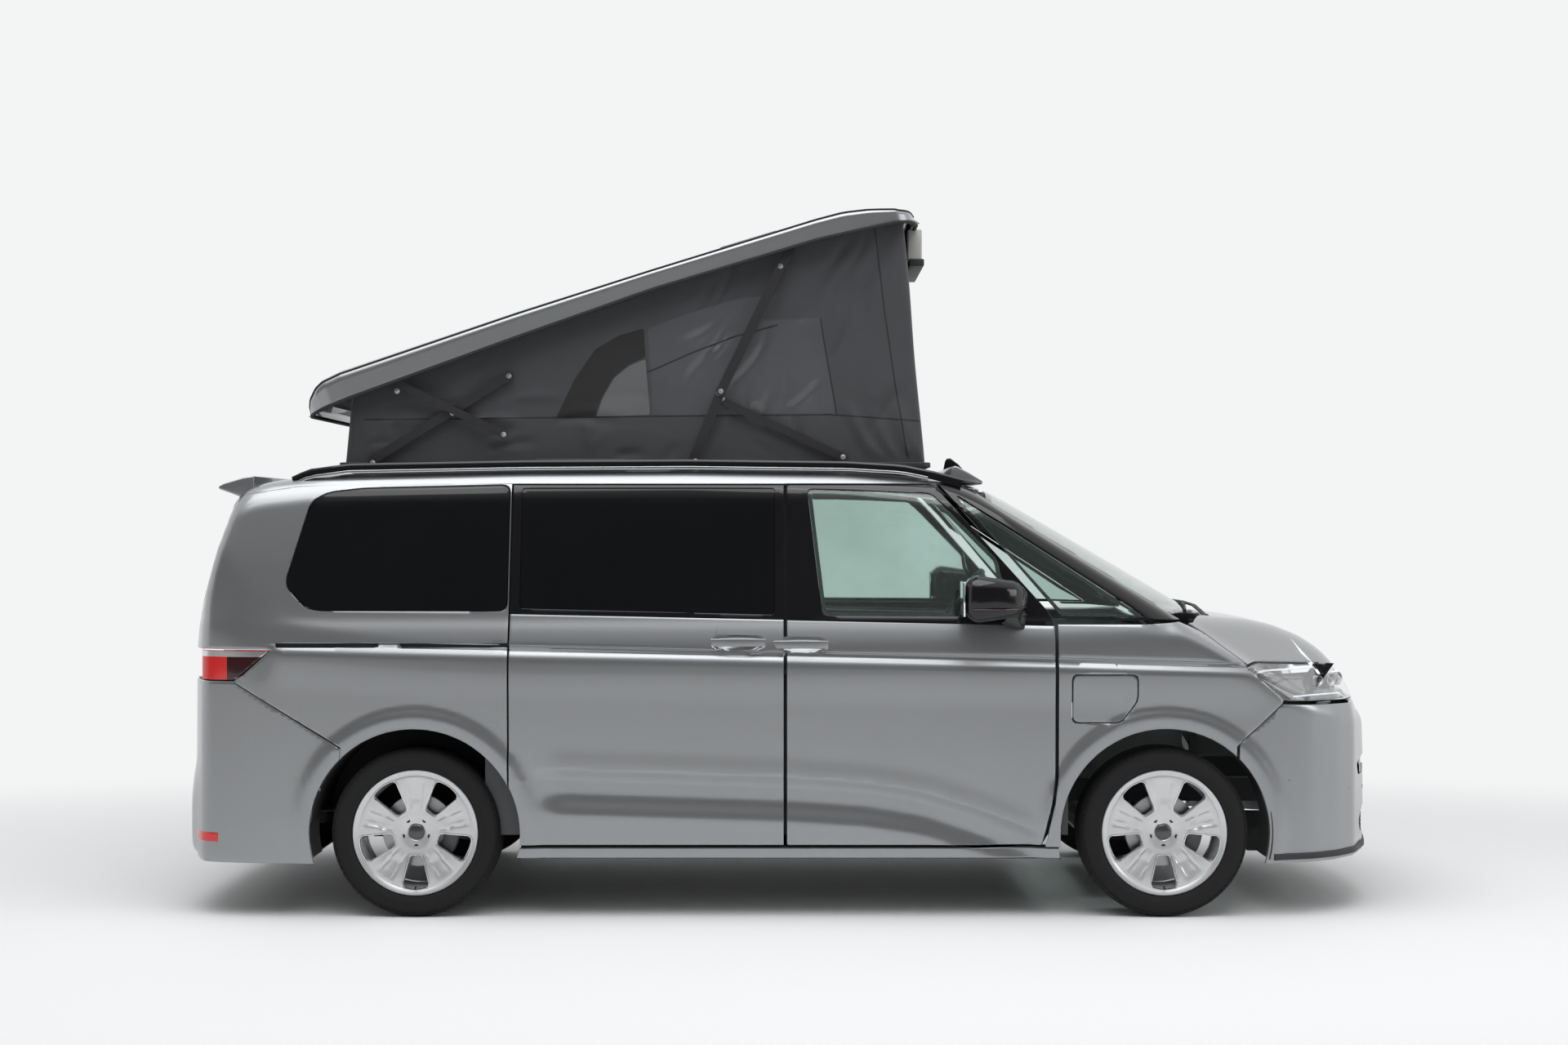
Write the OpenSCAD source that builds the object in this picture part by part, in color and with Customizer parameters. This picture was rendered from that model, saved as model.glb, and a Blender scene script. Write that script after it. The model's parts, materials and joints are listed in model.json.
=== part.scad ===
// Camper van with a pop-up roof. Millimetres, +X forward, +Y left, +Z up.
// The origin is on the ground below the middle of the body.

/* [Body] */
// Overall length of the body
body_length = 5173; // [4600:1:5800]
// Overall width of the body without its mirrors
body_width = 1941; // [1760:1:2200]
// Height of the roof skin above the ground
roof_height = 1890; // [1860:1:1980]
// Height of the lower edge of the sills
sill_bottom = 250; // [200:1:300]
// Height of the lower edge of the doors
door_bottom = 297; // [270:1:340]
// Height of the window line at the middle of the body
belt_height = 1238; // [1180:1:1290]
// Fall of the window line for each unit of length towards the nose
belt_slope = 0.0225; // [0:0.0005:0.04]
// Thickness of the lower part of a door
door_wall = 75; // [50:1:90]
// Thickness of a window frame and of the quarter panels
frame_wall = 38; // [25:1:50]
// Gap between two body panels
panel_gap = 7; // [5:0.5:10]
// Thickness of the window glass
glass = 5; // [3:0.5:8]

/* [Wheels] */
// Distance between the axles
wheelbase = 3124; // [2800:1:3300]
// Distance from the front axle to the nose
front_overhang = 1000; // [900:1:1100]
// Distance between the left and the right wheel centres
track = 1630; // [1500:1:1680]
// Radius of the tyre
tyre_radius = 352; // [320:1:370]
// Width of the tyre
tyre_width = 235; // [185:1:250]
// Radius of the rim where the tyre sits on it
rim_radius = 250; // [200:1:270]
// Gap between the tyre and the lip of the wheel arch
arch_gap = 85; // [70:1:110]
// Distance of the steering axis inboard of the wheel centre
kingpin_offset = 62; // [50:1:80]
// Radius of the stub axle in the wheel hub
stub_radius = 22; // [15:1:30]

/* [Pop-up roof] */
// Angle of the raised roof
roof_angle = 18.5; // [12:0.5:22]
// Half of the width of the roof shell
shell_half = 662; // [620:1:680]
// Thickness of the roof shell
shell_wall = 28; // [20:1:40]
// Half of the width of the tent
tent_half = 578; // [540:1:590]
// Half of the width of the opening in the roof
hatch_half = 548; // [500:1:555]
// Width of the flat bars of the roof struts
bar_width = 40; // [25:1:44]
// Thickness of the flat bars of the roof struts
bar_wall = 8; // [5:0.5:10]

/* [Cabin] */
// Radius of the rim of the steering wheel
steering_radius = 185; // [170:1:200]
// Width of a front seat
seat_width = 520; // [440:1:560]
// Height of the seat cushions above the ground
seat_height = 800; // [720:1:860]

/* [Hidden] */
$fn = 48;

nose_x = body_length / 2;
tail_x = -body_length / 2;
half = body_width / 2;
front_x = nose_x - front_overhang;
rear_x = front_x - wheelbase;
wheel_y = track / 2;
arch_radius = tyre_radius + arch_gap;
door_front_x = front_x - arch_radius - 15;
quarter_x = rear_x + arch_radius - 49;
floor_low = tyre_radius + 40;
floor_top = floor_low + 30;
pillar_x = (door_front_x + quarter_x) / 2 + 13;
window_top = roof_height - 78;
hinge_depth = 22;
door_hinge = [door_front_x - hinge_depth, half - hinge_depth];
screen_base_x = front_x + 268;
screen_top_x = front_x - 662;
screen_top = roof_height - 94;
screen_base = belt_height + 9;
screen_tilt = atan2(screen_top - screen_base, screen_base_x - screen_top_x);
screen_radius = 3400;
bonnet_hinge = [front_x + 210, belt_height - 23];
tailgate_hinge = [tail_x + 330, roof_height - 38];
flap_hinge = [front_x - 30, half - 45];
flap_arm = 105;
roof_pole = [rear_x - 1197, roof_height + 108];
silver = "silver";
dark = [0.1, 0.1, 0.11];

// Window line height at a station along the body
function belt(x) = belt_height - belt_slope * x;

// Half of the cross-section, from the sill up to the middle of the roof, set in by d
function section_half(d) = [
  [half - 42 - d, sill_bottom - 40],
  [half - 22 - d, 400],
  [half - 8 - d, 700],
  [half - d, 980],
  [half - 12 - d, 1130],
  [half - 52 - d, belt_height + 12],
  [half - 100 - d, 1500],
  [half - 168 - d, window_top - 12],
  [half - 205 - d, roof_height - 35 - d],
  [half - 280 - d, roof_height - 14 - d],
  [0, roof_height - d]
];

// The lower body from above, right half, set in by d
function plan_half(d) = [
  [tail_x + d, 0],
  [tail_x + 14 + d, 480 - d],
  [tail_x + 62 + d, 720 - d],
  [tail_x + 160 + d, half - 95 - d],
  [tail_x + 390, half - 25 - d],
  [rear_x - 360, half - 4 - d],
  [rear_x + 340, half - d],
  [front_x - 190, half - d],
  [nose_x - 836, half - 6 - d],
  [nose_x - 586, half - 30 - d],
  [nose_x - 386 - d / 2, half - 85 - d],
  [nose_x - 256 - d / 2, half - 165 - d],
  [nose_x - 156 - d / 2, half - 270 - d],
  [nose_x - 66 - d, half - 470 - d],
  [nose_x - 16 - d, half - 690 - d],
  [nose_x - d, 0]
];

// The body without its cabin, seen from the side, set in by d
function lower_outline(d) = [
  [tail_x + 224 + d, 222],
  [tail_x + 33 + d, 240],
  [tail_x + d, 300],
  [tail_x + d, 440],
  [tail_x + 15 + d, 493],
  [tail_x + 56 + d, 640],
  [tail_x + 58 + d, 1106],
  [tail_x + 78 + d, belt_height + 21],
  [screen_base_x - d, screen_base - d],
  [nose_x - 526 - d, belt_height - 16 - d],
  [nose_x - 411 - d, belt_height - 43 - d],
  [nose_x - 292 - d, belt_height - 90 - d],
  [nose_x - 201 - d, belt_height - 150 - d],
  [nose_x - 135 - d, belt_height - 229 - d],
  [nose_x - 75 - d, 880],
  [nose_x - 28 - d, 750],
  [nose_x - d, 690],
  [nose_x - d, 320],
  [nose_x - 125 - d, 235],
  [nose_x - 286 - d, 222]
];

// The cabin above the window line, seen from the side, set in by d
function cabin_outline(d) = [
  [tail_x + 78 + d, belt_height - 60 - d],
  [tail_x + 78 + d, belt_height + 21],
  [tail_x + 100 + d, belt_height + 122],
  [tail_x + 146 + d, belt_height + 291],
  [tail_x + 221 + d, belt_height + 487],
  [tail_x + 256 + d, roof_height - 90 - d],
  [tail_x + 336 + d, roof_height - 55 - d],
  [rear_x - 362, roof_height - 22 - d],
  [rear_x + 437, roof_height - 4 - d],
  [rear_x + 1138, roof_height - d],
  [screen_top_x - 654, roof_height - 10 - d],
  [screen_top_x - 304, roof_height - 40 - d],
  [screen_top_x - 120 - d, roof_height - 75 - d],
  [screen_top_x - d, screen_top - d],
  [screen_base_x - d, screen_base - d],
  [screen_base_x - d, belt_height - 60 - d]
];

// Prism of a side view outline between two widths
module side_prism(points, y0, y1) {
  translate([0, y1, 0])
    rotate([90, 0, 0])
      linear_extrude(y1 - y0) polygon(points);
}

// Prism of a front view outline between two stations
module cross_prism(points, x0, x1) {
  translate([x0, 0, 0])
    rotate([90, 0, 90])
      linear_extrude(x1 - x0) polygon(points);
}

module block(low, high) {
  translate(low) cube(high - low);
}

module both_sides() {
  children();
  mirror([0, 1, 0]) children();
}

// Everything behind the curved windscreen, set in by d
module behind_screen(d) {
  translate([screen_base_x - d, 0, screen_base - d])
    rotate([0, -90 + screen_tilt, 0])
      translate([-screen_radius, 0, -900])
        cylinder(r = screen_radius, h = 2 * body_length, $fn = 160);
}

// Everything below the two slanted faces over the front wings, set in by d
module wing_slant(d) {
  both_sides()
    translate([front_x - 87, -half + 52, belt_height + 12 - 1.2 * d])
      rotate(a = 39.1, v = [0.481, 0.408, 0])
        translate([-2000, -2000, 0]) cube([4000, 4000, 1500]);
}

// The closed volume of the body, set in by d
module body_form(d) {
  section = section_half(d);
  count = len(section);
  plan = plan_half(d);
  difference() {
    intersection() {
      cross_prism(concat(section, [for (i = [count - 2:-1:0]) [-section[i][0], section[i][1]]]),
        tail_x - 20, nose_x + 20);
      linear_extrude(2100)
        polygon(concat(plan, [for (i = [len(plan) - 2:-1:1]) [plan[i][0], -plan[i][1]]]));
      union() {
        side_prism(lower_outline(d), -half - 20, half + 20);
        intersection() {
          side_prism(cabin_outline(d), -half - 20, half + 20);
          behind_screen(d);
        }
      }
    }
    wing_slant(d);
  }
}

// The wall of the body between two depths
module body_wall(outer, inner) {
  difference() {
    body_form(outer);
    body_form(inner);
  }
}

// Outline of the front door, set in by g
function front_door_outline(g) = [
  [pillar_x + g, door_bottom + g],
  [pillar_x + g, window_top - g],
  [door_front_x - 494 - g, window_top - g],
  [door_front_x - 16 - g, belt_height + 28],
  [door_front_x - g, belt_height - 25],
  [door_front_x - g, 600],
  [door_front_x - 14 - g, 480],
  [door_front_x - 56 - g, door_bottom + g]
];

// Outline of the sliding door, set in by g
function sliding_door_outline(g) = [
  [quarter_x + g, door_bottom + g],
  [quarter_x + g, window_top - g],
  [pillar_x - g, window_top - g],
  [pillar_x - g, door_bottom + g]
];

function front_window() = [
  [pillar_x + 155, belt(pillar_x) + 20],
  [pillar_x + 92, window_top - 22],
  [door_front_x - 512, window_top - 40],
  [door_front_x - 237, belt_height + 254],
  [door_front_x - 229, belt_height + 192],
  [door_front_x - 110, belt(door_front_x) + 40]
];

function sliding_window() = [
  [quarter_x + 45, belt(quarter_x) + 24],
  [quarter_x + 45, window_top - 20],
  [pillar_x - 45, window_top - 20],
  [pillar_x - 45, belt(pillar_x) + 24]
];

function quarter_window() = [
  [quarter_x - 20, belt(quarter_x) + 14],
  [quarter_x - 20, window_top - 8],
  [rear_x - 250, window_top - 30],
  [rear_x - 390, window_top - 48],
  [rear_x - 445, window_top - 80],
  [rear_x - 540, belt_height + 172],
  [rear_x - 535, belt_height + 137],
  [rear_x - 450, belt(rear_x) + 16],
  [rear_x - 400, belt(rear_x) + 4]
];

function triangle_window() = [
  [door_front_x - 405, window_top - 50],
  [door_front_x + 24, belt(door_front_x) + 42],
  [door_front_x + 370, belt(door_front_x) + 42],
  [door_front_x + 250, belt_height + 95],
  [door_front_x - 372, window_top - 72]
];

function charge_outline(g) = [
  [front_x - 388 + g, 1013 - g],
  [front_x - 117 - g, 1013 - g],
  [front_x - 117 - g, 905],
  [front_x - 210, 815 + g],
  [front_x - 388 + g, 815 + g]
];

function flap_arm_point(r, a) = [r * cos(a), r * sin(a)];

function headlamp_outline(g) = [
  [front_x + 332 + g, 1048],
  [front_x + 400, 1056 - g],
  [nose_x - 160, 1030 - g],
  [nose_x - 60, 950],
  [nose_x - 110, 888 + g],
  [front_x + 505 + g, 900 + g]
];

function tail_lamp_outline(g) = [
  [tail_x - 20, 1118 - g],
  [tail_x + 452 - 2 * g, 1118 - g],
  [tail_x + 330 - g, 1010 + g],
  [tail_x + 290 - g, 985 + g],
  [tail_x - 20, 985 + g]
];

// Side view of the front bumper, without its lamps
function front_bumper_outline(g) = [
  [front_x + 300 + g, 200],
  [front_x + 300 + g, 716],
  [front_x + 495 + g, 890 - g],
  [nose_x + 20, 876 - g],
  [nose_x + 20, 200]
];

function rear_bumper_outline(g) = [
  [tail_x - 20, 200],
  [tail_x - 20, 985 - g],
  [tail_x + 280, 985 - g],
  [tail_x + 745 - g, 708 - g],
  [tail_x + 700 - g, 200]
];

module wheel_bore(x, radius) {
  translate([x, -half - 60, tyre_radius])
    rotate([-90, 0, 0])
      cylinder(r = radius, h = half + 60 - 520);
}

// Side panel with its pillars, roof rail and sill
module side_frame() {
  inner = door_wall + 63;
  difference() {
    intersection() {
      body_wall(0, frame_wall);
      block([tail_x - 10, -half - 10, sill_bottom], [front_x + 330, -690, roof_height + 10]);
    }
    side_prism(front_door_outline(0), -half - 10, -560);
    side_prism(sliding_door_outline(0), -half - 10, -560);
    side_prism(quarter_window(), -half - 10, -560);
    side_prism(triangle_window(), -half - 10, -560);
    side_prism(tail_lamp_outline(0), -half - 10, -560);
    side_prism(rear_bumper_outline(0), -half - 10, -560);
    side_prism(wing_side_outline(), -half - 10, -560);
    tailgate_space(0);
    windscreen_space();
    wheel_bore(rear_x, arch_radius);
  }
  intersection() {
    body_wall(door_wall + 13, inner);
    union() {
      block([pillar_x - 70, -half, floor_low], [pillar_x + 60, -690, window_top + 20]);
      block([door_front_x - 20, -half, floor_low], [door_front_x + 60, -690, belt_height - 20]);
      block([door_front_x + 59, -half, 880], [front_x + 420, -690, 930]);
      block([rear_x + 470, -half, sill_bottom], [door_front_x + 60, -690, floor_top]);
    }
  }
  intersection() {
    body_wall(frame_wall, inner);
    union() {
      block([tail_x + 400, -half, window_top + 12], [screen_top_x - 60, -690, roof_height]);
      block([rear_x + 470, -half, sill_bottom], [door_front_x - 62, -690, door_bottom - 5]);
    }
  }
  door_hinge_arms();
}

// Side view of all that lies ahead of the front door, below the window line
function wing_side_outline() = [
  [door_front_x - 62, 100],
  [door_front_x - 62, door_bottom],
  [door_front_x - 20, 480],
  [door_front_x - 6, 600],
  [door_front_x - 6, belt_height + 5],
  [nose_x, belt_height + 5],
  [nose_x, 100]
];

// The eyes of the two door hinges with their arms to the hinge pillar
module door_hinge_arms() {
  for (z = [480, 1000])
    difference() {
      union() {
        translate([door_hinge.x, -door_hinge.y, z]) cylinder(r = 13, h = 50);
        intersection() {
          block([door_hinge.x - 7, -door_hinge.y, z], [door_hinge.x + 7, -690, z + 50]);
          body_form(5);
        }
        intersection() {
          block([door_hinge.x - 7, -half, z], [door_front_x + 30, -690, z + 50]);
          body_wall(door_wall + 13, door_wall + 63);
        }
      }
      translate([door_hinge.x, -door_hinge.y, z - 1]) cylinder(r = 7.5, h = 52);
      body_form(door_wall + 63);
    }
}

// The space that the tailgate takes in the rear of the body, wider by g
module tailgate_space(g) {
  cross_prism([
    [-720 - g, roof_height + 40],
    [-720 - g, roof_height - 80],
    [-845 - g, belt_height],
    [-845 - g, 985 - g],
    [-660 - g, 985 - g],
    [-640 - g, 640 - g],
    [640 + g, 640 - g],
    [660 + g, 985 - g],
    [845 + g, 985 - g],
    [845 + g, belt_height],
    [720 + g, roof_height - 80],
    [720 + g, roof_height + 40]
  ], tail_x - 20, tailgate_hinge.x + g);
}

// The space of the windscreen between its pillars
module windscreen_space() {
  cross_prism([
    [-815, belt_height - 20],
    [-830, belt_height + 40],
    [-690, window_top - 20],
    [690, window_top - 20],
    [830, belt_height + 40],
    [815, belt_height - 20]
  ], screen_top_x - 200, screen_base_x + 60);
}

module side_frame_right() {
  color(silver) side_frame();
}

module side_frame_left() {
  color(silver) mirror([0, 1, 0]) side_frame();
}

module roof_panel() {
  color(silver)
    difference() {
      intersection() {
        body_wall(0, frame_wall);
        block([tailgate_hinge.x, -690, roof_height - 140], [screen_top_x + 60, 690, roof_height + 10]);
      }
      block([rear_x - 345, -hatch_half, 1500], [front_x - 985, hatch_half, 2100]);
      windscreen_space();
      tailgate_space(0);
    }
  color(silver) {
    both_sides() tailgate_hinge_half(0, -1);
    strut_brackets();
  }
}

// One half of a tailgate hinge: an eye above the shut line and a foot on its panel
module tailgate_hinge_half(shift, way) {
  translate([tailgate_hinge.x, -480 - shift, tailgate_hinge.y])
    rotate([90, 0, 0])
      difference() {
        union() {
          cylinder(r = 9, h = 19);
          if (way > 0) translate([-40, -10, 0]) cube([38, 13, 19]);
          if (way > 0) translate([-36, -33, 1]) cube([26, 30, 17]);
          if (way < 0) translate([0, -20, 0]) cube([40, 26, 19]);
        }
        if (way > 0) translate([0, 0, -1]) cylinder(r = 5.1, h = 21);
      }
  if (way < 0)
    translate([tailgate_hinge.x, -480, tailgate_hinge.y])
      rotate([90, 0, 0])
        cylinder(r = 5, h = 38);
}

// Posts on the roof with the pins of the struts
module strut_brackets() {
  both_sides() {
    strut_bracket(lower_arm_base, tent_half + 35);
    strut_bracket(long_arm_base, tent_half + 27);
  }
}

module strut_bracket(at, y) {
  difference() {
    block([at.x - 18, -tent_half - 20, at.y - 60], [at.x + 18, -tent_half - 12, at.y + 12]);
    body_form(12);
  }
  translate([at.x, -tent_half - 16, at.y])
    rotate([90, 0, 0])
      cylinder(r = 6, h = y - tent_half - 16 + bar_wall / 2);
}

module roof_rails() {
  color(dark)
    both_sides()
      difference() {
        side_prism([
          [tail_x + 468, roof_height - 60],
          [tail_x + 520, roof_height - 14],
          [tail_x + 740, roof_height + 2],
          [rear_x + 1138, roof_height + 14],
          [screen_top_x - 440, roof_height + 2],
          [screen_top_x - 200, roof_height - 40],
          [screen_top_x - 160, roof_height - 72]
        ], -748, -706);
        body_form(0);
      }
}

// Floor with its wheel houses, bulkhead, rails and bonnet hinge towers
module floor_pan() {
  inner = door_wall + 63;
  color([0.25, 0.25, 0.27])
    difference() {
      union() {
        intersection() {
          body_form(inner);
          union() {
            block([tail_x + 180, -half, floor_low], [door_front_x + 30, half, floor_top]);
            block([door_front_x - 10, -half, floor_low], [door_front_x + 30, half, belt_height - 60]);
          }
        }
        both_sides() {
          block([door_front_x + 20, -480, 430], [nose_x - 200, -410, 530]);
          block([tail_x + 180, -480, floor_low - 60], [rear_x - 470, -410, floor_low + 10]);
          wheel_house();
          block([bonnet_hinge.x - 20, -464, 520], [bonnet_hinge.x + 8, -430, bonnet_hinge.y + 8]);
          translate([bonnet_hinge.x, -460, bonnet_hinge.y])
            rotate([90, 0, 0])
              cylinder(r = 6, h = 20);
        }
      }
      both_sides() wheel_bore(rear_x, arch_radius);
    }
}

// Outer form of the house over one rear wheel, clear of the sliding door
module wheel_house() {
  difference() {
    intersection() {
      translate([rear_x, -half, tyre_radius])
        rotate([-90, 0, 0])
          cylinder(r = arch_radius + 14, h = half - 507);
      body_form(frame_wall);
      block([rear_x - 600, -half, floor_low], [rear_x + 600, 0, 1000]);
    }
    difference() {
      block([quarter_x - 12, -half, 0], [quarter_x + 200, 0, 1000]);
      body_form(door_wall + 13);
    }
  }
}

module front_wings() {
  color(silver)
    both_sides()
      difference() {
        intersection() {
          body_wall(0, frame_wall - 8);
          side_prism([
            [door_front_x + panel_gap - 60, 230],
            [door_front_x + panel_gap - 56, door_bottom],
            [door_front_x + panel_gap - 14, 480],
            [door_front_x + panel_gap, 600],
            [door_front_x + panel_gap, belt_height + 5],
            [front_x + 110, belt_height + 5],
            [front_x + 340, 1056],
            [front_x + 505, 900],
            [front_x + 296, 716],
            [front_x + 296, 230]
          ], -half - 10, -706);
        }
        wheel_bore(front_x, arch_radius);
        side_prism(headlamp_outline(-3), -half - 10, -300);
        side_prism(front_bumper_outline(-4), -half - 10, -300);
        side_prism(charge_outline(0), -half - 10, -700);
        bonnet_space(panel_gap);
        windscreen_space();
      }
  color(silver) flap_pin();
}

// The charge flap swings forward on a curved arm that passes behind the edge of the wing
module charge_flap() {
  color(silver)
    difference() {
      union() {
        intersection() {
          body_wall(0, 7);
          side_prism(charge_outline(5), -half - 10, -800);
        }
        translate([flap_hinge.x, -flap_hinge.y, 942])
          linear_extrude(30)
            polygon(concat(
              [[-118, -40.5]],
              [for (a = [196:-13:66]) flap_arm_point(flap_arm + 4, a)],
              [[5, 8], [9, 2], [8, -5], [3, -9], [-4, -8], [-8, -4], [-8, 4]],
              [for (a = [70:13:187]) flap_arm_point(flap_arm - 4, a)],
              [[-95, -40.5]]
            ));
      }
      translate([flap_hinge.x, -flap_hinge.y, 941]) cylinder(r = 4.1, h = 32);
    }
}

// The pin of the charge flap and the two blocks on the wing that hold it
module flap_pin() {
  for (z = [927, 977])
    block([flap_hinge.x - 9, -half + 20, z], [flap_hinge.x + 9, -flap_hinge.y + 9, z + 10]);
  translate([flap_hinge.x, -flap_hinge.y, 930]) cylinder(r = 4, h = 54);
}

// The space of the bonnet, wider by g
module bonnet_space(g) {
  difference() {
    linear_extrude(2000)
      polygon([
        [front_x + 294 - g, 0],
        [front_x + 278 - g, -250],
        [front_x + 240 - g, -500],
        [front_x + 150 - g, -760 - g],
        [front_x + 350, -742 - g],
        [front_x + 480, -735 - g],
        [nose_x - 150, -600 - g],
        [nose_x + 40, -300],
        [nose_x + 40, 300],
        [nose_x - 150, 600 + g],
        [front_x + 480, 735 + g],
        [front_x + 350, 742 + g],
        [front_x + 150 - g, 760 + g],
        [front_x + 240 - g, 500],
        [front_x + 278 - g, 250]
      ]);
    translate([0, 0, -1]) linear_extrude(901 - g)
      square([7000, 3000], center = true);
  }
}

module bonnet() {
  color(silver) {
    difference() {
      intersection() {
        body_wall(0, 30);
        bonnet_space(0);
      }
      both_sides() side_prism(headlamp_outline(-5), -half - 10, -495);
      windscreen_space();
    }
    both_sides()
      difference() {
        union() {
          intersection() {
            block([bonnet_hinge.x, -478, bonnet_hinge.y - 12], [bonnet_hinge.x + 200, -466, belt_height]);
            body_form(30);
          }
          translate([bonnet_hinge.x, -466, bonnet_hinge.y])
            rotate([90, 0, 0])
              cylinder(r = 12, h = 12);
        }
        translate([bonnet_hinge.x, -465, bonnet_hinge.y])
          rotate([90, 0, 0])
            cylinder(r = 6.1, h = 14);
      }
  }
}

module headlamps() {
  color([0.75, 0.77, 0.8])
    both_sides()
      intersection() {
        body_wall(1, 110);
        side_prism(headlamp_outline(0), -half - 10, -500);
      }
}

module tail_lamps() {
  color([0.5, 0.05, 0.05])
    both_sides()
      difference() {
        intersection() {
          body_wall(1, 60);
          side_prism(tail_lamp_outline(0.8), -half - 10, -560);
        }
        tailgate_space(panel_gap);
      }
}

module front_bumper() {
  color(silver) {
    difference() {
      intersection() {
        body_wall(0, 30);
        side_prism(front_bumper_outline(0), -half - 10, half + 10);
      }
      both_sides() wheel_bore(front_x, arch_radius);
      block([nose_x - 120, -520, 470], [nose_x + 20, 520, 600]);
      side_prism(headlamp_outline(-4), -half - 10, half + 10);
    }
    intersection() {
      body_form(30);
      block([nose_x - 200, -620, 430], [nose_x - 130, 620, 530]);
    }
    tow_eye(nose_x - 130, 40);
  }
}

// Threaded sleeve for the towing eye, from a beam's face out to the skin
module tow_eye(x, length) {
  translate([x, -430, 500])
    rotate([0, 90, 0])
      difference() {
        cylinder(r = 19, h = length);
        translate([0, 0, -1]) cylinder(r = 10, h = length + 2);
      }
}

module rear_bumper() {
  color(silver) {
    difference() {
      intersection() {
        body_wall(0, 30);
        side_prism(rear_bumper_outline(4), -half - 10, half + 10);
      }
      both_sides() wheel_bore(rear_x, arch_radius);
      tailgate_space(panel_gap);
    }
    intersection() {
      body_form(25);
      union() {
        block([tail_x + 110, -700, floor_low - 60], [tail_x + 180, 700, floor_low + 10]);
        both_sides() block([tail_x, -480, floor_low - 60], [tail_x + 120, -410, floor_low + 10]);
      }
    }
  }
}

module windscreen() {
  color([0.3, 0.36, 0.36, 0.6])
    difference() {
      intersection() {
        body_wall(2, 2 + glass + 3);
        windscreen_space();
      }
      block([0, -2000, 0], [3000, 2000, belt_height + 12]);
    }
}

// Glass that stays with the body: sliding doors, rear quarters and front triangles
module side_glass() {
  color([0.08, 0.09, 0.1])
    both_sides()
      intersection() {
        body_wall(3, 3 + glass);
        union() {
          side_prism(quarter_window(), -half, -560);
          side_prism(sliding_window(), -half, -560);
          side_prism(triangle_window(), -half, -560);
        }
      }
}

// A door with a thick lower part and a thin window frame
module door_panel(points) {
  intersection() {
    union() {
      body_wall(0, frame_wall);
      intersection() {
        body_wall(0, door_wall);
        block([tail_x, -half - 10, 0], [nose_x, 0, belt_height - 35]);
      }
    }
    side_prism(points, -half - 10, -700);
  }
}

module sliding_door() {
  difference() {
    door_panel(sliding_door_outline(panel_gap));
    side_prism(sliding_window(), -half - 10, -560);
    wheel_bore(rear_x, arch_radius + 3);
  }
  // Runner that carries the door in the side panel
  intersection() {
    block([quarter_x - 60, -half, 1060], [quarter_x + 40, -690, 1090]);
    body_wall(frame_wall, frame_wall + 30);
  }
}

module sliding_door_right() {
  color(silver) sliding_door();
}

module sliding_door_left() {
  color(silver) mirror([0, 1, 0]) sliding_door();
}

module door_front() {
  difference() {
    door_panel(front_door_outline(panel_gap));
    block([pillar_x, -half - 10, belt_height - 35], [pillar_x + 12, 0, roof_height]);
    side_prism(front_window(), -half - 10, -560);
    for (z = [480, 1000])
      block([door_hinge.x - 22, -door_hinge.y - 15, z - 8], [door_front_x + 5, -500, z + 58]);
  }
  for (z = [480, 1000])
    translate([door_hinge.x, -door_hinge.y, z - 14])
      cylinder(r = 7, h = 78);
}

module door_front_right() {
  color(silver) door_front();
}

module door_front_left() {
  color(silver) mirror([0, 1, 0]) door_front();
}

module door_glass() {
  color([0.35, 0.42, 0.4, 0.5])
    intersection() {
      body_wall(3, 3 + glass);
      side_prism(front_window(), -half, -560);
    }
}

module door_glass_right() {
  door_glass();
}

module door_glass_left() {
  mirror([0, 1, 0]) door_glass();
}

// Outside mirror: a rounded housing on a foot that stands on the door
module mirror_housing() {
  base_z = belt(door_front_x) + 4;
  color(dark) {
    translate([door_front_x - 278, -half - 95, base_z + 106])
      rotate([0, 90, 0])
        linear_extrude(150)
          polygon([[-104, -80], [-104, 70], [-60, 98], [60, 98], [92, 60], [92, -60], [60, -98]]);
    difference() {
      block([door_front_x - 190, -half - 90, base_z - 10], [door_front_x - 130, -half + 62, base_z + 26]);
      body_form(0);
    }
  }
}

module mirror_right() {
  mirror_housing();
}

module mirror_left() {
  mirror([0, 1, 0]) mirror_housing();
}

// The tailgate without its window
module tailgate() {
  color(silver) {
    difference() {
      intersection() {
        union() {
          body_wall(0, frame_wall);
          intersection() {
            body_wall(0, door_wall);
            block([tail_x - 20, -half, 0], [0, half, belt_height - 10]);
          }
        }
        tailgate_space(-panel_gap);
        block([tail_x - 30, -half, 650], [tailgate_hinge.x - 6, half, 2100]);
      }
      tailgate_window();
    }
    side_prism([
      [tail_x + 290, roof_height - 70],
      [tail_x + 168, roof_height - 88],
      [tail_x + 172, roof_height - 104],
      [tail_x + 222, roof_height - 110]
    ], -690, 690);
    both_sides() tailgate_hinge_half(19.5, 1);
  }
}

module tailgate_window() {
  cross_prism([
    [-640, roof_height - 170],
    [-770, belt_height + 30],
    [770, belt_height + 30],
    [640, roof_height - 170]
  ], tail_x - 20, tail_x + 500);
}

module tailgate_glass() {
  color([0.08, 0.09, 0.1])
    intersection() {
      body_wall(3, 3 + glass);
      tailgate_window();
    }
}

// Front axle carrier with the lower arms that hold the knuckles
module front_subframe() {
  color([0.2, 0.2, 0.22]) {
    block([front_x - 260, -480, 260], [front_x + 200, 480, 310]);
    both_sides() {
      block([front_x - 60, -480, 310], [front_x + 60, -410, 430]);
      difference() {
        union() {
          block([front_x - 25, -wheel_y + kingpin_offset, 262], [front_x + 25, -480, 290]);
          translate([front_x, -wheel_y + kingpin_offset, 262]) cylinder(r = 30, h = 28);
        }
        translate([front_x, -wheel_y + kingpin_offset, 250]) cylinder(r = 10.5, h = 60);
      }
    }
  }
}

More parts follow.
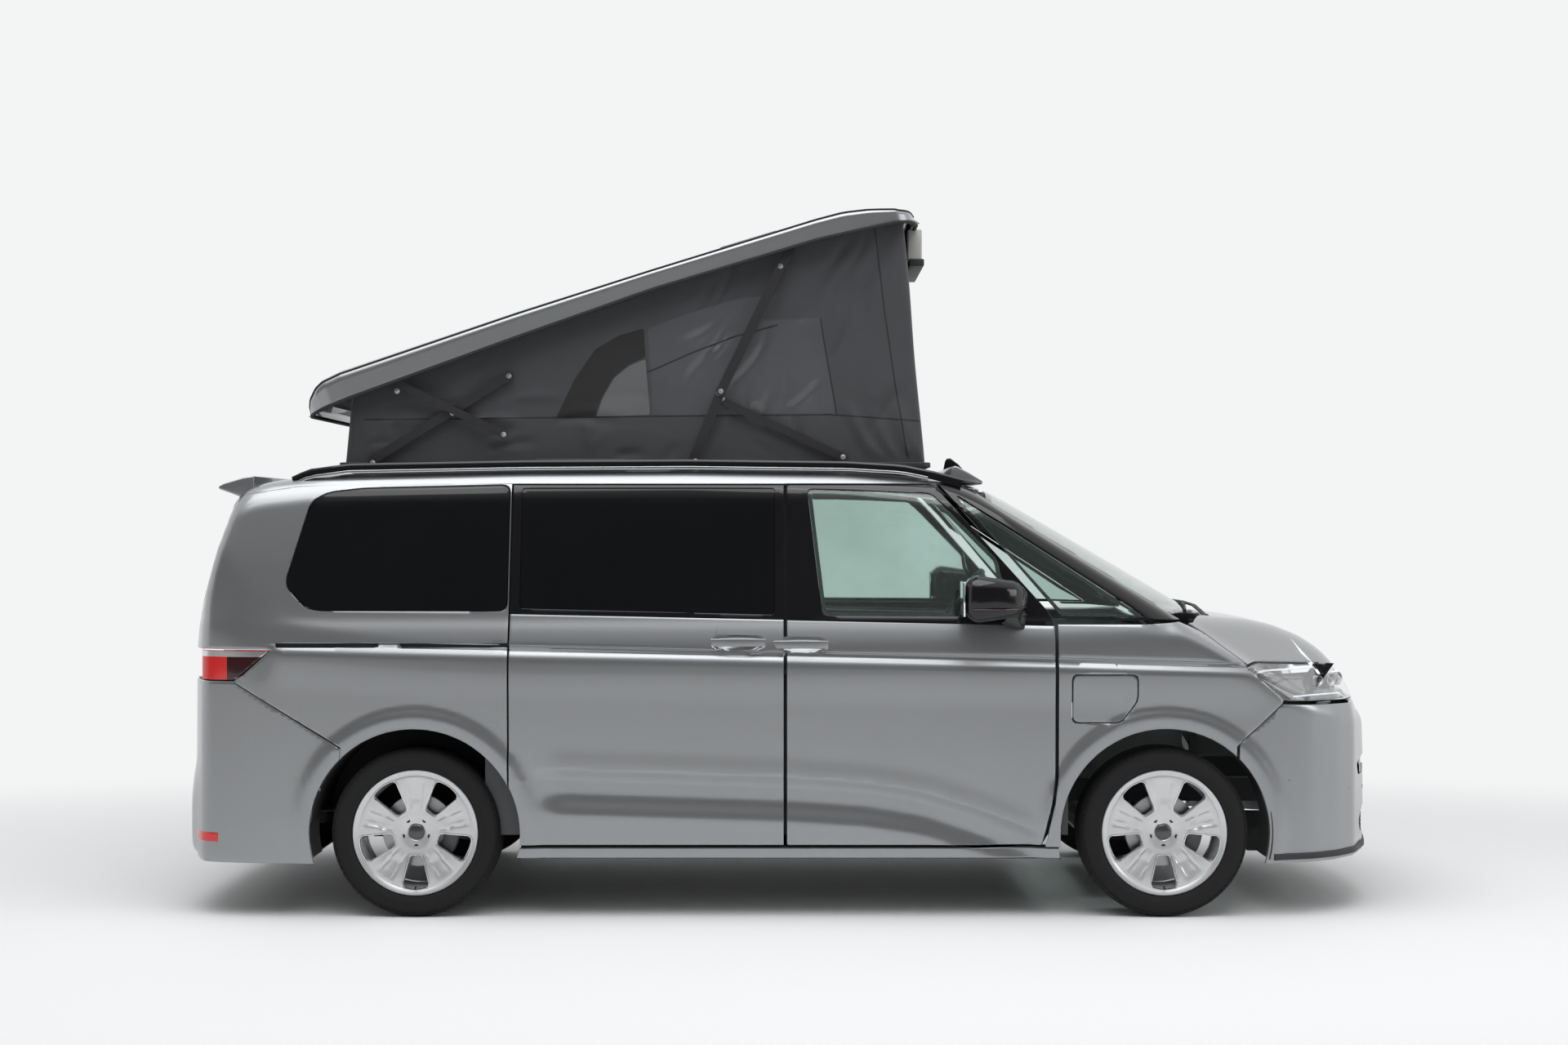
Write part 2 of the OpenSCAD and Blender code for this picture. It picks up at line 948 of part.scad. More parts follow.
// One front knuckle with its stub axle, kingpin and brake caliper
module knuckle() {
  pin_y = -wheel_y + kingpin_offset;
  color([0.3, 0.3, 0.32]) {
    translate([front_x, pin_y, 255]) cylinder(r = 10, h = 50);
    block([front_x - 35, pin_y - 25, 292], [front_x + 35, pin_y + 25, tyre_radius + 90]);
    translate([front_x, pin_y + 5, tyre_radius])
      rotate([90, 0, 0])
        cylinder(r = stub_radius, h = kingpin_offset + 45);
    block([front_x - 190, pin_y - 22, tyre_radius - 35], [front_x - 34, pin_y - 6, tyre_radius + 35]);
  }
}

module knuckle_right() {
  knuckle();
}

module knuckle_left() {
  mirror([0, 1, 0]) knuckle();
}

module rear_axle() {
  color([0.2, 0.2, 0.22]) {
    block([rear_x - 40, -610, tyre_radius - 45], [rear_x + 40, 610, tyre_radius + 25]);
    both_sides() {
      translate([rear_x, -600, tyre_radius])
        rotate([90, 0, 0])
          cylinder(r = stub_radius, h = wheel_y - 600 + 45);
      block([rear_x - 200, -wheel_y + kingpin_offset - 22, tyre_radius - 35],
        [rear_x + 40, -wheel_y + kingpin_offset + 10, tyre_radius + 20]);
      block([rear_x + 30, -600, tyre_radius - 30], [rear_x + 560, -540, tyre_radius + 10]);
      block([rear_x + 480, -600, tyre_radius - 30], [rear_x + 560, -540, floor_low]);
    }
  }
}

// Five-spoke wheel with its hub and brake disc, centred on its axle at the origin,
// with +Z to the outside
module wheel() {
  face = tyre_width / 2 - 12;
  color([0.6, 0.6, 0.62])
    difference() {
      union() {
        rotate_extrude($fn = 96)
          polygon([
            [stub_radius + 0.6, -30],
            [70, -30],
            [70, face - 52],
            [95, face - 40],
            [rim_radius - 30, face - 30],
            [rim_radius - 22, -tyre_width / 2 + 20],
            [rim_radius - 2, -tyre_width / 2 + 6],
            [rim_radius - 2, -tyre_width / 2 + 2],
            [rim_radius + 12, -tyre_width / 2 + 2],
            [rim_radius + 12, -tyre_width / 2 + 8],
            [rim_radius, -tyre_width / 2 + 12],
            [rim_radius, tyre_width / 2 - 12],
            [rim_radius + 12, tyre_width / 2 - 8],
            [rim_radius + 12, tyre_width / 2 - 2],
            [rim_radius - 8, tyre_width / 2 - 2],
            [rim_radius - 20, face - 8],
            [100, face - 18],
            [70, face - 24],
            [stub_radius + 0.6, face - 24]
          ]);
        translate([0, 0, -30]) cylinder(r = 160, h = 24);
      }
      for (i = [0:4])
        rotate([0, 0, 36 + 72 * i])
          translate([0, 0, face - 60])
            linear_extrude(80)
              polygon([[98, -22], [98, 22], [rim_radius - 34, 58], [rim_radius - 26, 30],
                [rim_radius - 26, -30], [rim_radius - 34, -58]]);
      for (i = [0:4])
        rotate([0, 0, 36 + 72 * i])
          translate([60, 0, -40]) cylinder(r = 8, h = 200);
      translate([0, 0, -31]) cylinder(r = stub_radius + 0.6, h = tyre_width);
    }
}

module tyre() {
  color([0.05, 0.05, 0.05])
    rotate_extrude($fn = 96)
      polygon([
        [rim_radius + 0.3, -tyre_width / 2 + 12.5],
        [rim_radius + 12.3, -tyre_width / 2 + 8.3],
        [rim_radius + 14, -tyre_width / 2 + 2],
        [rim_radius + 50, -tyre_width / 2],
        [tyre_radius - 22, -tyre_width / 2 + 6],
        [tyre_radius - 5, -tyre_width / 2 + 20],
        [tyre_radius, -tyre_width / 2 + 45],
        [tyre_radius, tyre_width / 2 - 45],
        [tyre_radius - 5, tyre_width / 2 - 20],
        [tyre_radius - 22, tyre_width / 2 - 6],
        [rim_radius + 50, tyre_width / 2],
        [rim_radius + 14, tyre_width / 2 - 2],
        [rim_radius + 12.3, tyre_width / 2 - 8.3],
        [rim_radius + 0.3, tyre_width / 2 - 12.5]
      ]);
}

// Puts a wheel's piece at an axle end; side is -1 on the right and 1 on the left
module at_wheel(x, side) {
  translate([x, side * wheel_y, tyre_radius])
    rotate([-side * 90, 0, 0])
      rotate([0, 0, side * 90])
        children();
}

module wheel_front_right() {
  at_wheel(front_x, -1) wheel();
}

module wheel_front_left() {
  at_wheel(front_x, 1) wheel();
}

module wheel_rear_right() {
  at_wheel(rear_x, -1) wheel();
}

module wheel_rear_left() {
  at_wheel(rear_x, 1) wheel();
}

module tyre_front_right() {
  at_wheel(front_x, -1) tyre();
}

module tyre_front_left() {
  at_wheel(front_x, 1) tyre();
}

module tyre_rear_right() {
  at_wheel(rear_x, -1) tyre();
}

module tyre_rear_left() {
  at_wheel(rear_x, 1) tyre();
}

module engine_block() {
  color([0.4, 0.4, 0.42])
    block([front_x - 220, -330, 310], [front_x + 180, 330, 880]);
}

module dashboard() {
  color([0.12, 0.12, 0.13]) {
    translate(steering_centre)
      rotate([0, steering_tilt, 0])
        translate([0, 0, -200]) cylinder(r = 34, h = 117.5);
    intersection() {
      body_form(door_wall + 66);
      side_prism([
        [door_front_x - 150, 760],
        [door_front_x - 210, 900],
        [door_front_x - 215, belt_height - 60],
        [door_front_x - 120, belt_height - 20],
        [door_front_x - 10, belt_height - 20],
        [door_front_x - 10, 560],
        [door_front_x - 60, 560]
      ], -half, half);
    }
  }
}

// Steering wheel with its column, on the left
module steering_wheel() {
  translate(steering_centre)
    rotate([0, steering_tilt, 0])
      color(dark) {
        rotate_extrude($fn = 72)
          translate([steering_radius - 15, 0]) circle(r = 15, $fn = 24);
        for (a = [0, 120, 240])
          rotate([0, 0, a + 60])
            translate([30, -14, -8]) cube([steering_radius - 40, 28, 12]);
        translate([0, 0, -20]) cylinder(r = 48, h = 34);
        translate([0, 0, -82]) cylinder(r = 20, h = 64);
      }
}

// One seat: cushion, back and head rest on a box
module seat(x, y, width) {
  translate([x, y, 0]) {
    block([-20, -width / 2 + 60, floor_top], [380, width / 2 - 60, seat_height - 165]);
    rotate([90, 0, 0])
      translate([0, 0, -width / 2])
        linear_extrude(width)
          polygon([
            [-60, seat_height - 165],
            [430, seat_height - 165],
            [470, seat_height - 60],
            [440, seat_height],
            [60, seat_height - 20],
            [-60, seat_height + 520],
            [-120, seat_height + 560],
            [-190, seat_height + 540],
            [-90, seat_height - 100]
          ]);
    rotate([90, 0, 0])
      translate([0, 0, -140])
        linear_extrude(280)
          polygon([
            [-80, seat_height + 515],
            [-100, seat_height + 700],
            [-130, seat_height + 715],
            [-190, seat_height + 700],
            [-180, seat_height + 530]
          ]);
  }
}

module front_seats() {
  color([0.15, 0.15, 0.16]) {
    seat(pillar_x + 130, -400, seat_width);
    seat(pillar_x + 130, 400, seat_width);
  }
}

module rear_bench() {
  color([0.18, 0.18, 0.19]) seat(rear_x + 300, -60, 860);
}

module kitchen_unit() {
  color([0.5, 0.47, 0.43])
    intersection() {
      body_form(door_wall + 70);
      block([rear_x + 480, 400, floor_top], [pillar_x - 180, half, 1180]);
    }
}

// Roof shell in its closed place
function shell_outline(d) = [
  [rear_x - 514 + d, roof_height - 3],
  [rear_x - 486 + d, roof_height + 64 - d],
  [rear_x - 406 + d, roof_height + 124 - d],
  [rear_x - 320, roof_height + 131 - d],
  [rear_x + 480, roof_height + 133 - d],
  [rear_x + 1098, roof_height + 123 - d],
  [front_x - 1290, roof_height + 106 - d],
  [front_x - 1178, roof_height + 99 - d],
  [front_x - 1074 - d / 2, roof_height + 77 - d],
  [front_x - 878 - d, roof_height + 10 - d],
  [front_x - 884 - d, roof_height - 41],
  [front_x - 968, roof_height - 18],
  [front_x - 1320, roof_height + 16],
  [rear_x + 1070, roof_height + 38],
  [rear_x + 448, roof_height + 28],
  [rear_x - 320, roof_height + 8]
];

module shell_form(d) {
  w = shell_half - d;
  intersection() {
    side_prism(d > 0 ? concat([for (i = [0:10]) shell_outline(d)[i]],
      [[front_x - 884 - d, roof_height - 200], [rear_x - 514 + d, roof_height - 200]])
      : shell_outline(0), -w, w);
    cross_prism([
      [-w, roof_height - 300],
      [-w, roof_height + 70 - d],
      [-w + 20, roof_height + 105 - d],
      [-w + 70, roof_height + 124 - d],
      [0, roof_height + 150 - d],
      [w - 70, roof_height + 124 - d],
      [w - 20, roof_height + 105 - d],
      [w, roof_height + 70 - d],
      [w, roof_height - 300]
    ], rear_x - 600, front_x);
    linear_extrude(3000)
      polygon([
        [rear_x - 514 + d, -w + 110],
        [rear_x - 480 + d, -w + 40],
        [rear_x - 400 + d, -w],
        [front_x - 1150 - d, -w],
        [front_x - 960 - d, -w + 25],
        [front_x - 900 - d, -w + 80],
        [front_x - 878 - d, -w + 180],
        [front_x - 878 - d, w - 180],
        [front_x - 900 - d, w - 80],
        [front_x - 960 - d, w - 25],
        [front_x - 1150 - d, w],
        [rear_x - 400 + d, w],
        [rear_x - 480 + d, w - 40],
        [rear_x - 514 + d, w - 110]
      ]);
  }
}

// Turns a piece of the closed roof to its raised place
module raised() {
  translate([roof_pole.x, 0, roof_pole.y])
    rotate([0, -roof_angle, 0])
      translate([-roof_pole.x, 0, -roof_pole.y])
        children();
}

module pop_up_roof() {
  color(silver)
    raised() {
      difference() {
        shell_form(0);
        shell_form(shell_wall);
      }
      // Brackets that carry the strut pins
      both_sides() {
        roof_bracket(upper_arm_closed, tent_half + 45);
        roof_bracket(short_arm_closed, tent_half + 45);
      }
    }
}

// A bracket on the inner wall of the roof shell with the pin of one strut
module roof_bracket(at, y) {
  translate([at.x, -shell_half + shell_wall - 1, at.y])
    rotate([-90, 0, 0])
      cylinder(r = 6, h = shell_half - shell_wall + 1 - y + bar_wall);
}

// Places in the side view: the pins of the struts with the roof raised
lower_arm_base = [rear_x + 1148, roof_height + 30];
knee = [rear_x + 1266, roof_height + 322];
brace_top = knee - [13, 33];
upper_arm_closed = [rear_x + 1694, roof_height + 30];
brace_foot = [rear_x + 1798, roof_height + 36];
long_arm_base = [rear_x - 235, roof_height + 28];
long_arm_tip = [rear_x + 352, roof_height + 389];
short_arm_closed = [rear_x - 132, roof_height + 30];
short_arm_tip = [rear_x + 332, roof_height + 136];
upper_arm_top = raised_point(upper_arm_closed);
short_arm_top = raised_point(short_arm_closed);

function raised_point(p) = [
  roof_pole.x + (p.x - roof_pole.x) * cos(roof_angle) - (p.y - roof_pole.y) * sin(roof_angle),
  roof_pole.y + (p.x - roof_pole.x) * sin(roof_angle) + (p.y - roof_pole.y) * cos(roof_angle)
];

// A flat bar in the side view from one pin hole to the next, at a distance from the middle
module bar(from, to, y, width = bar_width) {
  run = to - from;
  translate([from.x, -y + bar_wall / 2, from.y])
    rotate([90, 0, 0])
      rotate([0, 0, atan2(run.y, run.x)])
        difference() {
          union() {
            translate([0, -width / 2, 0]) cube([norm(run), width, bar_wall]);
            cylinder(r = width / 2, h = bar_wall);
            translate([norm(run), 0, 0]) cylinder(r = width / 2, h = bar_wall);
          }
          translate([0, 0, -1]) cylinder(r = 6.5, h = bar_wall + 2);
          translate([norm(run), 0, -1]) cylinder(r = 6.5, h = bar_wall + 2);
        }
}

module strut_lower_arms() {
  color(dark)
    both_sides() {
      bar(lower_arm_base, knee, tent_half + 35);
      translate([brace_top.x, -tent_half - 33, brace_top.y])
        rotate([-90, 0, 0])
          cylinder(r = 6, h = 12);
    }
}

module strut_upper_arms() {
  color(dark) both_sides() bar(upper_arm_top, knee, tent_half + 45);
}

module strut_braces() {
  color(dark) both_sides() bar(brace_top, brace_foot, tent_half + 25, 34);
}

module scissor_long_arms() {
  color(dark) both_sides() bar(long_arm_base, long_arm_tip, tent_half + 27);
}

module scissor_short_arms() {
  color(dark) both_sides() bar(short_arm_top, short_arm_tip, tent_half + 45, 34);
}

// Fabric walls between the roof opening and the raised shell
module tent() {
  wall = 5;
  color([0.35, 0.36, 0.38])
    difference() {
      side_prism(tent_outline(0), -tent_half, tent_half);
      side_prism(tent_outline(wall), -tent_half + wall, tent_half - wall);
      body_form(-0.3);
      raised()
        difference() {
          shell_form(0);
          shell_form(shell_wall + 0.3);
        }
    }
}

// Side view of the tent, set in by d and then open at its ends
function tent_outline(d) = let (lift = 30 * sign(d)) [
  [rear_x - 365 + d, roof_height - 60 - lift],
  raised_point([rear_x - 280 + d, roof_height + 117 + lift]),
  raised_point([rear_x + 480, roof_height + 119 + lift]),
  raised_point([rear_x + 1098, roof_height + 109 + lift]),
  raised_point([front_x - 1178, roof_height + 85 + lift]),
  raised_point([front_x - 1074, roof_height + 63 + lift]),
  raised_point([front_x - 962 - d, roof_height + 24 + lift]),
  [front_x - 975 - d, roof_height - 60 - lift]
];

steering_centre = [door_front_x - 294, 385, belt_height + 38];
steering_tilt = -54;

floor_pan();
side_frame_right();
side_frame_left();
roof_panel();
roof_rails();
front_wings();
front_bumper();
rear_bumper();
windscreen();
side_glass();
sliding_door_right();
sliding_door_left();
headlamps();
tail_lamps();
engine_block();
front_subframe();
rear_axle();
dashboard();
front_seats();
rear_bench();
kitchen_unit();
bonnet();
tailgate();
tailgate_glass();
door_front_right();
door_front_left();
door_glass_right();
door_glass_left();
mirror_right();
mirror_left();
charge_flap();
steering_wheel();
knuckle_right();
knuckle_left();
wheel_front_right();
wheel_front_left();
wheel_rear_right();
wheel_rear_left();
tyre_front_right();
tyre_front_left();
tyre_rear_right();
tyre_rear_left();
pop_up_roof();
tent();
strut_lower_arms();
strut_upper_arms();
strut_braces();
scissor_long_arms();
scissor_short_arms();
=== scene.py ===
"""Looks for a camper van with a pop-up roof, built around its packed frame.

Lengths inside are in millimetres.
"""

import json
import math

import bmesh
import bpy
import numpy as np
from mathutils import Matrix, Vector

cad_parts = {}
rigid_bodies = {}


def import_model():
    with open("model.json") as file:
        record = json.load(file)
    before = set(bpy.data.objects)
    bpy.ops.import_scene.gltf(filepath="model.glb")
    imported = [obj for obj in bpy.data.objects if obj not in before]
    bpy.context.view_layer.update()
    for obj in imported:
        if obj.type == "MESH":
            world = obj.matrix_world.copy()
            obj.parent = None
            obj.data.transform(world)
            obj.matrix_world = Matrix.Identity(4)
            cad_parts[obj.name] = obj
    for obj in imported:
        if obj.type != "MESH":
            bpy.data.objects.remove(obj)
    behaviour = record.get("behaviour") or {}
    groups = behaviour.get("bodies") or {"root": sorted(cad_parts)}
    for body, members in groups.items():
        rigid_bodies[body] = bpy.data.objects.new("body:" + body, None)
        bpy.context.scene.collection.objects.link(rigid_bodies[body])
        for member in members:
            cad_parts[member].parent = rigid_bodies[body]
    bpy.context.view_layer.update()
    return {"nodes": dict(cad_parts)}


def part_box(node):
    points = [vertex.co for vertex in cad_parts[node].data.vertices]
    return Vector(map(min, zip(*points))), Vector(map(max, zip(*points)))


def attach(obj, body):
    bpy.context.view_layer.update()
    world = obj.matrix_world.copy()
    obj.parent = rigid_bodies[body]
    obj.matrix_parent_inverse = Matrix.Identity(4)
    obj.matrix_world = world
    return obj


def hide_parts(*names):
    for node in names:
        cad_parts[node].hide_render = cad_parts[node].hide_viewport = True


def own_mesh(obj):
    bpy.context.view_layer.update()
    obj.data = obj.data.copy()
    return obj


bl_info = {
    "name": "Camper Van Looks",
    "version": (1, 0, 0),
    "blender": (4, 5, 0),
    "location": "View3D > Sidebar > Camper Van",
    "description": "Builds the panels, glass, wheels, tent and cabin of a camper van",
    "category": "Object",
}

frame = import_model()

MILLIMETRE = 0.001
NOSE = 2586.5
FRONT_AXLE = 1586.5
REAR_AXLE = -1537.5
WHEEL_Y = 815.0
AXLE_Z = 352.0
ARCH = 437.0
GAP = 7.0
ROOF_POLE = (-2734.5, 1998.0)
ROOF_ANGLE = math.radians(18.5)


# ---------------------------------------------------------------- curves and the body's form


def line_table(points, width, step=2.0):
    """A drawn line with its corners eased over a width, as a function of its first number."""
    p = np.array(points, float)
    t = np.arange(p[0, 0] - 500, p[-1, 0] + 500, step)
    v = np.interp(t, p[:, 0], p[:, 1])
    first = (p[1, 1] - p[0, 1]) / (p[1, 0] - p[0, 0])
    last = (p[-1, 1] - p[-2, 1]) / (p[-1, 0] - p[-2, 0])
    v = np.where(t < p[0, 0], p[0, 1] + (t - p[0, 0]) * first, v)
    v = np.where(t > p[-1, 0], p[-1, 1] + (t - p[-1, 0]) * last, v)
    n = max(3, int(width / step) | 1)
    for _ in range(3):
        wide = np.concatenate([v[0] - first * step * np.arange(n // 2, 0, -1), v,
                               v[-1] + last * step * np.arange(1, n // 2 + 1)])
        v = np.convolve(wide, np.ones(n) / n, mode="valid")
    return lambda q: np.interp(q, t, v)


def slope_of(line, reach=4.0):
    return lambda q: (line(q + reach) - line(q - reach)) / (2 * reach)


def blend_max(a, b, k):
    h = np.clip(k - np.abs(a - b), 0, None) / k
    return np.maximum(a, b) + h * h * k / 4


def blend_min(a, b, k):
    return -blend_max(-a, -b, k)


section = line_table([(210, 928.5), (400, 948.5), (700, 962.5), (980, 970.5), (1130, 958.5), (1250, 918.5),
                      (1500, 870.5), (1800, 802.5), (1860, 775)], 70)
crown = line_table([(-400, -5), (0, 0), (400, -5), (690, -14), (765, -35), (800, -70)], 60)
roof_line = line_table([(-2330, 1800), (-2250, 1835), (-1900, 1868), (-1100, 1886), (-400, 1890), (270, 1880),
                        (620, 1850), (804, 1815), (924, 1796), (1100, 1700)], 90)
bonnet_line = line_table([(1500, 1252), (1854, 1247), (2060, 1222), (2175, 1195), (2294, 1148), (2385, 1088),
                          (2451, 1009), (2511, 880), (2558, 750), (2586, 660)], 40)
nose_plan = line_table([(-280, 2570), (0, 2586.5), (280, 2570.5), (500, 2520.5), (700, 2430.5), (805, 2330.5),
                        (885, 2200.5), (940, 2000.5), (964, 1750.5), (970, 1396)], 24)
nose_foot = line_table([(200, 2330), (222, 2400), (240, 2470), (320, 2586.5), (700, 2590)], 16)
tail_plan = line_table([(-480, -2572.5), (0, -2586.5), (480, -2572.5), (720, -2524.5), (875, -2426.5),
                        (945, -2196.5), (966, -1897.5)], 24)
tail_line = line_table([(200, -2330), (222, -2370), (242, -2550), (300, -2586.5), (440, -2586.5),
    (493, -2571.5), (640, -2530.5), (1106, -2528.5), (1259, -2508.5)], 20)
hatch_line = line_table([(1100, -2512), (1259, -2508.5), (1360, -2486.5), (1529, -2440.5), (1725, -2365.5),
                         (1800, -2330.5), (1835, -2250.5), (1850, -2190)], 20)
bonnet_slope, nose_slope = slope_of(bonnet_line), slope_of(nose_plan)
tail_slope, hatch_slope, tail_lean = slope_of(tail_plan), slope_of(hatch_line), slope_of(tail_line)
SCREEN_TILT = math.atan2(549.0, 930.0)
SCREEN_BASE = (1854.5, 1247.0)


def body_field(x, y, z):
    """Near zero on the skin of the body, above zero outside."""
    ay = np.abs(y)
    side = ay - section(z)
    drawn_in = NOSE - nose_plan(ay)
    u = x + 0.5 * drawn_in
    bonnet = (z - bonnet_line(u)) / np.sqrt(1 + bonnet_slope(u) ** 2)
    plan = (x - nose_plan(ay)) / np.sqrt(1 + nose_slope(ay) ** 2)
    foot = x - nose_foot(z) + 0.2 * drawn_in
    rear_round = (tail_plan(ay) - x) / np.sqrt(1 + tail_slope(ay) ** 2)
    shift = 0.4 * (tail_plan(ay) + NOSE)
    tail = (tail_line(z) + shift - x) / np.sqrt(1 + tail_lean(z) ** 2)
    slant = 0.408 * (x - 1499.5) + 0.481 * (ay - 918.5) + 0.776 * (z - 1250)
    lower = blend_max(side, blend_max(plan, bonnet, 40), 70)
    lower = blend_max(lower, blend_max(slant, foot, 20), 50)
    lower = blend_max(lower, blend_max(rear_round, tail, 40), 60)
    roof = z - (roof_line(x) + crown(ay))
    c, s = math.cos(SCREEN_TILT), math.sin(SCREEN_TILT)
    depth = s * (x - SCREEN_BASE[0]) + c * (z - SCREEN_BASE[1]) + 3400
    screen = np.sqrt(y * y + depth * depth) - 3400
    hatch = (hatch_line(z) + shift - x) / np.sqrt(1 + hatch_slope(z) ** 2)
    cabin = blend_max(blend_max(side, roof, 44), blend_max(screen, plan, 40), 36)
    cabin = blend_max(cabin, blend_max(rear_round, hatch, 40), 50)
    return blend_min(lower, cabin, 14)


def strike(origin, way, reach, form=body_field, steps=30):
    """Where rays that start outside first meet a form; one row of numbers for each ray."""
    near = np.zeros(len(origin))
    far = np.full(len(origin), float(reach))
    found = np.zeros(len(origin), bool)
    last = near.copy()
    for i in range(1, steps + 1):
        t = np.full(len(origin), reach * i / steps)
        p = origin + way * t[:, None]
        inside = (form(p[:, 0], p[:, 1], p[:, 2]) < 0) & ~found
        near = np.where(inside, last, near)
        far = np.where(inside, t, far)
        found |= inside
        last = t
    for _ in range(16):
        mid = (near + far) / 2
        p = origin + way * mid[:, None]
        inside = form(p[:, 0], p[:, 1], p[:, 2]) < 0
        far = np.where(inside, mid, far)
        near = np.where(inside, near, mid)
    return origin + way * ((near + far) / 2)[:, None]


def ease(a, b, v):
    t = np.clip((v - a) / (b - a), 0, 1)
    return t * t * (3 - 2 * t)


shoulder_line = line_table([(-1600, 1147), (-1149, 1138), (1134, 1088), (2200, 1055)], 60)
scallop_line = line_table([(-1400, 640), (-1035, 628), (10, 594), (340, 571), (577, 533), (815, 459),
    (1039, 370), (1200, 300)], 60)


def side_relief(x, z):
    """How far the side stands out of its plain form: shoulder, door scallop and wheel arch flares."""
    v = shoulder_line(x) - z
    front_fade = 1 - ease(1900, 2080, x)
    groove = -7 * ease(0, 5, v) * (1 - ease(20, 24, v)) * ease(-1190, -1160, x) * front_fade
    chamfer = np.where((v > 20) & (v < 48), -7 + 14 * (v - 20) / 28,
        np.where(v >= 48, 7 * (1 - ease(48, 230, v)), 0))
    chamfer = chamfer * front_fade * ease(-2160, -2080, x)
    d = scallop_line(x) - z
    reach = ease(-1060, -900, x) * (1 - ease(1010, 1075, x))
    scallop = (-24 * ease(0, 50, d) * (1 - ease(100, 200, d)) + 4 * ease(-90, 0,
        d) * (1 - ease(0, 12, d))) * reach
    relief = groove + chamfer + scallop
    for axle in (FRONT_AXLE, REAR_AXLE):
        r = np.hypot(x - axle, z - 358)
        flare = 11 * (1 - ease(486, 522, r)) - 3 * (1 - ease(438, 462, r))
        below = 1 - ease(1000, 1100, z)
        relief = relief + flare * below
    return relief


def right_side(u, v):
    """Side view place (x, z) to the right skin."""
    z = np.asarray(v, float)
    origin = np.stack([u, np.full(len(u), -1060.0), z], 1)
    hit = strike(origin, np.array([[0.0, 1.0, 0.0]]), 900)
    hit[:, 1] -= side_relief(hit[:, 0], hit[:, 2])
    return hit


def roof_skin(u, v):
    origin = np.stack([u, v, np.full(len(u), 2050.0)], 1)
    return strike(origin, np.array([[0.0, 0.0, -1.0]]), 1400)


def bonnet_skin(u, v):
    """u runs along the bonnet and then down the nose, v across it and down over its brows."""
    a = np.clip(u / 560.0, 0, None)
    b = np.clip((np.abs(v) - 640) / 475, 0, None) * np.sign(v)
    x = np.where(u < 0, 2000 + u, 2000.0)
    way = np.stack([np.sin(a) * np.cos(b), np.sin(b), np.cos(a) * np.cos(b)], 1)
    pivot = np.stack([x, np.clip(v, -640, 640), np.full(len(u), 700.0)], 1)
    return strike(pivot + way * 950, -way, 900)


def screen_skin(u, v):
    """u runs up the windscreen from its foot, v is the place across."""
    c, s = math.cos(SCREEN_TILT), math.sin(SCREEN_TILT)
    origin = np.stack([SCREEN_BASE[0] - u * c + 350 * s, v, SCREEN_BASE[1] + u * s + 350 * c], 1)
    return strike(origin, np.array([[-s, 0.0, -c]]), 900)


rail_x = line_table([(-2400, -2400), (600, 600), (780, 775), (1900, 1745)], 90)
rail_z = line_table([(-2400, 1680), (-2256, 1705), (-1900, 1728), (-400, 1750), (270, 1742), (620, 1712),
                     (780, 1690), (1900, 1045)], 90)
rail_lean = line_table([(-2400, 0.0), (420, 0.0), (820, 0.52), (2000, 0.54)], 90)
rail_out = line_table([(-2400, 620), (500, 640), (1000, 680), (1900, 800)], 90)


def rail_skin(u, v):
    """The roof edge and windscreen pillar: u runs along it, v turns from the top to the side."""
    lean = rail_lean(u)
    up = np.stack([np.sin(lean), np.zeros(len(u)), np.cos(lean)], 1)
    out = np.array([[0.0, -1.0, 0.0]])
    way = up * np.cos(v)[:, None] + out * np.sin(v)[:, None]
    axis = np.stack([rail_x(u), -rail_out(u), rail_z(u)], 1)
    return strike(axis + way * 420, -way, 420)


def plan_track():
    y = np.concatenate([np.linspace(0, 700, 250), np.linspace(701, 963, 300)])
    x = nose_plan(y)
    s = np.concatenate([[0], np.cumsum(np.hypot(np.diff(x), np.diff(y)))])
    return s, x, y


track_s, track_x, track_y = plan_track()


def nose_skin(u, v):
    """u is the way around the nose from its middle, v the height."""
    s, sign = np.abs(u), np.where(u < 0, -1.0, 1.0)
    x, y = np.interp(s, track_s, track_x), np.interp(s, track_s, track_y)
    nx = np.interp(s + 6, track_s, track_y) - np.interp(s - 6, track_s, track_y)
    ny = -(np.interp(s + 6, track_s, track_x) - np.interp(s - 6, track_s, track_x))
    n = np.hypot(nx, ny) + 1e-9
    nx, ny = np.where(s < 6, 1.0, nx / n), np.where(s < 6, 0.0, ny / n)
    origin = np.stack([x + 160 * nx, sign * (y + 160 * ny), v], 1)
    hit = strike(origin, np.stack([-nx, -sign * ny, np.zeros(len(u))], 1), 700)
    r = np.hypot(hit[:, 0] - FRONT_AXLE, hit[:, 2] - 358)
    flare = (11 * (1 - ease(486, 522, r)) - 3 * (1 - ease(438, 462, r))) * ease(1700, 1880, hit[:, 0])
    hit[:, 1] += sign * flare * ny
    return hit


def around_nose(x):
    """The way around the nose at which the plan reaches a station."""
    return float(np.interp(-x, -track_x, track_s))


tail_y = np.concatenate([np.linspace(0, 700, 250), np.linspace(701, 971, 320)])
tail_x_track = tail_plan(tail_y)
tail_s = np.concatenate([[0], np.cumsum(np.hypot(np.diff(tail_x_track), np.diff(tail_y)))])


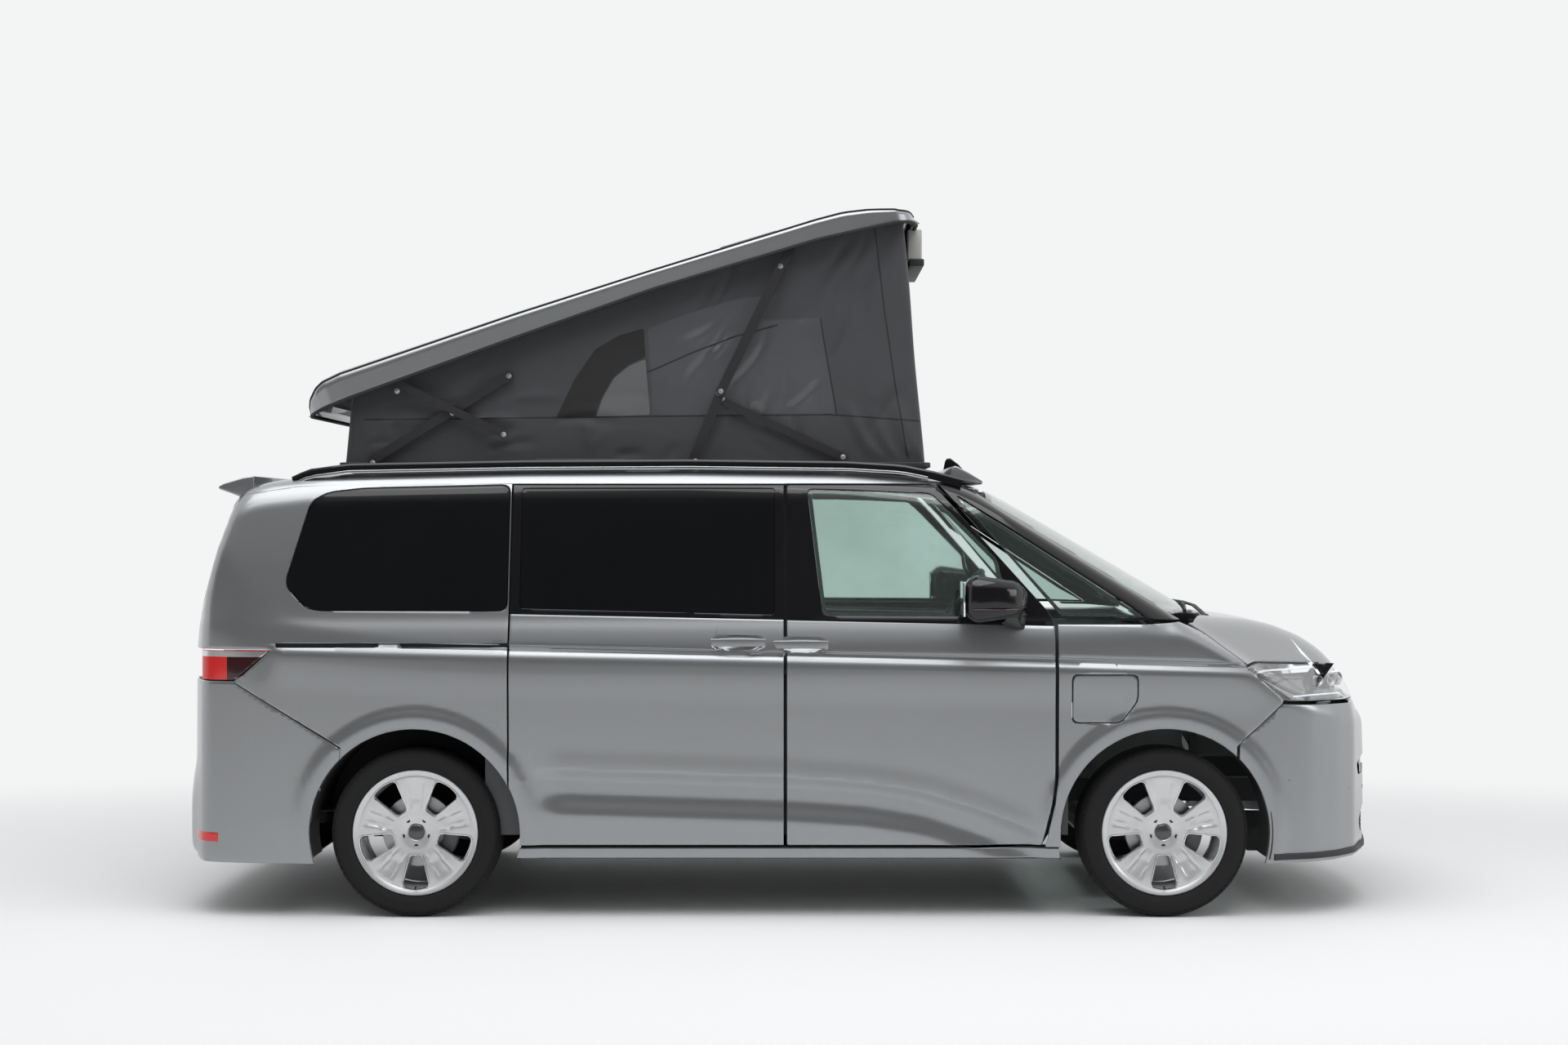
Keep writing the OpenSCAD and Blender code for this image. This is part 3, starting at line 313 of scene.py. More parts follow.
def tail_skin(u, v):
    """u is the way around the tail from its middle, v the height."""
    s, sign = np.abs(u), np.where(u < 0, -1.0, 1.0)
    x, y = np.interp(s, tail_s, tail_x_track), np.interp(s, tail_s, tail_y)
    nx = -(np.interp(s + 6, tail_s, tail_y) - np.interp(s - 6, tail_s, tail_y))
    ny = np.interp(s + 6, tail_s, tail_x_track) - np.interp(s - 6, tail_s, tail_x_track)
    n = np.hypot(nx, ny) + 1e-9
    nx, ny = np.where(s < 6, -1.0, nx / n), np.where(s < 6, 0.0, ny / n)
    origin = np.stack([x + 160 * nx, sign * (y + 160 * ny), v], 1)
    hit = strike(origin, np.stack([-nx, -sign * ny, np.zeros(len(u))], 1), 800)
    r = np.hypot(hit[:, 0] - REAR_AXLE, hit[:, 2] - 358)
    flare = (11 * (1 - ease(486, 522, r)) - 3 * (1 - ease(438, 462, r))) * (1 - ease(-1880, -1700, hit[:, 0]))
    hit[:, 1] += sign * flare * ny
    return hit


def around_tail(x):
    return float(np.interp(x, tail_x_track, tail_s))


# ---------------------------------------------------------------- mesh helpers


def rounded(points, radius, steps=4):
    """A closed drawn outline with its corners rounded."""
    out = []
    n = len(points)
    for i, p in enumerate(points):
        p = Vector(p)
        a, b = Vector(points[i - 1]) - p, Vector(points[(i + 1) % n]) - p
        r = radius if not isinstance(radius, (list, tuple)) else radius[i]
        cut = min(r, a.length * 0.45, b.length * 0.45)
        if cut < 1:
            out.append(tuple(p))
            continue
        first, last = p + a.normalized() * cut, p + b.normalized() * cut
        for k in range(steps + 1):
            t = k / steps
            q = first * (1 - t) ** 2 + p * 2 * t * (1 - t) + last * t * t
            out.append(tuple(q))
    return out


def arc(cx, cz, r, a0, a1, steps):
    return [(cx + r * math.cos(math.radians(a0 + (a1 - a0) * i / steps)),
             cz + r * math.sin(math.radians(a0 + (a1 - a0) * i / steps))) for i in range(steps + 1)]


def circle(cx, cz, r, steps=40):
    return arc(cx, cz, r, 0, 360, steps)[:-1]


def inside(outline, p, q):
    """Which points lie in a drawn outline."""
    o = np.array(outline, float)
    within = np.zeros(len(p), bool)
    for (x0, y0), (x1, y1) in zip(o, np.roll(o, -1, axis=0)):
        crosses = (y0 > q) != (y1 > q)
        at = (x1 - x0) * (q - y0) / (y1 - y0 if y1 != y0 else 1e-12) + x0
        within ^= crosses & (p < at)
    return within


def scored(bm, p, q, a, b, clear=0.0):
    """Scores the faces near one drawn edge along it; a and b are the axes that it is drawn in."""
    p, q = Vector(p), Vector(q)
    run = q - p
    if run.length < 1e-6:
        return
    d = run.normalized()
    near = []
    for f in bm.faces:
        c = f.calc_center_bounds()
        w = Vector((c[a] - p.x, c[b] - p.y))
        along, off = w.dot(d), abs(w.x * d.y - w.y * d.x)
        if -clear < along < run.length + clear and off < clear:
            near.append(f)
    if not near:
        return
    at, no = [0.0] * 3, [0.0] * 3
    at[a], at[b], no[a], no[b] = p.x, p.y, -d.y, d.x
    geom = list({e for f in near for e in f.edges} | {v for f in near for v in f.verts}) + near
    bmesh.ops.bisect_plane(bm, geom=geom, dist=0.02, plane_co=at, plane_no=no)


def trim(bm, outline, keep, axes=(0, 1), step=30):
    """Cuts along a closed outline and keeps what is inside or outside of it."""
    a, b = axes
    for i, p in enumerate(outline):
        scored(bm, outline[i - 1], p, a, b, step * 1.6)
    faces = list(bm.faces)
    c = np.array([f.calc_center_median() for f in faces])
    within = inside(outline, c[:, a], c[:, b])
    gone = [f for f, w in zip(faces, within) if w != (keep == "in")]
    bmesh.ops.delete(bm, geom=gone, context="FACES")


def field(u, v, step_u, step_v):
    """A flat grid over two ranges."""
    bm = bmesh.new()
    nu = max(2, int(round((u[1] - u[0]) / step_u)))
    nv = max(2, int(round((v[1] - v[0]) / step_v)))
    bmesh.ops.create_grid(bm, x_segments=nu, y_segments=nv, size=0.5)
    for w in bm.verts:
        w.co = Vector((u[0] + (w.co.x + 0.5) * (u[1] - u[0]), v[0] + (w.co.y + 0.5) * (v[1] - v[0]), 0))
    return bm


def shoulder_field(u, v, step_u, step_v):
    """A flat grid whose rows follow the shoulder and meet its edges."""
    base = float(shoulder_line(0.0))
    fixed = [base - d for d in (0, 5, 12, 20, 24, 39, 54)]
    rows = sorted([r for r in np.arange(v[0] - 45, v[1] + 45,
        step_v) if min(abs(r - f) for f in fixed) > step_v * 0.45] + fixed)
    nu = max(2, int(round((u[1] - u[0]) / step_u)))
    bm = bmesh.new()
    bmesh.ops.create_grid(bm, x_segments=nu, y_segments=len(rows) - 1, size=0.5)
    for w in bm.verts:
        x = u[0] + (w.co.x + 0.5) * (u[1] - u[0])
        row = rows[int(round((w.co.y + 0.5) * (len(rows) - 1)))]
        near = 1 - min(1, abs(row - base) / 500)
        w.co = Vector((x, row + (float(shoulder_line(x)) - base) * near, 0))
    return bm


def lay_on(bm, skin, lift=0.0, wall=0.0):
    """Lays a flat mesh on a skin and gives it a wall; its outer rim is marked for rounding."""
    flat = np.array([v.co[:] for v in bm.verts])
    hit = skin(flat[:, 0], flat[:, 1])
    e = 2.0
    du = skin(flat[:, 0] + e, flat[:, 1]) - hit
    dv = skin(flat[:, 0], flat[:, 1] + e) - hit
    n = np.cross(du, dv)
    n /= np.linalg.norm(n, axis=1)[:, None] + 1e-12
    centre = np.stack([np.clip(hit[:, 0], -1900, 1500), np.zeros(len(hit)), np.full(len(hit), 900.0)], 1)
    flip = np.sign(np.sum(n * (hit - centre), axis=1))
    n *= np.where(np.median(flip) < 0, -1, 1)
    hit = hit + n * lift
    outer = list(bm.verts)
    for v, h in zip(outer, hit):
        v.co = h
    bmesh.ops.recalc_face_normals(bm, faces=bm.faces)
    f = max(bm.faces, key=lambda g: g.calc_area())
    i = min(range(len(outer)), key=lambda k: (outer[k].co - f.calc_center_median()).length)
    if f.normal.dot(Vector(n[i])) < 0:
        bmesh.ops.reverse_faces(bm, faces=bm.faces)
    if wall:
        place = {v: Vector(m) for v, m in zip(outer, n)}
        made = bmesh.ops.extrude_face_region(bm, geom=list(bm.faces), use_keep_orig=True)
        moved = [g for g in made["geom"] if isinstance(g, bmesh.types.BMVert)]
        index = {tuple(round(c, 4) for c in v.co): place[v] for v in outer}
        for v in moved:
            m = index.get(tuple(round(c, 4) for c in v.co), Vector((0, 0, 0)))
            v.co = v.co - m * wall
        bmesh.ops.recalc_face_normals(bm, faces=bm.faces)
    return bm


def ease_rim(bm, radius, angle=50, segments=2):
    """Rounds the sharp edges."""
    sharp = [e for e in bm.edges if len(e.link_faces) == 2 and e.calc_face_angle(0) > math.radians(angle)]
    if sharp:
        bmesh.ops.bevel(bm, geom=sharp, offset=radius, offset_type="OFFSET", segments=segments, profile=0.5,
                        affect="EDGES", clamp_overlap=False, material=-1)


def mirrored(bm):
    """The same piece on the left."""
    other = bm.copy()
    bmesh.ops.scale(other, vec=(1, -1, 1), verts=other.verts)
    bmesh.ops.reverse_faces(other, faces=other.faces)
    return other


def finish(bm, name, look, body="body", sharp=38, extra=()):
    """Makes the object of a finished mesh, in metres, and hangs it on its body."""
    bmesh.ops.remove_doubles(bm, verts=bm.verts, dist=0.01)
    bmesh.ops.scale(bm, vec=(MILLIMETRE,) * 3, verts=bm.verts)
    for f in bm.faces:
        f.smooth = True
    for e in bm.edges:
        e.smooth = len(e.link_faces) != 2 or e.calc_face_angle(0) < math.radians(sharp)
    mesh = bpy.data.meshes.new(name)
    bm.to_mesh(mesh)
    bm.free()
    obj = bpy.data.objects.new(name, mesh)
    bpy.context.scene.collection.objects.link(obj)
    for m in (look, *extra):
        mesh.materials.append(LOOKS[m])
    if body:
        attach(obj, body)
    return obj


def joined(parts):
    """One mesh out of several; their faces keep their material numbers."""
    whole = bmesh.new()
    for bm in parts:
        mesh = bpy.data.meshes.new("part")
        bm.to_mesh(mesh)
        bm.free()
        whole.from_mesh(mesh)
        bpy.data.meshes.remove(mesh)
    return whole


def paint_faces(bm, number):
    for f in bm.faces:
        f.material_index = number
    return bm


def brick(low, high, radius=3.0, segments=2):
    """A block between two corners with eased edges."""
    bm = bmesh.new()
    bmesh.ops.create_cube(bm, size=1)
    lo, hi = Vector(low), Vector(high)
    for v in bm.verts:
        v.co = Vector([(lo[i] + hi[i]) / 2 + v.co[i] * (hi[i] - lo[i]) for i in range(3)])
    if radius:
        bmesh.ops.bevel(bm, geom=list(bm.edges), offset=radius, offset_type="OFFSET", segments=segments,
            profile=0.5, affect="EDGES", clamp_overlap=True, material=-1)
    return bm


def rod(start, end, radius, sides=20, radius_end=None, ease=0.0):
    """A round rod between two places."""
    a, b = Vector(start), Vector(end)
    bm = bmesh.new()
    bmesh.ops.create_cone(bm, cap_ends=True, segments=sides, radius1=radius,
                          radius2=radius if radius_end is None else radius_end, depth=(b - a).length)
    if ease:
        rims = [e for e in bm.edges if abs(e.verts[0].co.z - e.verts[1].co.z) < 1e-6]
        bmesh.ops.bevel(bm, geom=rims, offset=ease, offset_type="OFFSET", segments=2, profile=0.5,
                        affect="EDGES", clamp_overlap=True, material=-1)
    q = (b - a).to_track_quat("Z", "Y").to_matrix()
    bmesh.ops.transform(bm, matrix=Matrix.Translation((a + b) / 2) @ q.to_4x4(), verts=bm.verts)
    return bm


def turned(profile, steps, axis_place, axis=(0, 1, 0), closed=True):
    """A turned piece: profile is (radius, place along the axis)."""
    bm = bmesh.new()
    vs = [bm.verts.new((r, t, 0)) for r, t in profile]
    pairs = list(zip(vs, vs[1:] + vs[:1])) if closed else list(zip(vs, vs[1:]))
    es = [bm.edges.new(p) for p in pairs]
    bmesh.ops.spin(bm, geom=vs + es, cent=(0, 0, 0), axis=(0, 1, 0), angle=2 * math.pi, steps=steps,
        use_merge=True)
    bmesh.ops.remove_doubles(bm, verts=bm.verts, dist=0.005)
    bmesh.ops.recalc_face_normals(bm, faces=bm.faces)
    q = Vector((0, 1, 0)).rotation_difference(Vector(axis)).to_matrix().to_4x4()
    bmesh.ops.transform(bm, matrix=Matrix.Translation(Vector(axis_place)) @ q, verts=bm.verts)
    return bm


def slab(outline, low, high, axes="xz", radius=0.0, segments=2):
    """A drawn outline given depth: axes names the two it is drawn in."""
    bm = bmesh.new()
    order = {"xz": (0, 2, 1), "xy": (0, 1, 2), "yz": (1, 2, 0)}[axes]
    vs = []
    for p, q in outline:
        c = [0.0] * 3
        c[order[0]], c[order[1]], c[order[2]] = p, q, low
        vs.append(bm.verts.new(c))
    f = bm.faces.new(vs)
    made = bmesh.ops.extrude_face_region(bm, geom=[f], use_keep_orig=True)
    shift = [0.0] * 3
    shift[order[2]] = high - low
    bmesh.ops.translate(bm, vec=shift, verts=[g for g in made["geom"] if isinstance(g, bmesh.types.BMVert)])
    bmesh.ops.recalc_face_normals(bm, faces=bm.faces)
    if radius:
        rims = [e for e in bm.edges if e.calc_face_angle(0) > math.radians(30)]
        bmesh.ops.bevel(bm, geom=rims, offset=radius, offset_type="OFFSET", segments=segments, profile=0.5,
                        affect="EDGES", clamp_overlap=True, material=-1)
    return bm


def swept(path, profile, up=(0, 1, 0), caps=True):
    """A profile carried along a path by extrusion."""
    bm = bmesh.new()
    path = [Vector(p) for p in path]
    up = Vector(up)
    rings = []
    for i, p in enumerate(path):
        d = (path[min(i + 1, len(path) - 1)] - path[max(i - 1, 0)]).normalized()
        side = d.cross(up).normalized()
        top = side.cross(d)
        rings.append([p + side * a + top * b for a, b in profile])
    first = [bm.verts.new(c) for c in rings[0]]
    n = len(first)
    edges = [bm.edges.new((first[i], first[(i + 1) % n])) for i in range(n)]
    if caps:
        bm.faces.new(first)
    verts = first
    for ring in rings[1:]:
        made = bmesh.ops.extrude_edge_only(bm, edges=edges)
        new = [g for g in made["geom"] if isinstance(g, bmesh.types.BMVert)]
        edges = [g for g in made["geom"] if isinstance(g, bmesh.types.BMEdge)]
        taken = {}
        for v in verts:
            w = min((q for q in new if q not in taken.values()), key=lambda q: (q.co - v.co).length)
            taken[v] = w
        for v, c in zip(verts, ring):
            taken[v].co = c
        verts = [taken[v] for v in verts]
        edges = [e for e in edges if e.verts[0] in verts and e.verts[1] in verts]
    if caps:
        bm.faces.new(verts)
    bmesh.ops.recalc_face_normals(bm, faces=bm.faces)
    return bm


def ring_profile(w, h, r, steps=3):
    """A rounded rectangle about the origin."""
    return rounded([(-w / 2, -h / 2), (w / 2, -h / 2), (w / 2, h / 2), (-w / 2, h / 2)], r, steps)


LOOKS = {}


# ---------------------------------------------------------------- finishes


def shader_group(name, inputs, outputs):
    """An empty node group with named inputs and outputs: (kind, name, default)."""
    g = bpy.data.node_groups.new(name, "ShaderNodeTree")
    for kind, label, default in inputs:
        s = g.interface.new_socket(name=label, in_out="INPUT", socket_type="NodeSocket" + kind)
        if default is not None:
            s.default_value = default
    for kind, label in outputs:
        g.interface.new_socket(name=label, in_out="OUTPUT", socket_type="NodeSocket" + kind)
    return g, g.nodes.new("NodeGroupInput"), g.nodes.new("NodeGroupOutput")


def node(tree, kind, settings=(), **values):
    n = tree.nodes.new("ShaderNode" + kind)
    for k, v in dict(settings).items():
        setattr(n, k, v)
    for k, v in values.items():
        n.inputs[k.replace("_", " ")].default_value = v
    return n


def math_node(tree, operation, a, b=0.0, c=0.0):
    n = tree.nodes.new("ShaderNodeMath")
    n.operation = operation
    for i, v in enumerate((a, b, c)):
        if isinstance(v, (int, float)):
            n.inputs[i].default_value = v
        else:
            tree.links.new(v, n.inputs[i])
    return n.outputs[0]


def fleck_group():
    """Metal flakes in a paint: a little change of shade and of tilt."""
    g, i, o = shader_group("Paint Fleck", [("Vector", "Place", None), ("Float", "Size", 900.0),
        ("Float", "Amount", 0.08)], [("Float", "Shade"), ("Vector", "Normal")])
    v = node(g, "TexVoronoi", [("feature", "F1")])
    g.links.new(i.outputs["Place"], v.inputs["Vector"])
    g.links.new(i.outputs["Size"], v.inputs["Scale"])
    broad = node(g, "TexNoise", Scale=2.2, Detail=2.0)
    g.links.new(i.outputs["Place"], broad.inputs["Vector"])
    sep = node(g, "SeparateColor")
    g.links.new(v.outputs["Color"], sep.inputs[0])
    a = math_node(g, "SUBTRACT", sep.outputs[0], 0.5)
    b = math_node(g, "SUBTRACT", broad.outputs["Fac"], 0.5)
    shade = math_node(g, "MULTIPLY_ADD", a, i.outputs["Amount"], math_node(g, "MULTIPLY", b, 0.06))
    g.links.new(math_node(g, "ADD", shade, 1.0), o.inputs["Shade"])
    bump = node(g, "Bump", Strength=0.025, Distance=0.0004)
    g.links.new(sep.outputs[1], bump.inputs["Height"])
    g.links.new(bump.outputs[0], o.inputs["Normal"])
    return g


def grain_group():
    """Moulded grain with a broad change of shade."""
    g, i, o = shader_group("Moulded Grain", [("Vector", "Place", None), ("Float", "Size", 700.0),
        ("Float", "Depth", 0.3)], [("Float", "Shade"), ("Float", "Gloss"), ("Vector", "Normal")])
    n = node(g, "TexNoise", Detail=3.0, Roughness=0.6)
    v = node(g, "TexVoronoi", [("feature", "DISTANCE_TO_EDGE")])
    for t in (n, v):
        g.links.new(i.outputs["Place"], t.inputs["Vector"])
        g.links.new(i.outputs["Size"], t.inputs["Scale"])
    broad = node(g, "TexNoise", Scale=3.0, Detail=3.0)
    g.links.new(i.outputs["Place"], broad.inputs["Vector"])
    h = math_node(g, "MULTIPLY_ADD", v.outputs["Distance"], 0.5, n.outputs["Fac"])
    bump = node(g, "Bump", Distance=0.0005)
    g.links.new(i.outputs["Depth"], bump.inputs["Strength"])
    g.links.new(h, bump.inputs["Height"])
    g.links.new(bump.outputs[0], o.inputs["Normal"])
    g.links.new(math_node(g, "MULTIPLY_ADD", broad.outputs["Fac"], 0.3, 0.85), o.inputs["Shade"])
    g.links.new(math_node(g, "MULTIPLY_ADD", n.outputs["Fac"], 0.12,
        math_node(g, "MULTIPLY", broad.outputs["Fac"], 0.1)), o.inputs["Gloss"])
    return g


def weave_group():
    """A plain weave of two threads over the piece's own pattern map."""
    g, i, o = shader_group("Cloth Weave", [("Vector", "Place", None), ("Float", "Threads", 900.0),
        ("Float", "Depth", 0.4)], [("Float", "Shade"), ("Vector", "Normal")])
    sep = node(g, "SeparateXYZ")
    g.links.new(i.outputs["Place"], sep.inputs[0])
    u = math_node(g, "SINE", math_node(g, "MULTIPLY", sep.outputs[0], i.outputs["Threads"]))
    v = math_node(g, "SINE", math_node(g, "MULTIPLY", sep.outputs[1], i.outputs["Threads"]))
    cross = math_node(g, "MULTIPLY", u, v)
    n = node(g, "TexNoise", Scale=260.0, Detail=2.0)
    broad = node(g, "TexNoise", Scale=4.0, Detail=4.0, Roughness=0.6)
    for t in (n, broad):
        g.links.new(i.outputs["Place"], t.inputs["Vector"])
    h = math_node(g, "ADD", cross, n.outputs["Fac"])
    bump = node(g, "Bump", Distance=0.0006)
    g.links.new(i.outputs["Depth"], bump.inputs["Strength"])
    g.links.new(h, bump.inputs["Height"])
    g.links.new(bump.outputs[0], o.inputs["Normal"])
    tone = math_node(g, "MULTIPLY_ADD", cross, 0.12,
        math_node(g, "MULTIPLY_ADD", broad.outputs["Fac"], 0.35, 0.8))
    g.links.new(tone, o.inputs["Shade"])
    return g


def look(name, color, roughness, metallic=0.0, group=None, values=(), coords="Object", coat=0.0,
        transmission=0.0, ior=1.5, sheen=0.0, emission=0.0, normal=True):
    """One finish: a surface shader, its colour varied by a shared pattern group."""
    mat = bpy.data.materials.new(name)
    mat.use_nodes = True
    t = mat.node_tree
    s = t.nodes["Principled BSDF"]
    s.inputs["Base Color"].default_value = (*color, 1)
    s.inputs["Roughness"].default_value = roughness
    s.inputs["Metallic"].default_value = metallic
    s.inputs["IOR"].default_value = ior
    s.inputs["Coat Weight"].default_value = coat
    s.inputs["Coat Roughness"].default_value = 0.03
    s.inputs["Transmission Weight"].default_value = transmission
    s.inputs["Sheen Weight"].default_value = sheen
    if emission:
        s.inputs["Emission Color"].default_value = (*color, 1)
        s.inputs["Emission Strength"].default_value = emission
    mat.diffuse_color = (*color, 1)
    if group:
        c = node(t, "TexCoord")
        n = t.nodes.new("ShaderNodeGroup")
        n.node_tree = GROUPS[group]
        t.links.new(c.outputs["UV" if coords == "UV" else "Object"], n.inputs["Place"])
        for k, v in dict(values).items():
            n.inputs[k].default_value = v
        mix = node(t, "Mix", [("data_type", "RGBA"), ("blend_type", "MULTIPLY")])
        mix.inputs["Factor"].default_value = 1.0
        mix.inputs[6].default_value = (*color, 1)
        t.links.new(n.outputs["Shade"], mix.inputs[7])
        t.links.new(mix.outputs[2], s.inputs["Base Color"])
        if normal:
            t.links.new(n.outputs["Normal"], s.inputs["Normal"])
        if "Gloss" in n.outputs:
            t.links.new(math_node(t, "ADD", n.outputs["Gloss"], roughness - 0.1), s.inputs["Roughness"])
    LOOKS[name] = mat
    return mat


GROUPS = {}


def make_looks(p):
    """All finishes; p holds the colours that a user may change."""
    GROUPS.update(fleck=fleck_group(), grain=grain_group(), weave=weave_group())
    look("silver_paint", tuple(p.paint), 0.3, 0.75, "fleck", coat=0.6)
    look("seam_black", (0.012, 0.012, 0.013), 0.7, group="grain", values={"Depth": 0.1})
    look("gloss_black", (0.006, 0.006, 0.007), 0.08, group="grain", values={"Depth": 0.0}, normal=False)
    look("moulded_black", (0.022, 0.022, 0.024), 0.55, group="grain", values={"Depth": 0.5})
    look("moulded_grey", (0.075, 0.077, 0.082), 0.6, group="grain", values={"Depth": 0.4})
    look("seal_rubber", (0.015, 0.015, 0.016), 0.75, group="grain", values={"Depth": 0.3})
    look("privacy_glass", tuple(p.privacy), 0.02, ior=1.48, transmission=0.12, group="grain",
        values={"Depth": 0.0}, normal=False)
    look("clear_glass", (0.62, 0.74, 0.70), 0.01, ior=1.5, transmission=1.0, group="grain",
        values={"Depth": 0.0}, normal=False)
    look("lens_clear", (0.92, 0.94, 0.95), 0.02, ior=1.49, transmission=1.0, group="grain",
        values={"Depth": 0.0}, normal=False)
    # lens_red glows slightly in its own colour: a lamp glow on the tail lamps, and a painted glow on the rear
    # reflectors, which are not lamps
    look("lens_red", (0.55, 0.02, 0.02), 0.08, ior=1.49, emission=0.12, group="grain",
        values={"Depth": 0.0, "Size": 120.0}, normal=False, coat=0.5)
    look("lens_smoke", (0.05, 0.01, 0.012), 0.05, ior=1.49, transmission=0.3, group="grain",
        values={"Depth": 0.0}, normal=False, coat=0.5)
    look("lamp_chrome", (0.82, 0.83, 0.85), 0.12, 1.0, "grain", {"Depth": 0.02})
    look("bright_trim", (0.72, 0.73, 0.74), 0.22, 1.0, "grain", {"Depth": 0.03})
    look("mirror_glass", (0.85, 0.87, 0.9), 0.01, 1.0, "grain", {"Depth": 0.0}, normal=False)
    look("led_white", (0.9, 0.92, 0.95), 0.3, group="grain", values={"Depth": 0.05}, emission=0.25)
    look("tyre_rubber", (0.012, 0.012, 0.0125), 0.8, ior=1.35, group="grain",
        values={"Depth": 0.5, "Size": 420.0})
    look("wheel_face", (0.62, 0.63, 0.64), 0.36, 0.6, "fleck", {"Amount": 0.1}, coat=0.8)
    look("wheel_dark", (0.085, 0.087, 0.09), 0.35, 0.7, "fleck", {"Amount": 0.1}, coat=0.4)
    look("brake_steel", (0.42, 0.42, 0.43), 0.35, 1.0, "grain", {"Depth": 0.3})
    look("cast_metal", (0.16, 0.16, 0.165), 0.6, 0.7, "grain", {"Depth": 0.8, "Size": 260.0})
    look("underbody", (0.03, 0.03, 0.032), 0.8, group="grain", values={"Depth": 0.8, "Size": 200.0})
    look("strut_black", (0.018, 0.018, 0.02), 0.42, group="grain", values={"Depth": 0.3, "Size": 900.0},
        coat=0.15)
    look("plated_steel", (0.62, 0.62, 0.63), 0.3, 1.0, "grain", {"Depth": 0.1})
    look("tent_cloth", tuple(p.tent), 0.85, group="weave", values={"Threads": 1400.0, "Depth": 0.35},
        coords="UV", sheen=0.25)
    look("tent_mesh", (0.12, 0.122, 0.126), 0.8, group="weave", values={"Threads": 2600.0, "Depth": 0.6},
        coords="UV")
    look("tent_tape", (0.009, 0.009, 0.010), 0.7, group="weave", values={"Threads": 3000.0, "Depth": 0.3},
        coords="UV")
    look("tent_film", (0.075, 0.077, 0.083), 0.25, group="weave", values={"Threads": 2600.0, "Depth": 0.1},
        coords="UV", coat=0.3)
    look("seat_cloth", (0.055, 0.056, 0.062), 0.85, group="weave", values={"Threads": 2200.0, "Depth": 0.5},
        sheen=0.3)
    look("seat_bolster", (0.028, 0.028, 0.031), 0.6, group="grain", values={"Depth": 0.6, "Size": 500.0},
        sheen=0.1)
    look("cabin_light", (0.42, 0.415, 0.40), 0.8, group="grain", values={"Depth": 0.3, "Size": 600.0})
    look("cabin_dark", (0.035, 0.035, 0.038), 0.6, group="grain", values={"Depth": 0.6})
    look("laminate", (0.30, 0.285, 0.26), 0.45, group="grain", values={"Depth": 0.15, "Size": 90.0})
    look("worktop", (0.11, 0.11, 0.115), 0.3, group="grain", values={"Depth": 0.1, "Size": 300.0})
    look("floor_mat", (0.045, 0.043, 0.041), 0.9, group="grain", values={"Depth": 0.9, "Size": 350.0})
    look("screen_black", (0.01, 0.01, 0.012), 0.12, group="grain", values={"Depth": 0.0}, normal=False,
        coat=1.0)
    look("plate_blank", (0.55, 0.55, 0.54), 0.5, group="grain", values={"Depth": 0.1})
    look("roof_liner", (0.30, 0.30, 0.30), 0.75, group="grain", values={"Depth": 0.3})


CAD_LOOKS = {"floor_pan": "underbody", "front_subframe": "underbody", "rear_axle": "underbody",
    "engine_block": "cast_metal", "dashboard": "cabin_dark", "kitchen_unit": "laminate",
    "steering_wheel": "cabin_dark", "knuckle_right": "cast_metal", "knuckle_left": "cast_metal",
    "strut_lower_arms": "strut_black", "strut_upper_arms": "strut_black", "strut_braces": "strut_black",
    "scissor_long_arms": "strut_black", "scissor_short_arms": "strut_black", "headlamps": "lens_clear",
    "tail_lamps": "lens_red", "roof_rails": "gloss_black", "front_seats": "seat_cloth",
    "rear_bench": "seat_cloth", }


def dress_frame():
    """Gives every carried-over CAD node its finish."""
    for name, obj in frame["nodes"].items():
        finish_name = CAD_LOOKS.get(name)
        if not finish_name:
            if "glass" in name:
                finish_name = "privacy_glass" if name in ("side_glass", "tailgate_glass") else "clear_glass"
            elif name.startswith("tyre"):
                finish_name = "tyre_rubber"
            elif name.startswith("wheel"):
                finish_name = "wheel_face"
            elif name == "windscreen":
                finish_name = "clear_glass"
            elif name == "tent":
                finish_name = "tent_tape"
            elif name.startswith("mirror"):
                finish_name = "gloss_black"
            else:
                finish_name = "silver_paint"
        if not obj.data.materials:
            obj.data.materials.append(LOOKS[finish_name])
        for i in range(len(obj.data.materials)):
            obj.data.materials[i] = LOOKS[finish_name]


# ---------------------------------------------------------------- painted panels

BELT = 1238.0
DOOR_REAR, DOOR_FRONT, PILLAR = -1149.5, 1134.5, 5.5
WINDOW_TOP = 1812.0


def belt(x):
    return BELT - 0.0225 * x


def grow(outline, d):
    """A convex-ish outline made larger by d about its middle, side by side."""
    n = len(outline)
    area = sum(outline[i - 1][0] * outline[i][1] - outline[i][0] * outline[i - 1][1] for i in range(n))
    out = []
    for i in range(n):
        p, a, b = Vector(outline[i]), Vector(outline[i - 1]), Vector(outline[(i + 1) % n])
        n1, n2 = (p - a).normalized(), (b - p).normalized()
        m1, m2 = Vector((n1.y, -n1.x)), Vector((n2.y, -n2.x))
        m = (m1 + m2)
        m = m / max(0.4, m.dot(m1)) if m.length > 1e-6 else m1
        out.append(tuple(p + m * (d if area > 0 else -d)))
    return out


FRONT_WINDOW = [(160.5, 1258), (97.5, 1790), (622.5, 1772), (897.5, 1492), (905.5, 1430), (1024.5, 1253)]
SLIDE_WINDOW = [(-1104.5, 1288), (-1104.5, 1792), (-39.5, 1792), (-39.5, 1262)]
QUARTER_GLASS = [(-1157, 1278), (-1157, 1806), (-1780, 1792), (-1926, 1774), (-1994, 1735), (-2082, 1412),
                 (-2078, 1376), (-2000, 1292), (-1940, 1280)]
TRIANGLE = [(729.5, 1762), (1158.5, 1255), (1504.5, 1255), (1384.5, 1333), (762.5, 1740)]
DOOR_TOP_FRONT = (640.0, 1812.0)


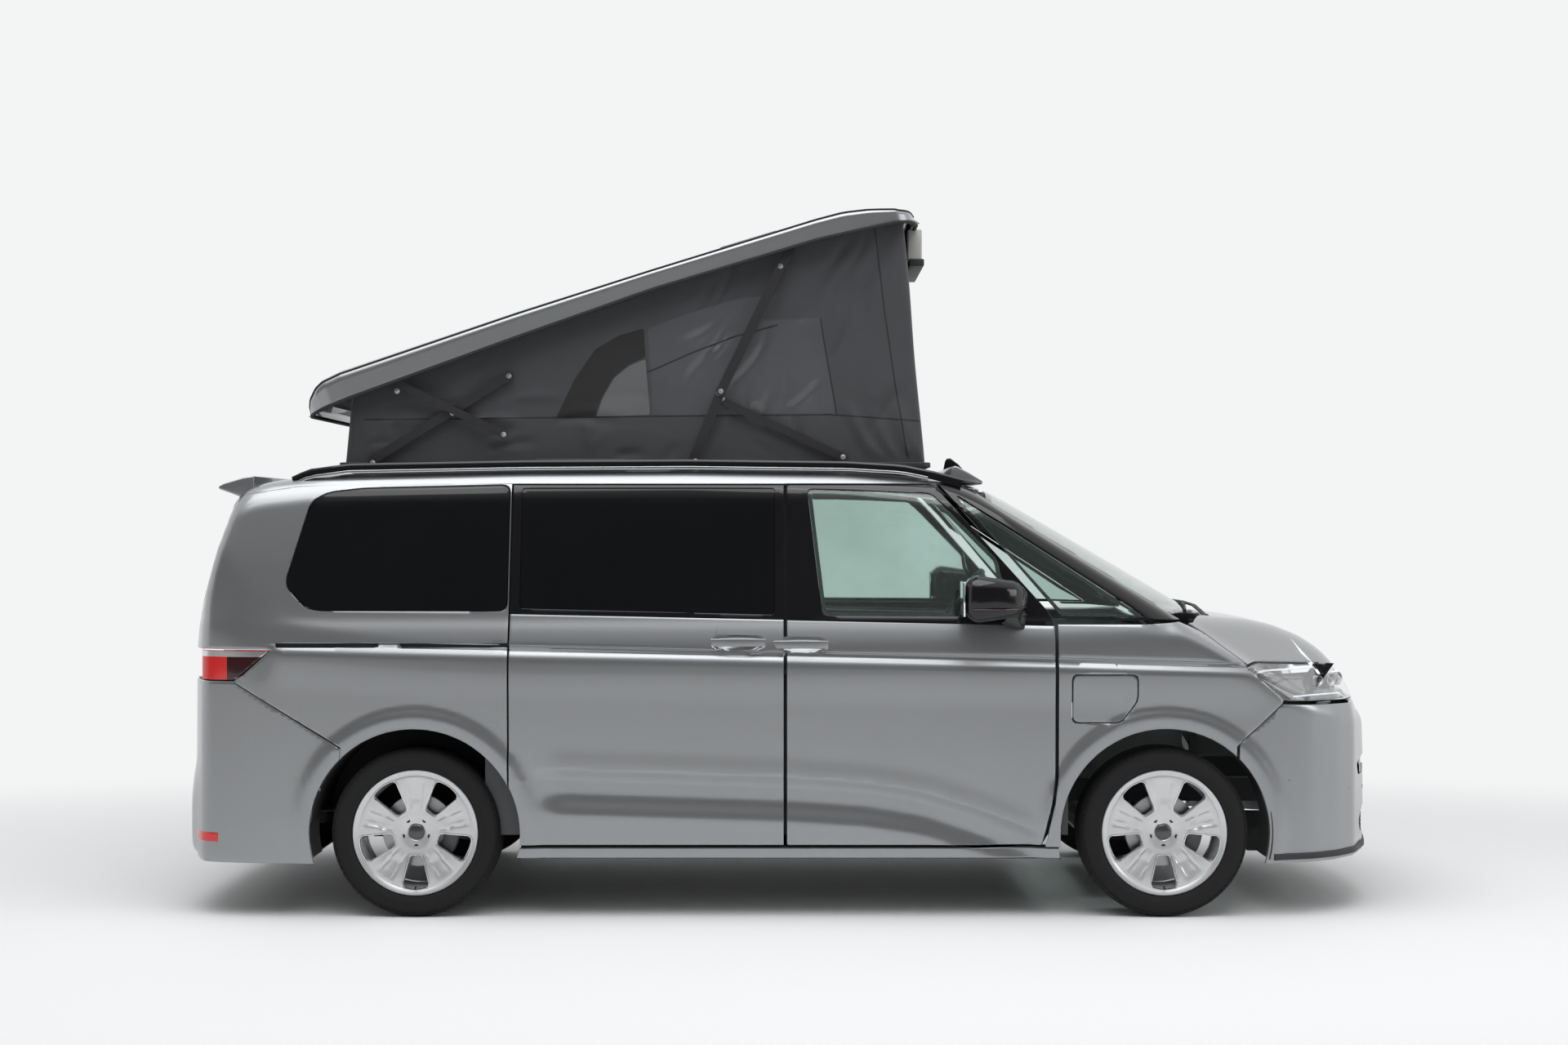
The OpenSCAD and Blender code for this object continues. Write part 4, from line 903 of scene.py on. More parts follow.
def front_door_line(g):
    return [(PILLAR + g, 297 + g), (PILLAR + g, WINDOW_TOP - g), (DOOR_TOP_FRONT[0] - g, WINDOW_TOP - g),
            (1118.5 - g, BELT + 28), (DOOR_FRONT - g, BELT - 25), (DOOR_FRONT - g, 600), (1120.5 - g, 480),
            (1078.5 - g, 297 + g)]


def paint_panel(name, u, v, cuts, wall=26.0, step=(24, 15), lines=(), body="body", sides=2,
                look_name="silver_paint", rim=2.2, left_body=None, replaces=()):
    """A skin between two ranges of the side view, cut to its outlines, given a wall and eased rims."""
    bm = shoulder_field(u, v, *step) if lines else field(u, v, *step)
    for p, q in lines:
        scored(bm, p, q, 0, 1, 22)
    for outline, keep in cuts:
        trim(bm, outline, keep, step=max(step))
    lay_on(bm, right_side, wall=wall)
    ease_rim(bm, rim)
    made = []
    for side in range(sides):
        piece = bm.copy() if side == 0 else mirrored(bm)
        where = body if side == 0 else (left_body or body)
        label = name + ("_right", "_left")[side] if sides == 2 else name
        obj = finish(piece, label, look_name, where)
        if replaces:
            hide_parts(replaces[side])
        made.append(obj)
    bm.free()
    return made


def scallop_lines(x0, x1):
    stations = np.linspace(x0, x1, 9)
    return [((a, float(scallop_line(a)) - d), (b, float(scallop_line(b)) - d))
            for d in (0, 12, 55) for a, b in zip(stations, stations[1:])]


HANDLES = {"front": (72.0, 1138.0), "slide": (-190.0, 1146.0)}


def handle_cup(x, z):
    """Outline of the cup behind a door handle."""
    return rounded([(x - 100, z - 32), (x - 118, z), (x - 96, z + 34), (x + 96, z + 30), (x + 118, z),
        (x + 100, z - 34)], 30, 4)


def door_handle(x, z, body, label, left_body):
    """A flush bow handle over a dished cup."""
    cup_line = handle_cup(x, z)
    for side, where in ((0, body), (1, left_body)):
        bm = field((x - 130, x + 130), (z - 44, z + 44), 9, 7)
        trim(bm, cup_line, "in", step=10)
        flat = np.array([v.co[:] for v in bm.verts])
        hit = right_side(flat[:, 0], flat[:, 1])
        r = np.hypot((flat[:, 0] - x) / 116, (flat[:, 1] - z) / 34)
        for v, h, k in zip(bm.verts, hit, r):
            v.co = Vector(h) + Vector((0, 1, 0)) * (24 * (1 - min(1, k) ** 3) + 1.0)
        bmesh.ops.recalc_face_normals(bm, faces=bm.faces)
        if sum(f.normal.y for f in bm.faces) > 0:
            bmesh.ops.reverse_faces(bm, faces=bm.faces)
        made = bmesh.ops.extrude_face_region(bm, geom=list(bm.faces), use_keep_orig=True)
        bmesh.ops.translate(bm, vec=(0, 3, 0), verts=[g for g in made["geom"] if isinstance(g,
            bmesh.types.BMVert)])
        bmesh.ops.recalc_face_normals(bm, faces=bm.faces)
        y0 = float(right_side(np.array([x]), np.array([z]))[0, 1])
        path = [(x + t * 112, y0 + 8 - 22 * (1 - abs(t) ** 2.6), z + 3 * (1 - t * t)) for t in np.linspace(-1,
            1, 19)]
        bow = swept(path, ring_profile(34, 13, 5.5, 4), up=(0, 1, 0))
        plate = brick((x - 36, y0 - 16.2, z - 12), (x + 36, y0 - 12, z - 3), 2)
        parts = [paint_faces(bm, 0), paint_faces(bow, 0), paint_faces(plate, 1)]
        whole = joined(parts)
        if side:
            bmesh.ops.scale(whole, vec=(1, -1, 1), verts=whole.verts)
            bmesh.ops.reverse_faces(whole, faces=whole.faces)
        finish(whole, f"{label}_handle_" + ("right", "left")[side], "silver_paint", where,
            extra=("bright_trim",))


def build_doors():
    line = front_door_line(GAP)
    lower = [p for p in line]
    top = belt
    waist = [(PILLAR - 60, 200), (PILLAR - 60, top(0) + 2), (DOOR_FRONT + 60, top(DOOR_FRONT) + 2),
        (DOOR_FRONT + 60, 200)]
    cup = handle_cup(*HANDLES["front"])
    paint_panel("front_door_skin", (0, 1140), (290, 1262),
        [(rounded(lower, 10), "in"), (waist, "in"), (cup, "out")], wall=60, lines=scallop_lines(0, 1100),
        body="door_right", left_body="door_left", replaces=("door_front_right", "door_front_left"))
    door_handle(*HANDLES["front"], "door_right", "front_door", "door_left")
    rear = [(DOOR_REAR + GAP, 297 + GAP), (DOOR_REAR + GAP, WINDOW_TOP - GAP),
        (PILLAR - GAP, WINDOW_TOP - GAP), (PILLAR - GAP, 297 + GAP)]
    waist = [(DOOR_REAR - 60, 200), (DOOR_REAR - 60, top(DOOR_REAR) + 2), (PILLAR + 60, top(0) + 2),
        (PILLAR + 60, 200)]
    cup = handle_cup(*HANDLES["slide"])
    paint_panel("sliding_door_skin", (DOOR_REAR - 5, PILLAR), (290, 1276),
                [(rear, "in"), (waist, "in"), (cup, "out"), (circle(REAR_AXLE, AXLE_Z, ARCH + 3, 72), "out")],
                wall=60, lines=scallop_lines(DOOR_REAR, PILLAR),
                replaces=("sliding_door_right", "sliding_door_left"))
    door_handle(*HANDLES["slide"], "body", "sliding_door", "body")
    # Window frames: gloss black round the glass
    frame_top = rounded(front_door_line(GAP), 14)
    above = [(PILLAR - 60, top(0) + 5), (PILLAR - 60, 2000), (DOOR_FRONT + 60, 2000),
        (DOOR_FRONT + 60, top(DOOR_FRONT) + 5)]
    paint_panel("front_door_frame", (0, 1140), (1200, 1812),
        [(frame_top, "in"), (above, "in"), (rounded(FRONT_WINDOW, 26), "out")], wall=30, step=(24, 20),
        look_name="gloss_black", body="door_right", left_body="door_left", rim=1.5)
    above = [(DOOR_REAR - 60, top(DOOR_REAR) + 5), (DOOR_REAR - 60, 2000), (PILLAR + 60, 2000),
        (PILLAR + 60, top(0) + 5)]
    paint_panel("sliding_door_frame", (DOOR_REAR - 5, PILLAR), (1230, 1812),
                [(rear, "in"), (above, "in"), (rounded(SLIDE_WINDOW, 12), "out")], wall=30, step=(24, 20),
                look_name="gloss_black", rim=1.5)
    inner_panels()


def inner_panels():
    """Cloth and moulded linings on the inner side of the doors, with an arm rest and a pull."""
    for name, x0, x1, body, left in (("front_door", 70, 1080, "door_right", "door_left"),
                                     ("sliding_door", -1060, -60, "body", "body")):
        bm = field((x0, x1), (360, 1215), 40, 30)
        trim(bm, rounded([(x0 + 4, 364), (x0 + 4, 1210), (x1 - 4, 1190), (x1 - 4, 560), (x1 - 60, 364)], 40),
            "in", step=40)
        lay_on(bm, right_side, lift=-70, wall=7)
        rest = brick((x0 + 160, -1, 800), (x1 - 260, 46, 862), 14, 3)
        bmesh.ops.translate(rest, vec=(0, -890, 0), verts=rest.verts)
        pocket = brick((x0 + 140, -3, 420), (x1 - 200, 26, 600), 12, 3)
        bmesh.ops.translate(pocket, vec=(0, -886, 0), verts=pocket.verts)
        whole = joined([paint_faces(bm, 0), paint_faces(rest, 1), paint_faces(pocket, 1)])
        both = [(whole.copy(), body, "right"), (mirrored(whole), left, "left")]
        whole.free()
        for piece, where, side in both:
            finish(piece, f"{name}_lining_{side}", "cabin_light", where,
                extra=("cabin_dark",))


def build_sides():
    """The fixed side panels: quarter, sill, wing and the roof edge with its pillars."""
    arch_rear = circle(REAR_AXLE, AXLE_Z, ARCH, 96)
    quarter = [(DOOR_REAR, 200), (DOOR_REAR, 2000), (-2700, 2000), (-2700, 985), (-2300, 985), (-1841.5, 712),
        (-1886, 200)]
    lamp = [(-2610, 1118), (-2134.5, 1118), (-2256.5, 1010), (-2296.5, 985), (-2610, 985)]
    slot = rounded([(-2116, 1126), (-2116, 1144), (-1140, 1146), (-1140, 1128)], 4)
    gate = [(-2700, 900), (-2509, 900), (-2504, 1260), (-2480, 1370), (-2434, 1540), (-2358, 1735),
        (-2318, 1820), (-2700, 1900)]
    top = [(-2700, 1700), (-2700, 2100), (-900, 2100), (-900, 1812), (-1900, 1808), (-2060, 1800),
        (-2310, 1762)]
    bm = shoulder_field((-2560, DOOR_REAR), (250, 1830), 20, 15)
    for outline, keep in ((quarter, "in"), (lamp, "out"), (arch_rear, "out"), (slot, "out"), (gate, "out"),
            (top, "out"), (rounded(grow(QUARTER_GLASS, 3), 40), "out")):
        trim(bm, outline, keep, step=22)
    lay_on(bm, right_side, wall=26)
    ease_rim(bm, 2.2)
    both = (bm.copy(), mirrored(bm))
    bm.free()
    for piece, side in zip(both, ("right", "left")):
        obj = finish(piece, f"quarter_panel_{side}", "silver_paint", "body")
        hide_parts(f"side_frame_{side}")
    # Sill
    sill = [(-1112, 250), (-1100, 292), (1143, 292), (1149, 250)]
    paint_panel("sill", (-1120, 1155), (248, 294), [(sill, "in")], wall=60, step=(60, 8), rim=3)
    # Front wing
    wing = [(1141.5, 1222), (1141.5, 600), (1127.5, 480), (1085.5, 297), (1883, 297), (1883, 716),
            (2078, 890), (2085, 904), (1925, 1048), (1930, 1062), (1760, 1188), (1655, 1232), (1520, 1222)]
    cuts = [(wing, "in"), (circle(FRONT_AXLE, AXLE_Z, ARCH, 96), "out"), (bonnet_gap_side(), "out")]
    for label, extra, sides in (("right", [(charge_line(-3), "out")], 0), ("left", [], 1)):
        bm = shoulder_field((1080, 2090), (230, 1246), 18, 15)
        for outline, keep in cuts + extra:
            trim(bm, outline, keep, step=20)
        lay_on(bm, right_side, wall=24)
        ease_rim(bm, 2.2)
        if sides:
            bmesh.ops.scale(bm, vec=(1, -1, 1), verts=bm.verts)
            bmesh.ops.reverse_faces(bm, faces=bm.faces)
        obj = finish(bm, f"front_wing_{label}", "silver_paint", "body")
        if not sides:
            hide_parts("front_wings")
    # Charge flap on the right
    made = paint_panel("charge_flap_skin", (1195, 1475), (810, 1018), [(charge_line(2.5), "in")], wall=12,
        sides=1, body="charge_flap", step=(14, 14), rim=1.6)
    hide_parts("charge_flap")
    cup = brick((1215, -925, 836), (1440, -880, 1000), 14, 3)
    port = turned([(6, -18), (40, -18), (44, -6), (44, 10), (38, 10), (36, 0), (6, 0)], 32, (1325, -922, 930),
        (0, -1, 0))
    finish(joined([paint_faces(cup, 0), paint_faces(port, 1)]), "charge_socket", "moulded_black", "body",
        extra=("moulded_grey",))
    # Black backs of the rail slots
    for side, sign in (("right", 1), ("left", -1)):
        bm = field((-2125, -1130), (1118, 1152), 40, 12)
        lay_on(bm, right_side, lift=-12, wall=8)
        if sign < 0:
            bmesh.ops.scale(bm, vec=(1, -1, 1), verts=bm.verts)
            bmesh.ops.reverse_faces(bm, faces=bm.faces)
        finish(bm, f"rail_slot_{side}", "seam_black", "body")
    roof_edges()


def charge_line(g):
    return rounded([(1198.5 + g, 1013 - g), (1469.5 - g, 1013 - g), (1469.5 - g, 905), (1400, 815 + g),
        (1198.5 + g, 815 + g)], [26, 26, 26, 26, 26], 4)


def bonnet_gap_side():
    """Side view of the place that the bonnet takes above the wing."""
    return [(1655, 1400), (1655, 1252), (1774, 1178), (1936, 1050), (2700, 1050), (2700, 1400)]


def roof_edges():
    """The bright roof edge above the doors and the black windscreen pillar."""
    for side in (0, 1):
        bm = field((-2300, 760), (-0.02, 1.5), 30, 0.065)
        flat_u = [v.co.copy() for v in bm.verts]
        hit = rail_skin(np.array([c.x for c in flat_u]), np.array([c.y for c in flat_u]))
        for v, h in zip(bm.verts, hit):
            v.co = h
        door = front_door_line(0)
        slide = [(DOOR_REAR - 8, 200), (DOOR_REAR - 8, WINDOW_TOP), (PILLAR + 8, WINDOW_TOP),
                 (PILLAR + 8, 200)]
        below_quarter = [(-3000, 1600), (-3000, 1780), (-2310, 1762), (-2060, 1800), (-1900, 1806),
                         (-1140, 1812), (-1140, 1600)]
        ahead_of_pillar = [(500, 1500), (640, 1812), (700, 1812), (860, 1812), (860, 1500)]
        for outline, keep, axes in ((grow(door, 1), "out", (0, 2)),
                                    (slide, "out", (0, 2)),
                                    (grow(QUARTER_GLASS, 3), "out", (0, 2)),
                                    (below_quarter, "out", (0, 2)),
                                    (ahead_of_pillar, "out", (0, 2)),
                                    (screen_gap_front(8), "out", (1, 2))):
            if axes == (1, 2):
                ahead = [f for f in bm.faces if f.calc_center_median().x > 700]
                if not ahead:
                    continue
                for i, p in enumerate(outline):
                    scored(bm, outline[i - 1], p, 1, 2, 40)
                gone = [f for f in bm.faces if f.calc_center_median().x > 700 and inside(outline,
                    np.array([f.calc_center_median().y]), np.array([f.calc_center_median().z]))[0]]
                bmesh.ops.delete(bm, geom=gone, context="FACES")
            else:
                trim(bm, outline, keep, axes=axes, step=34)
        bmesh.ops.recalc_face_normals(bm, faces=bm.faces)
        if sum((f.normal.z - f.normal.y) * f.calc_area() for f in bm.faces) < 0:
            bmesh.ops.reverse_faces(bm, faces=bm.faces)
        bmesh.ops.solidify(bm, geom=list(bm.faces), thickness=16)
        bmesh.ops.recalc_face_normals(bm, faces=bm.faces)
        if side:
            bmesh.ops.scale(bm, vec=(1, -1, 1), verts=bm.verts)
            bmesh.ops.reverse_faces(bm, faces=bm.faces)
        finish(bm, "roof_edge_" + ("right", "left")[side], "silver_paint", "body")


def screen_gap_front(g):
    """Front view of the windscreen opening."""
    return [(-815 + g, 1200), (-830 + g, 1278), (-690 + g, 1792 + 8 - g), (690 - g, 1792 + 8 - g),
        (830 - g, 1278), (815 - g, 1200)]


def shell(skin, u, v, step, cuts, wall, rim=2.0, lift=0.0):
    """A skin laid first and then cut in space.

    cuts are (outline, keep, axes) and, if need be, a test of the face centres that says where the cut works.
    """
    bm = field(u, v, *step)
    lay_on(bm, skin, lift=lift)
    for cut in cuts:
        outline, keep, axes = cut[:3]
        a, b = axes
        for i, p in enumerate(outline):
            scored(bm, outline[i - 1], p, a, b, max(step) * 1.6)
        faces = list(bm.faces)
        c = np.array([f.calc_center_median() for f in faces])
        within = inside(outline, c[:, a], c[:, b])
        works = cut[3](c) if len(cut) > 3 else np.ones(len(faces), bool)
        gone = [f for f, w, k in zip(faces, within, works) if k and w != (keep == "in")]
        bmesh.ops.delete(bm, geom=gone, context="FACES")
    bmesh.ops.remove_doubles(bm, verts=bm.verts, dist=0.02)
    if wall:
        bmesh.ops.solidify(bm, geom=list(bm.faces), thickness=wall)
        bmesh.ops.recalc_face_normals(bm, faces=bm.faces)
        ease_rim(bm, rim, 60)
    return bm


HEADLAMP = [(1921, 1046), (1986, 1054), (2426.5, 1027), (2526, 950), (2474, 891), (2088, 903)]
TAIL_SEAM = [(-2610, 982), (-2300, 982), (-1843, 706), (-1888, 190), (-2610, 190)]
NOSE_SEAM = [(1890, 190), (1890, 718), (2083, 887), (2620, 873), (2620, 190)]
LAMP_UPPER = [(-2620, 1116), (-2137, 1116), (-2259, 1012), (-2299, 987), (-2620, 987)]
GATE = [(-720, 1930), (-722, 1810), (-845, 1250), (-845, 985), (-660, 985), (-640, 640), (640, 640),
    (660, 985), (845, 985), (845, 1250), (722, 1810), (720, 1930)]
GATE_GLASS = [(-640, 1720), (-770, 1268), (770, 1268), (640, 1720)]
SCREEN = [(-815, 1218), (-830, 1278), (-690, 1792), (690, 1792), (830, 1278), (815, 1218)]
BONNET_PLAN = [(1873, 0), (1857, -250), (1819, -500), (1735, -760), (1658, -880), (1652, -990), (2640, -990),
               (2640, 990), (1652, 990), (1658, 880), (1735, 760), (1819, 500), (1857, 250)]
BONNET_SIDE = [(1600, 1400), (1600, 1295), (1658, 1255), (1776, 1181), (1936, 1055), (1990, 1062),
    (2426, 1036), (2660, 1020), (2660, 1400)]
LOWER_MESH = [(-560, 300), (-600, 360), (-520, 420), (-430, 432), (430, 432), (520, 420), (600, 360),
    (560, 300)]
UPPER_SLOT = [(-610, 560), (-640, 610), (-520, 640), (-200, 652), (200, 652), (520, 640), (640, 610),
    (610, 560), (300, 545), (-300, 545)]


def build_front():
    """Bonnet, front bumper with its grilles, and headlamps."""
    lamp = rounded(HEADLAMP, 22)
    bm = shell(bonnet_skin, (-370, 900), (-985, 985), (22, 22), [
        (BONNET_PLAN, "in", (0, 1)), ([(1500, 903), (1500, 1400), (2700, 1400), (2700, 903)], "in", (0, 2)),
        (BONNET_SIDE, "in", (0, 2), lambda c: np.abs(c[:, 1]) > 560), (grow(lamp, 4), "out", (0, 2))], 18)
    obj = finish(bm, "bonnet_skin", "silver_paint", "bonnet")
    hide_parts("bonnet")
    reach = around_nose(1895)
    bm = shell(nose_skin, (-reach, reach), (226, 905), (22, 16), [
        (NOSE_SEAM, "in", (0, 2)), (circle(FRONT_AXLE, AXLE_Z, ARCH, 96), "out", (0, 2)),
        (grow(lamp, 4), "out", (0, 2)), (rounded(LOWER_MESH, 30), "out", (1, 2), lambda c: c[:, 0] > 2300),
        (rounded(UPPER_SLOT, 20), "out", (1, 2), lambda c: c[:, 0] > 2300)], 18)
    obj = finish(bm, "front_bumper_skin", "silver_paint", "body")
    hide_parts("front_bumper")
    inner = around_nose(2300) + 60
    panel = shell(nose_skin, (-inner, inner), (890, 984), (20, 12), [(grow(lamp, 6), "out", (0, 2))], 12)
    finish(panel, "nose_panel", "silver_paint", "body")
    # Black lower apron, honeycomb mesh and the slats of the upper slot
    parts = []
    back = field((-640, 640), (250, 660), 40, 40)
    lay_on(back, nose_skin, lift=-46, wall=4)
    parts.append(paint_faces(back, 0))
    for z in (572, 590, 608, 626):
        path = nose_line(-560 if z > 600 else -540, 560 if z > 600 else 540, z, -14, 31)
        parts.append(paint_faces(swept(path, ring_profile(9, 24, 3), up=(0, 0, 1)), 1))
    cell = []
    for row, z in enumerate(np.arange(314, 430, 17.0)):
        half = 555 - abs(z - 365) * 0.6
        for y in np.arange(-half + (row % 2) * 10, half, 20.0):
            cell.append((float(y), float(z)))
    for y, z in cell:
        hexed = turned([(10.6, -5), (11.4, 5), (8.6, 5), (8.0, -5)], 6, (0, 0, 0), (1, 0, 0))
        x = float(nose_skin(np.array([y]), np.array([z]))[0, 0])
        yy = float(nose_skin(np.array([y]), np.array([z]))[0, 1])
        bmesh.ops.translate(hexed, vec=(x - 16, yy, z), verts=hexed.verts)
        parts.append(paint_faces(hexed, 1))
    finish(joined(parts), "front_grilles", "seam_black", "body", extra=("gloss_black",))
    # Blank number plate, blank round badge, sensors, splitter
    plate = brick((2588 - 12, -262, 462), (2588 - 2, 262, 574), 4)
    finish(plate, "front_plate", "plate_blank", "body")
    lip = swept(nose_line(-reach + 150, reach - 150, 252, 2, 61), ring_profile(16, 26, 5), up=(0, 0, 1))
    finish(lip, "front_lip", "moulded_black", "body")
    badge = turned([(0.5, 0), (52, 0), (58, -5), (58, -10), (0.5, -10)], 48, (2562, 0, 770), (1, 0, 0.12),
        closed=False)
    finish(badge, "front_badge", "gloss_black", "body")
    bar = swept(nose_line(-640, 640, 998, -6, 41), ring_profile(12, 6, 2), up=(0, 0, 1))
    finish(bar, "light_bar", "led_white", "body")
    parts = []
    for s, z in ((-760, 520), (-520, 500), (520, 500), (760, 520), (-reach + 220, 566), (reach - 220, 566)):
        place = nose_skin(np.array([s]), np.array([float(z)]))[0]
        side = (nose_skin(np.array([s + 3]), np.array([float(z)])) - nose_skin(np.array([s - 3]),
            np.array([float(z)])))[0]
        out = Vector((side[1], -side[0], 0)).normalized()
        parts.append(turned([(0.4, -6), (10, -6), (10, 0.4), (8.5, 1.2), (8, 0.2), (0.4, 0.6)], 24,
            Vector(place), out))
    finish(joined(parts), "front_sensors", "silver_paint", "body")
    headlamps(lamp)


def nose_line(s0, s1, z, lift, count):
    """Points round the nose at a height, lifted off the skin."""
    s = np.linspace(s0, s1, count)
    zz = np.full(count, float(z))
    p = nose_skin(s, zz)
    q = nose_skin(s + 3, zz) - nose_skin(s - 3, zz)
    out = np.stack([q[:, 1], -q[:, 0], np.zeros(count)], 1)
    out /= np.linalg.norm(out, axis=1)[:, None]
    return [tuple(c) for c in p + out * lift]


def headlamps(lamp):
    """Clear lenses over a black bowl with round lamps and a light strip."""
    inner, outer = around_nose(2300) - 330, around_nose(1905)
    for sign, side in ((-1, "right"), (1, "left")):
        glass = shell(nose_skin, (-outer, -inner), (880, 1062), (14, 10), [(lamp, "in", (0, 2))], 3, 0.8,
            lift=1)
        bowl = shell(nose_skin, (-outer, -inner), (876, 1034), (18, 12), [(grow(lamp, 3), "in", (0, 2))], 3,
            0, lift=-48)
        for v in bowl.verts:
            v.co.z = min(v.co.z, 1044.0)
            v.co.x = min(v.co.x, 2526.0)
        parts = [paint_faces(bowl, 0)]
        for x, r in ((2350, 25), (2262, 24), (2172, 19)):
            row = strike(np.array([[x + 350.0, -1250.0, 968.0]]), np.array([[-0.37, 0.93, 0.0]]), 900)[0]
            place = Vector(row) + Vector((-0.37, 0.93, 0)) * 40
            aim = (0.62, -0.78, 0.0)
            parts.append(paint_faces(turned([(0.5, -6), (r * 0.55, -2), (r, 12), (r + 4, 12), (r + 4, -8),
                (0.5, -12)], 32, place, aim), 1))
            parts.append(paint_faces(turned([(0.5, 14), (r * 0.4, 12), (r * 0.62, 4), (r * 0.62, -4),
                (0.5, -5)], 28, place, aim), 2))
        line = nose_line(-around_nose(2010), -(inner + 190), 1020, -20, 25)
        parts.append(paint_faces(swept(line, ring_profile(8, 7, 2), up=(0, 0, 1)), 3))
        lower = nose_line(-around_nose(2140), -(inner + 150), 918, -18, 25)
        parts.append(paint_faces(swept(lower, ring_profile(4, 6, 1.5), up=(0, 0, 1)), 3))
        whole = joined(parts)
        for bm in (glass, whole):
            if sign > 0:
                bmesh.ops.scale(bm, vec=(1, -1, 1), verts=bm.verts)
                bmesh.ops.reverse_faces(bm, faces=bm.faces)
        obj = finish(glass, f"headlamp_glass_{side}", "lens_clear", "body")
        if sign < 0:
            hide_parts("headlamps")
        finish(whole, f"headlamp_bowl_{side}", "gloss_black", "body",
               extra=("brake_steel", "lens_smoke", "led_white"))


def build_rear():
    """Rear bumper, tailgate with its glass, spoiler and plate recess, and tail lamps."""
    reach = around_tail(-1830)
    bm = shell(tail_skin, (-reach, reach), (226, 985), (24, 16), [
        (TAIL_SEAM, "in", (0, 2)), (circle(REAR_AXLE, AXLE_Z, ARCH, 96), "out", (0, 2)),
        (rounded(grow(GATE, 3), 24), "out", (1, 2), lambda c: c[:, 0] < -2200)], 18)
    obj = finish(bm, "rear_bumper_skin", "silver_paint", "body")
    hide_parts("rear_bumper")
    bm = shell(tail_skin, (-960, 960), (640, 1262), (24, 18),
        [(rounded(grow(GATE, -3), 20), "in", (1, 2)), ([(-2700, 600), (-2700, 1256), (-2100, 1256),
        (-2100, 600)], "in", (0, 2)), (LAMP_UPPER, "out", (0, 2))], 26)
    lower = bm
    bm = shell(hatch_skin, (1250, 1990), (-780, 780), (18, 24),
        [(rounded(grow(GATE, -3), 20), "in", (1, 2)), (rounded(grow(GATE_GLASS, 2), 30), "out", (1, 2)),
        ([(-2700, 1256), (-2700, 1990), (-2250, 1990), (-2250, 1256)], "in", (0, 2))], 26)
    for f in bm.faces:
        f.material_index = 1 if 1266 < f.calc_center_median().z < 1742 else 0
    obj = finish(joined([lower, bm]), "tailgate_skin", "silver_paint", "tailgate",
        extra=("gloss_black",))
    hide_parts("tailgate")
    bm = shell(hatch_skin, (1262, 1730), (-780, 780), (18, 30), [(rounded(GATE_GLASS, 30), "in", (1, 2))], 5,
        0.8, lift=-2)
    obj = finish(bm, "tailgate_pane", "privacy_glass", "tailgate")
    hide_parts("tailgate_glass")
    # Spoiler with a raised stop lamp
    blade = slab([(-2262, 1846), (-2310, 1838), (-2395, 1812), (-2416, 1800), (-2412, 1790), (-2360, 1772),
        (-2300, 1748), (-2262, 1742)], -704, 704, "xz", 5, 3)
    lamp = brick((-2421, -150, 1794), (-2411, 150, 1803), 2)
    finish(joined([paint_faces(blade, 0), paint_faces(lamp, 1)]), "spoiler", "silver_paint", "tailgate",
        extra=("lens_smoke",))
    # Plate, handle rail and wiper on the tailgate
    parts = [paint_faces(brick((-2540, -330, 800), (-2526, 330, 925), 6), 0),
        paint_faces(brick((-2546, -262, 806), (-2540, 262, 918), 3), 1),
        paint_faces(brick((-2548, -300, 932), (-2520, 300, 962), 8, 3), 2)]
    finish(joined(parts), "rear_plate", "gloss_black", "tailgate",
        extra=("plate_blank", "bright_trim"))
    arm = swept([(-2508, 0, 1300), (-2518, 30, 1330), (-2500, 260, 1440), (-2486, 420, 1500)],
        ring_profile(16, 8, 2), up=(1, 0, 0))
    hub = turned([(0.5, 0), (24, 0), (24, 16), (18, 22), (0.5, 22)], 28, (-2496, 0, 1300), (-1, 0, 0.1))
    finish(joined([arm, hub]), "rear_wiper", "moulded_black", "tailgate")
    low_end, high_end = around_tail(-2478), around_tail(-2366)
    parts = [shell(tail_skin, u, (312, 350), (20, 8), [], 8, 1.5, lift=2.5) for u in ((low_end, high_end),
        (-high_end, -low_end))]
    # The reflectors take lens_red, whose small emission makes them glow: painted light on parts that are not
    # lamps
    finish(joined(parts), "rear_reflectors", "lens_red", "body")
    for side, sign in (("right", -1), ("left", 1)):
        u = (690, around_tail(-2120)) if sign > 0 else (-around_tail(-2120), -690)
        cuts = [(rounded([(-2620, 1113), (-2144, 1113), (-2262, 1014), (-2300, 990), (-2620, 990)], 8), "in",
            (0, 2)), (grow(GATE, 3), "out", (1, 2))]
        glass = shell(tail_skin, u, (984, 1118), (14, 8), cuts, 4, 1.0, lift=1)
        for f in glass.faces:
            c = f.calc_center_median()
            f.material_index = 1 if 1086 < c.z < 1108 else 0 if c.x < -2330 or c.z > 1108 else 2
        back = shell(tail_skin, u, (984, 1118), (24, 16), cuts, 3, 0, lift=-50)
        obj = finish(joined([glass, paint_faces(back, 3)]), f"tail_lamp_{side}", "lens_red", "body",
            extra=("bright_trim", "lens_smoke", "lamp_chrome"))
        if sign < 0:
            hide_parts("tail_lamps")


def hatch_skin(u, v):
    """u is the height at which a level ray from behind meets the tail, v the place across."""
    z = np.asarray(u, float)
    origin = np.stack([np.full(len(z), -2700.0), v, z], 1)
    return strike(origin, np.array([[1.0, 0.0, 0.0]]), 900)


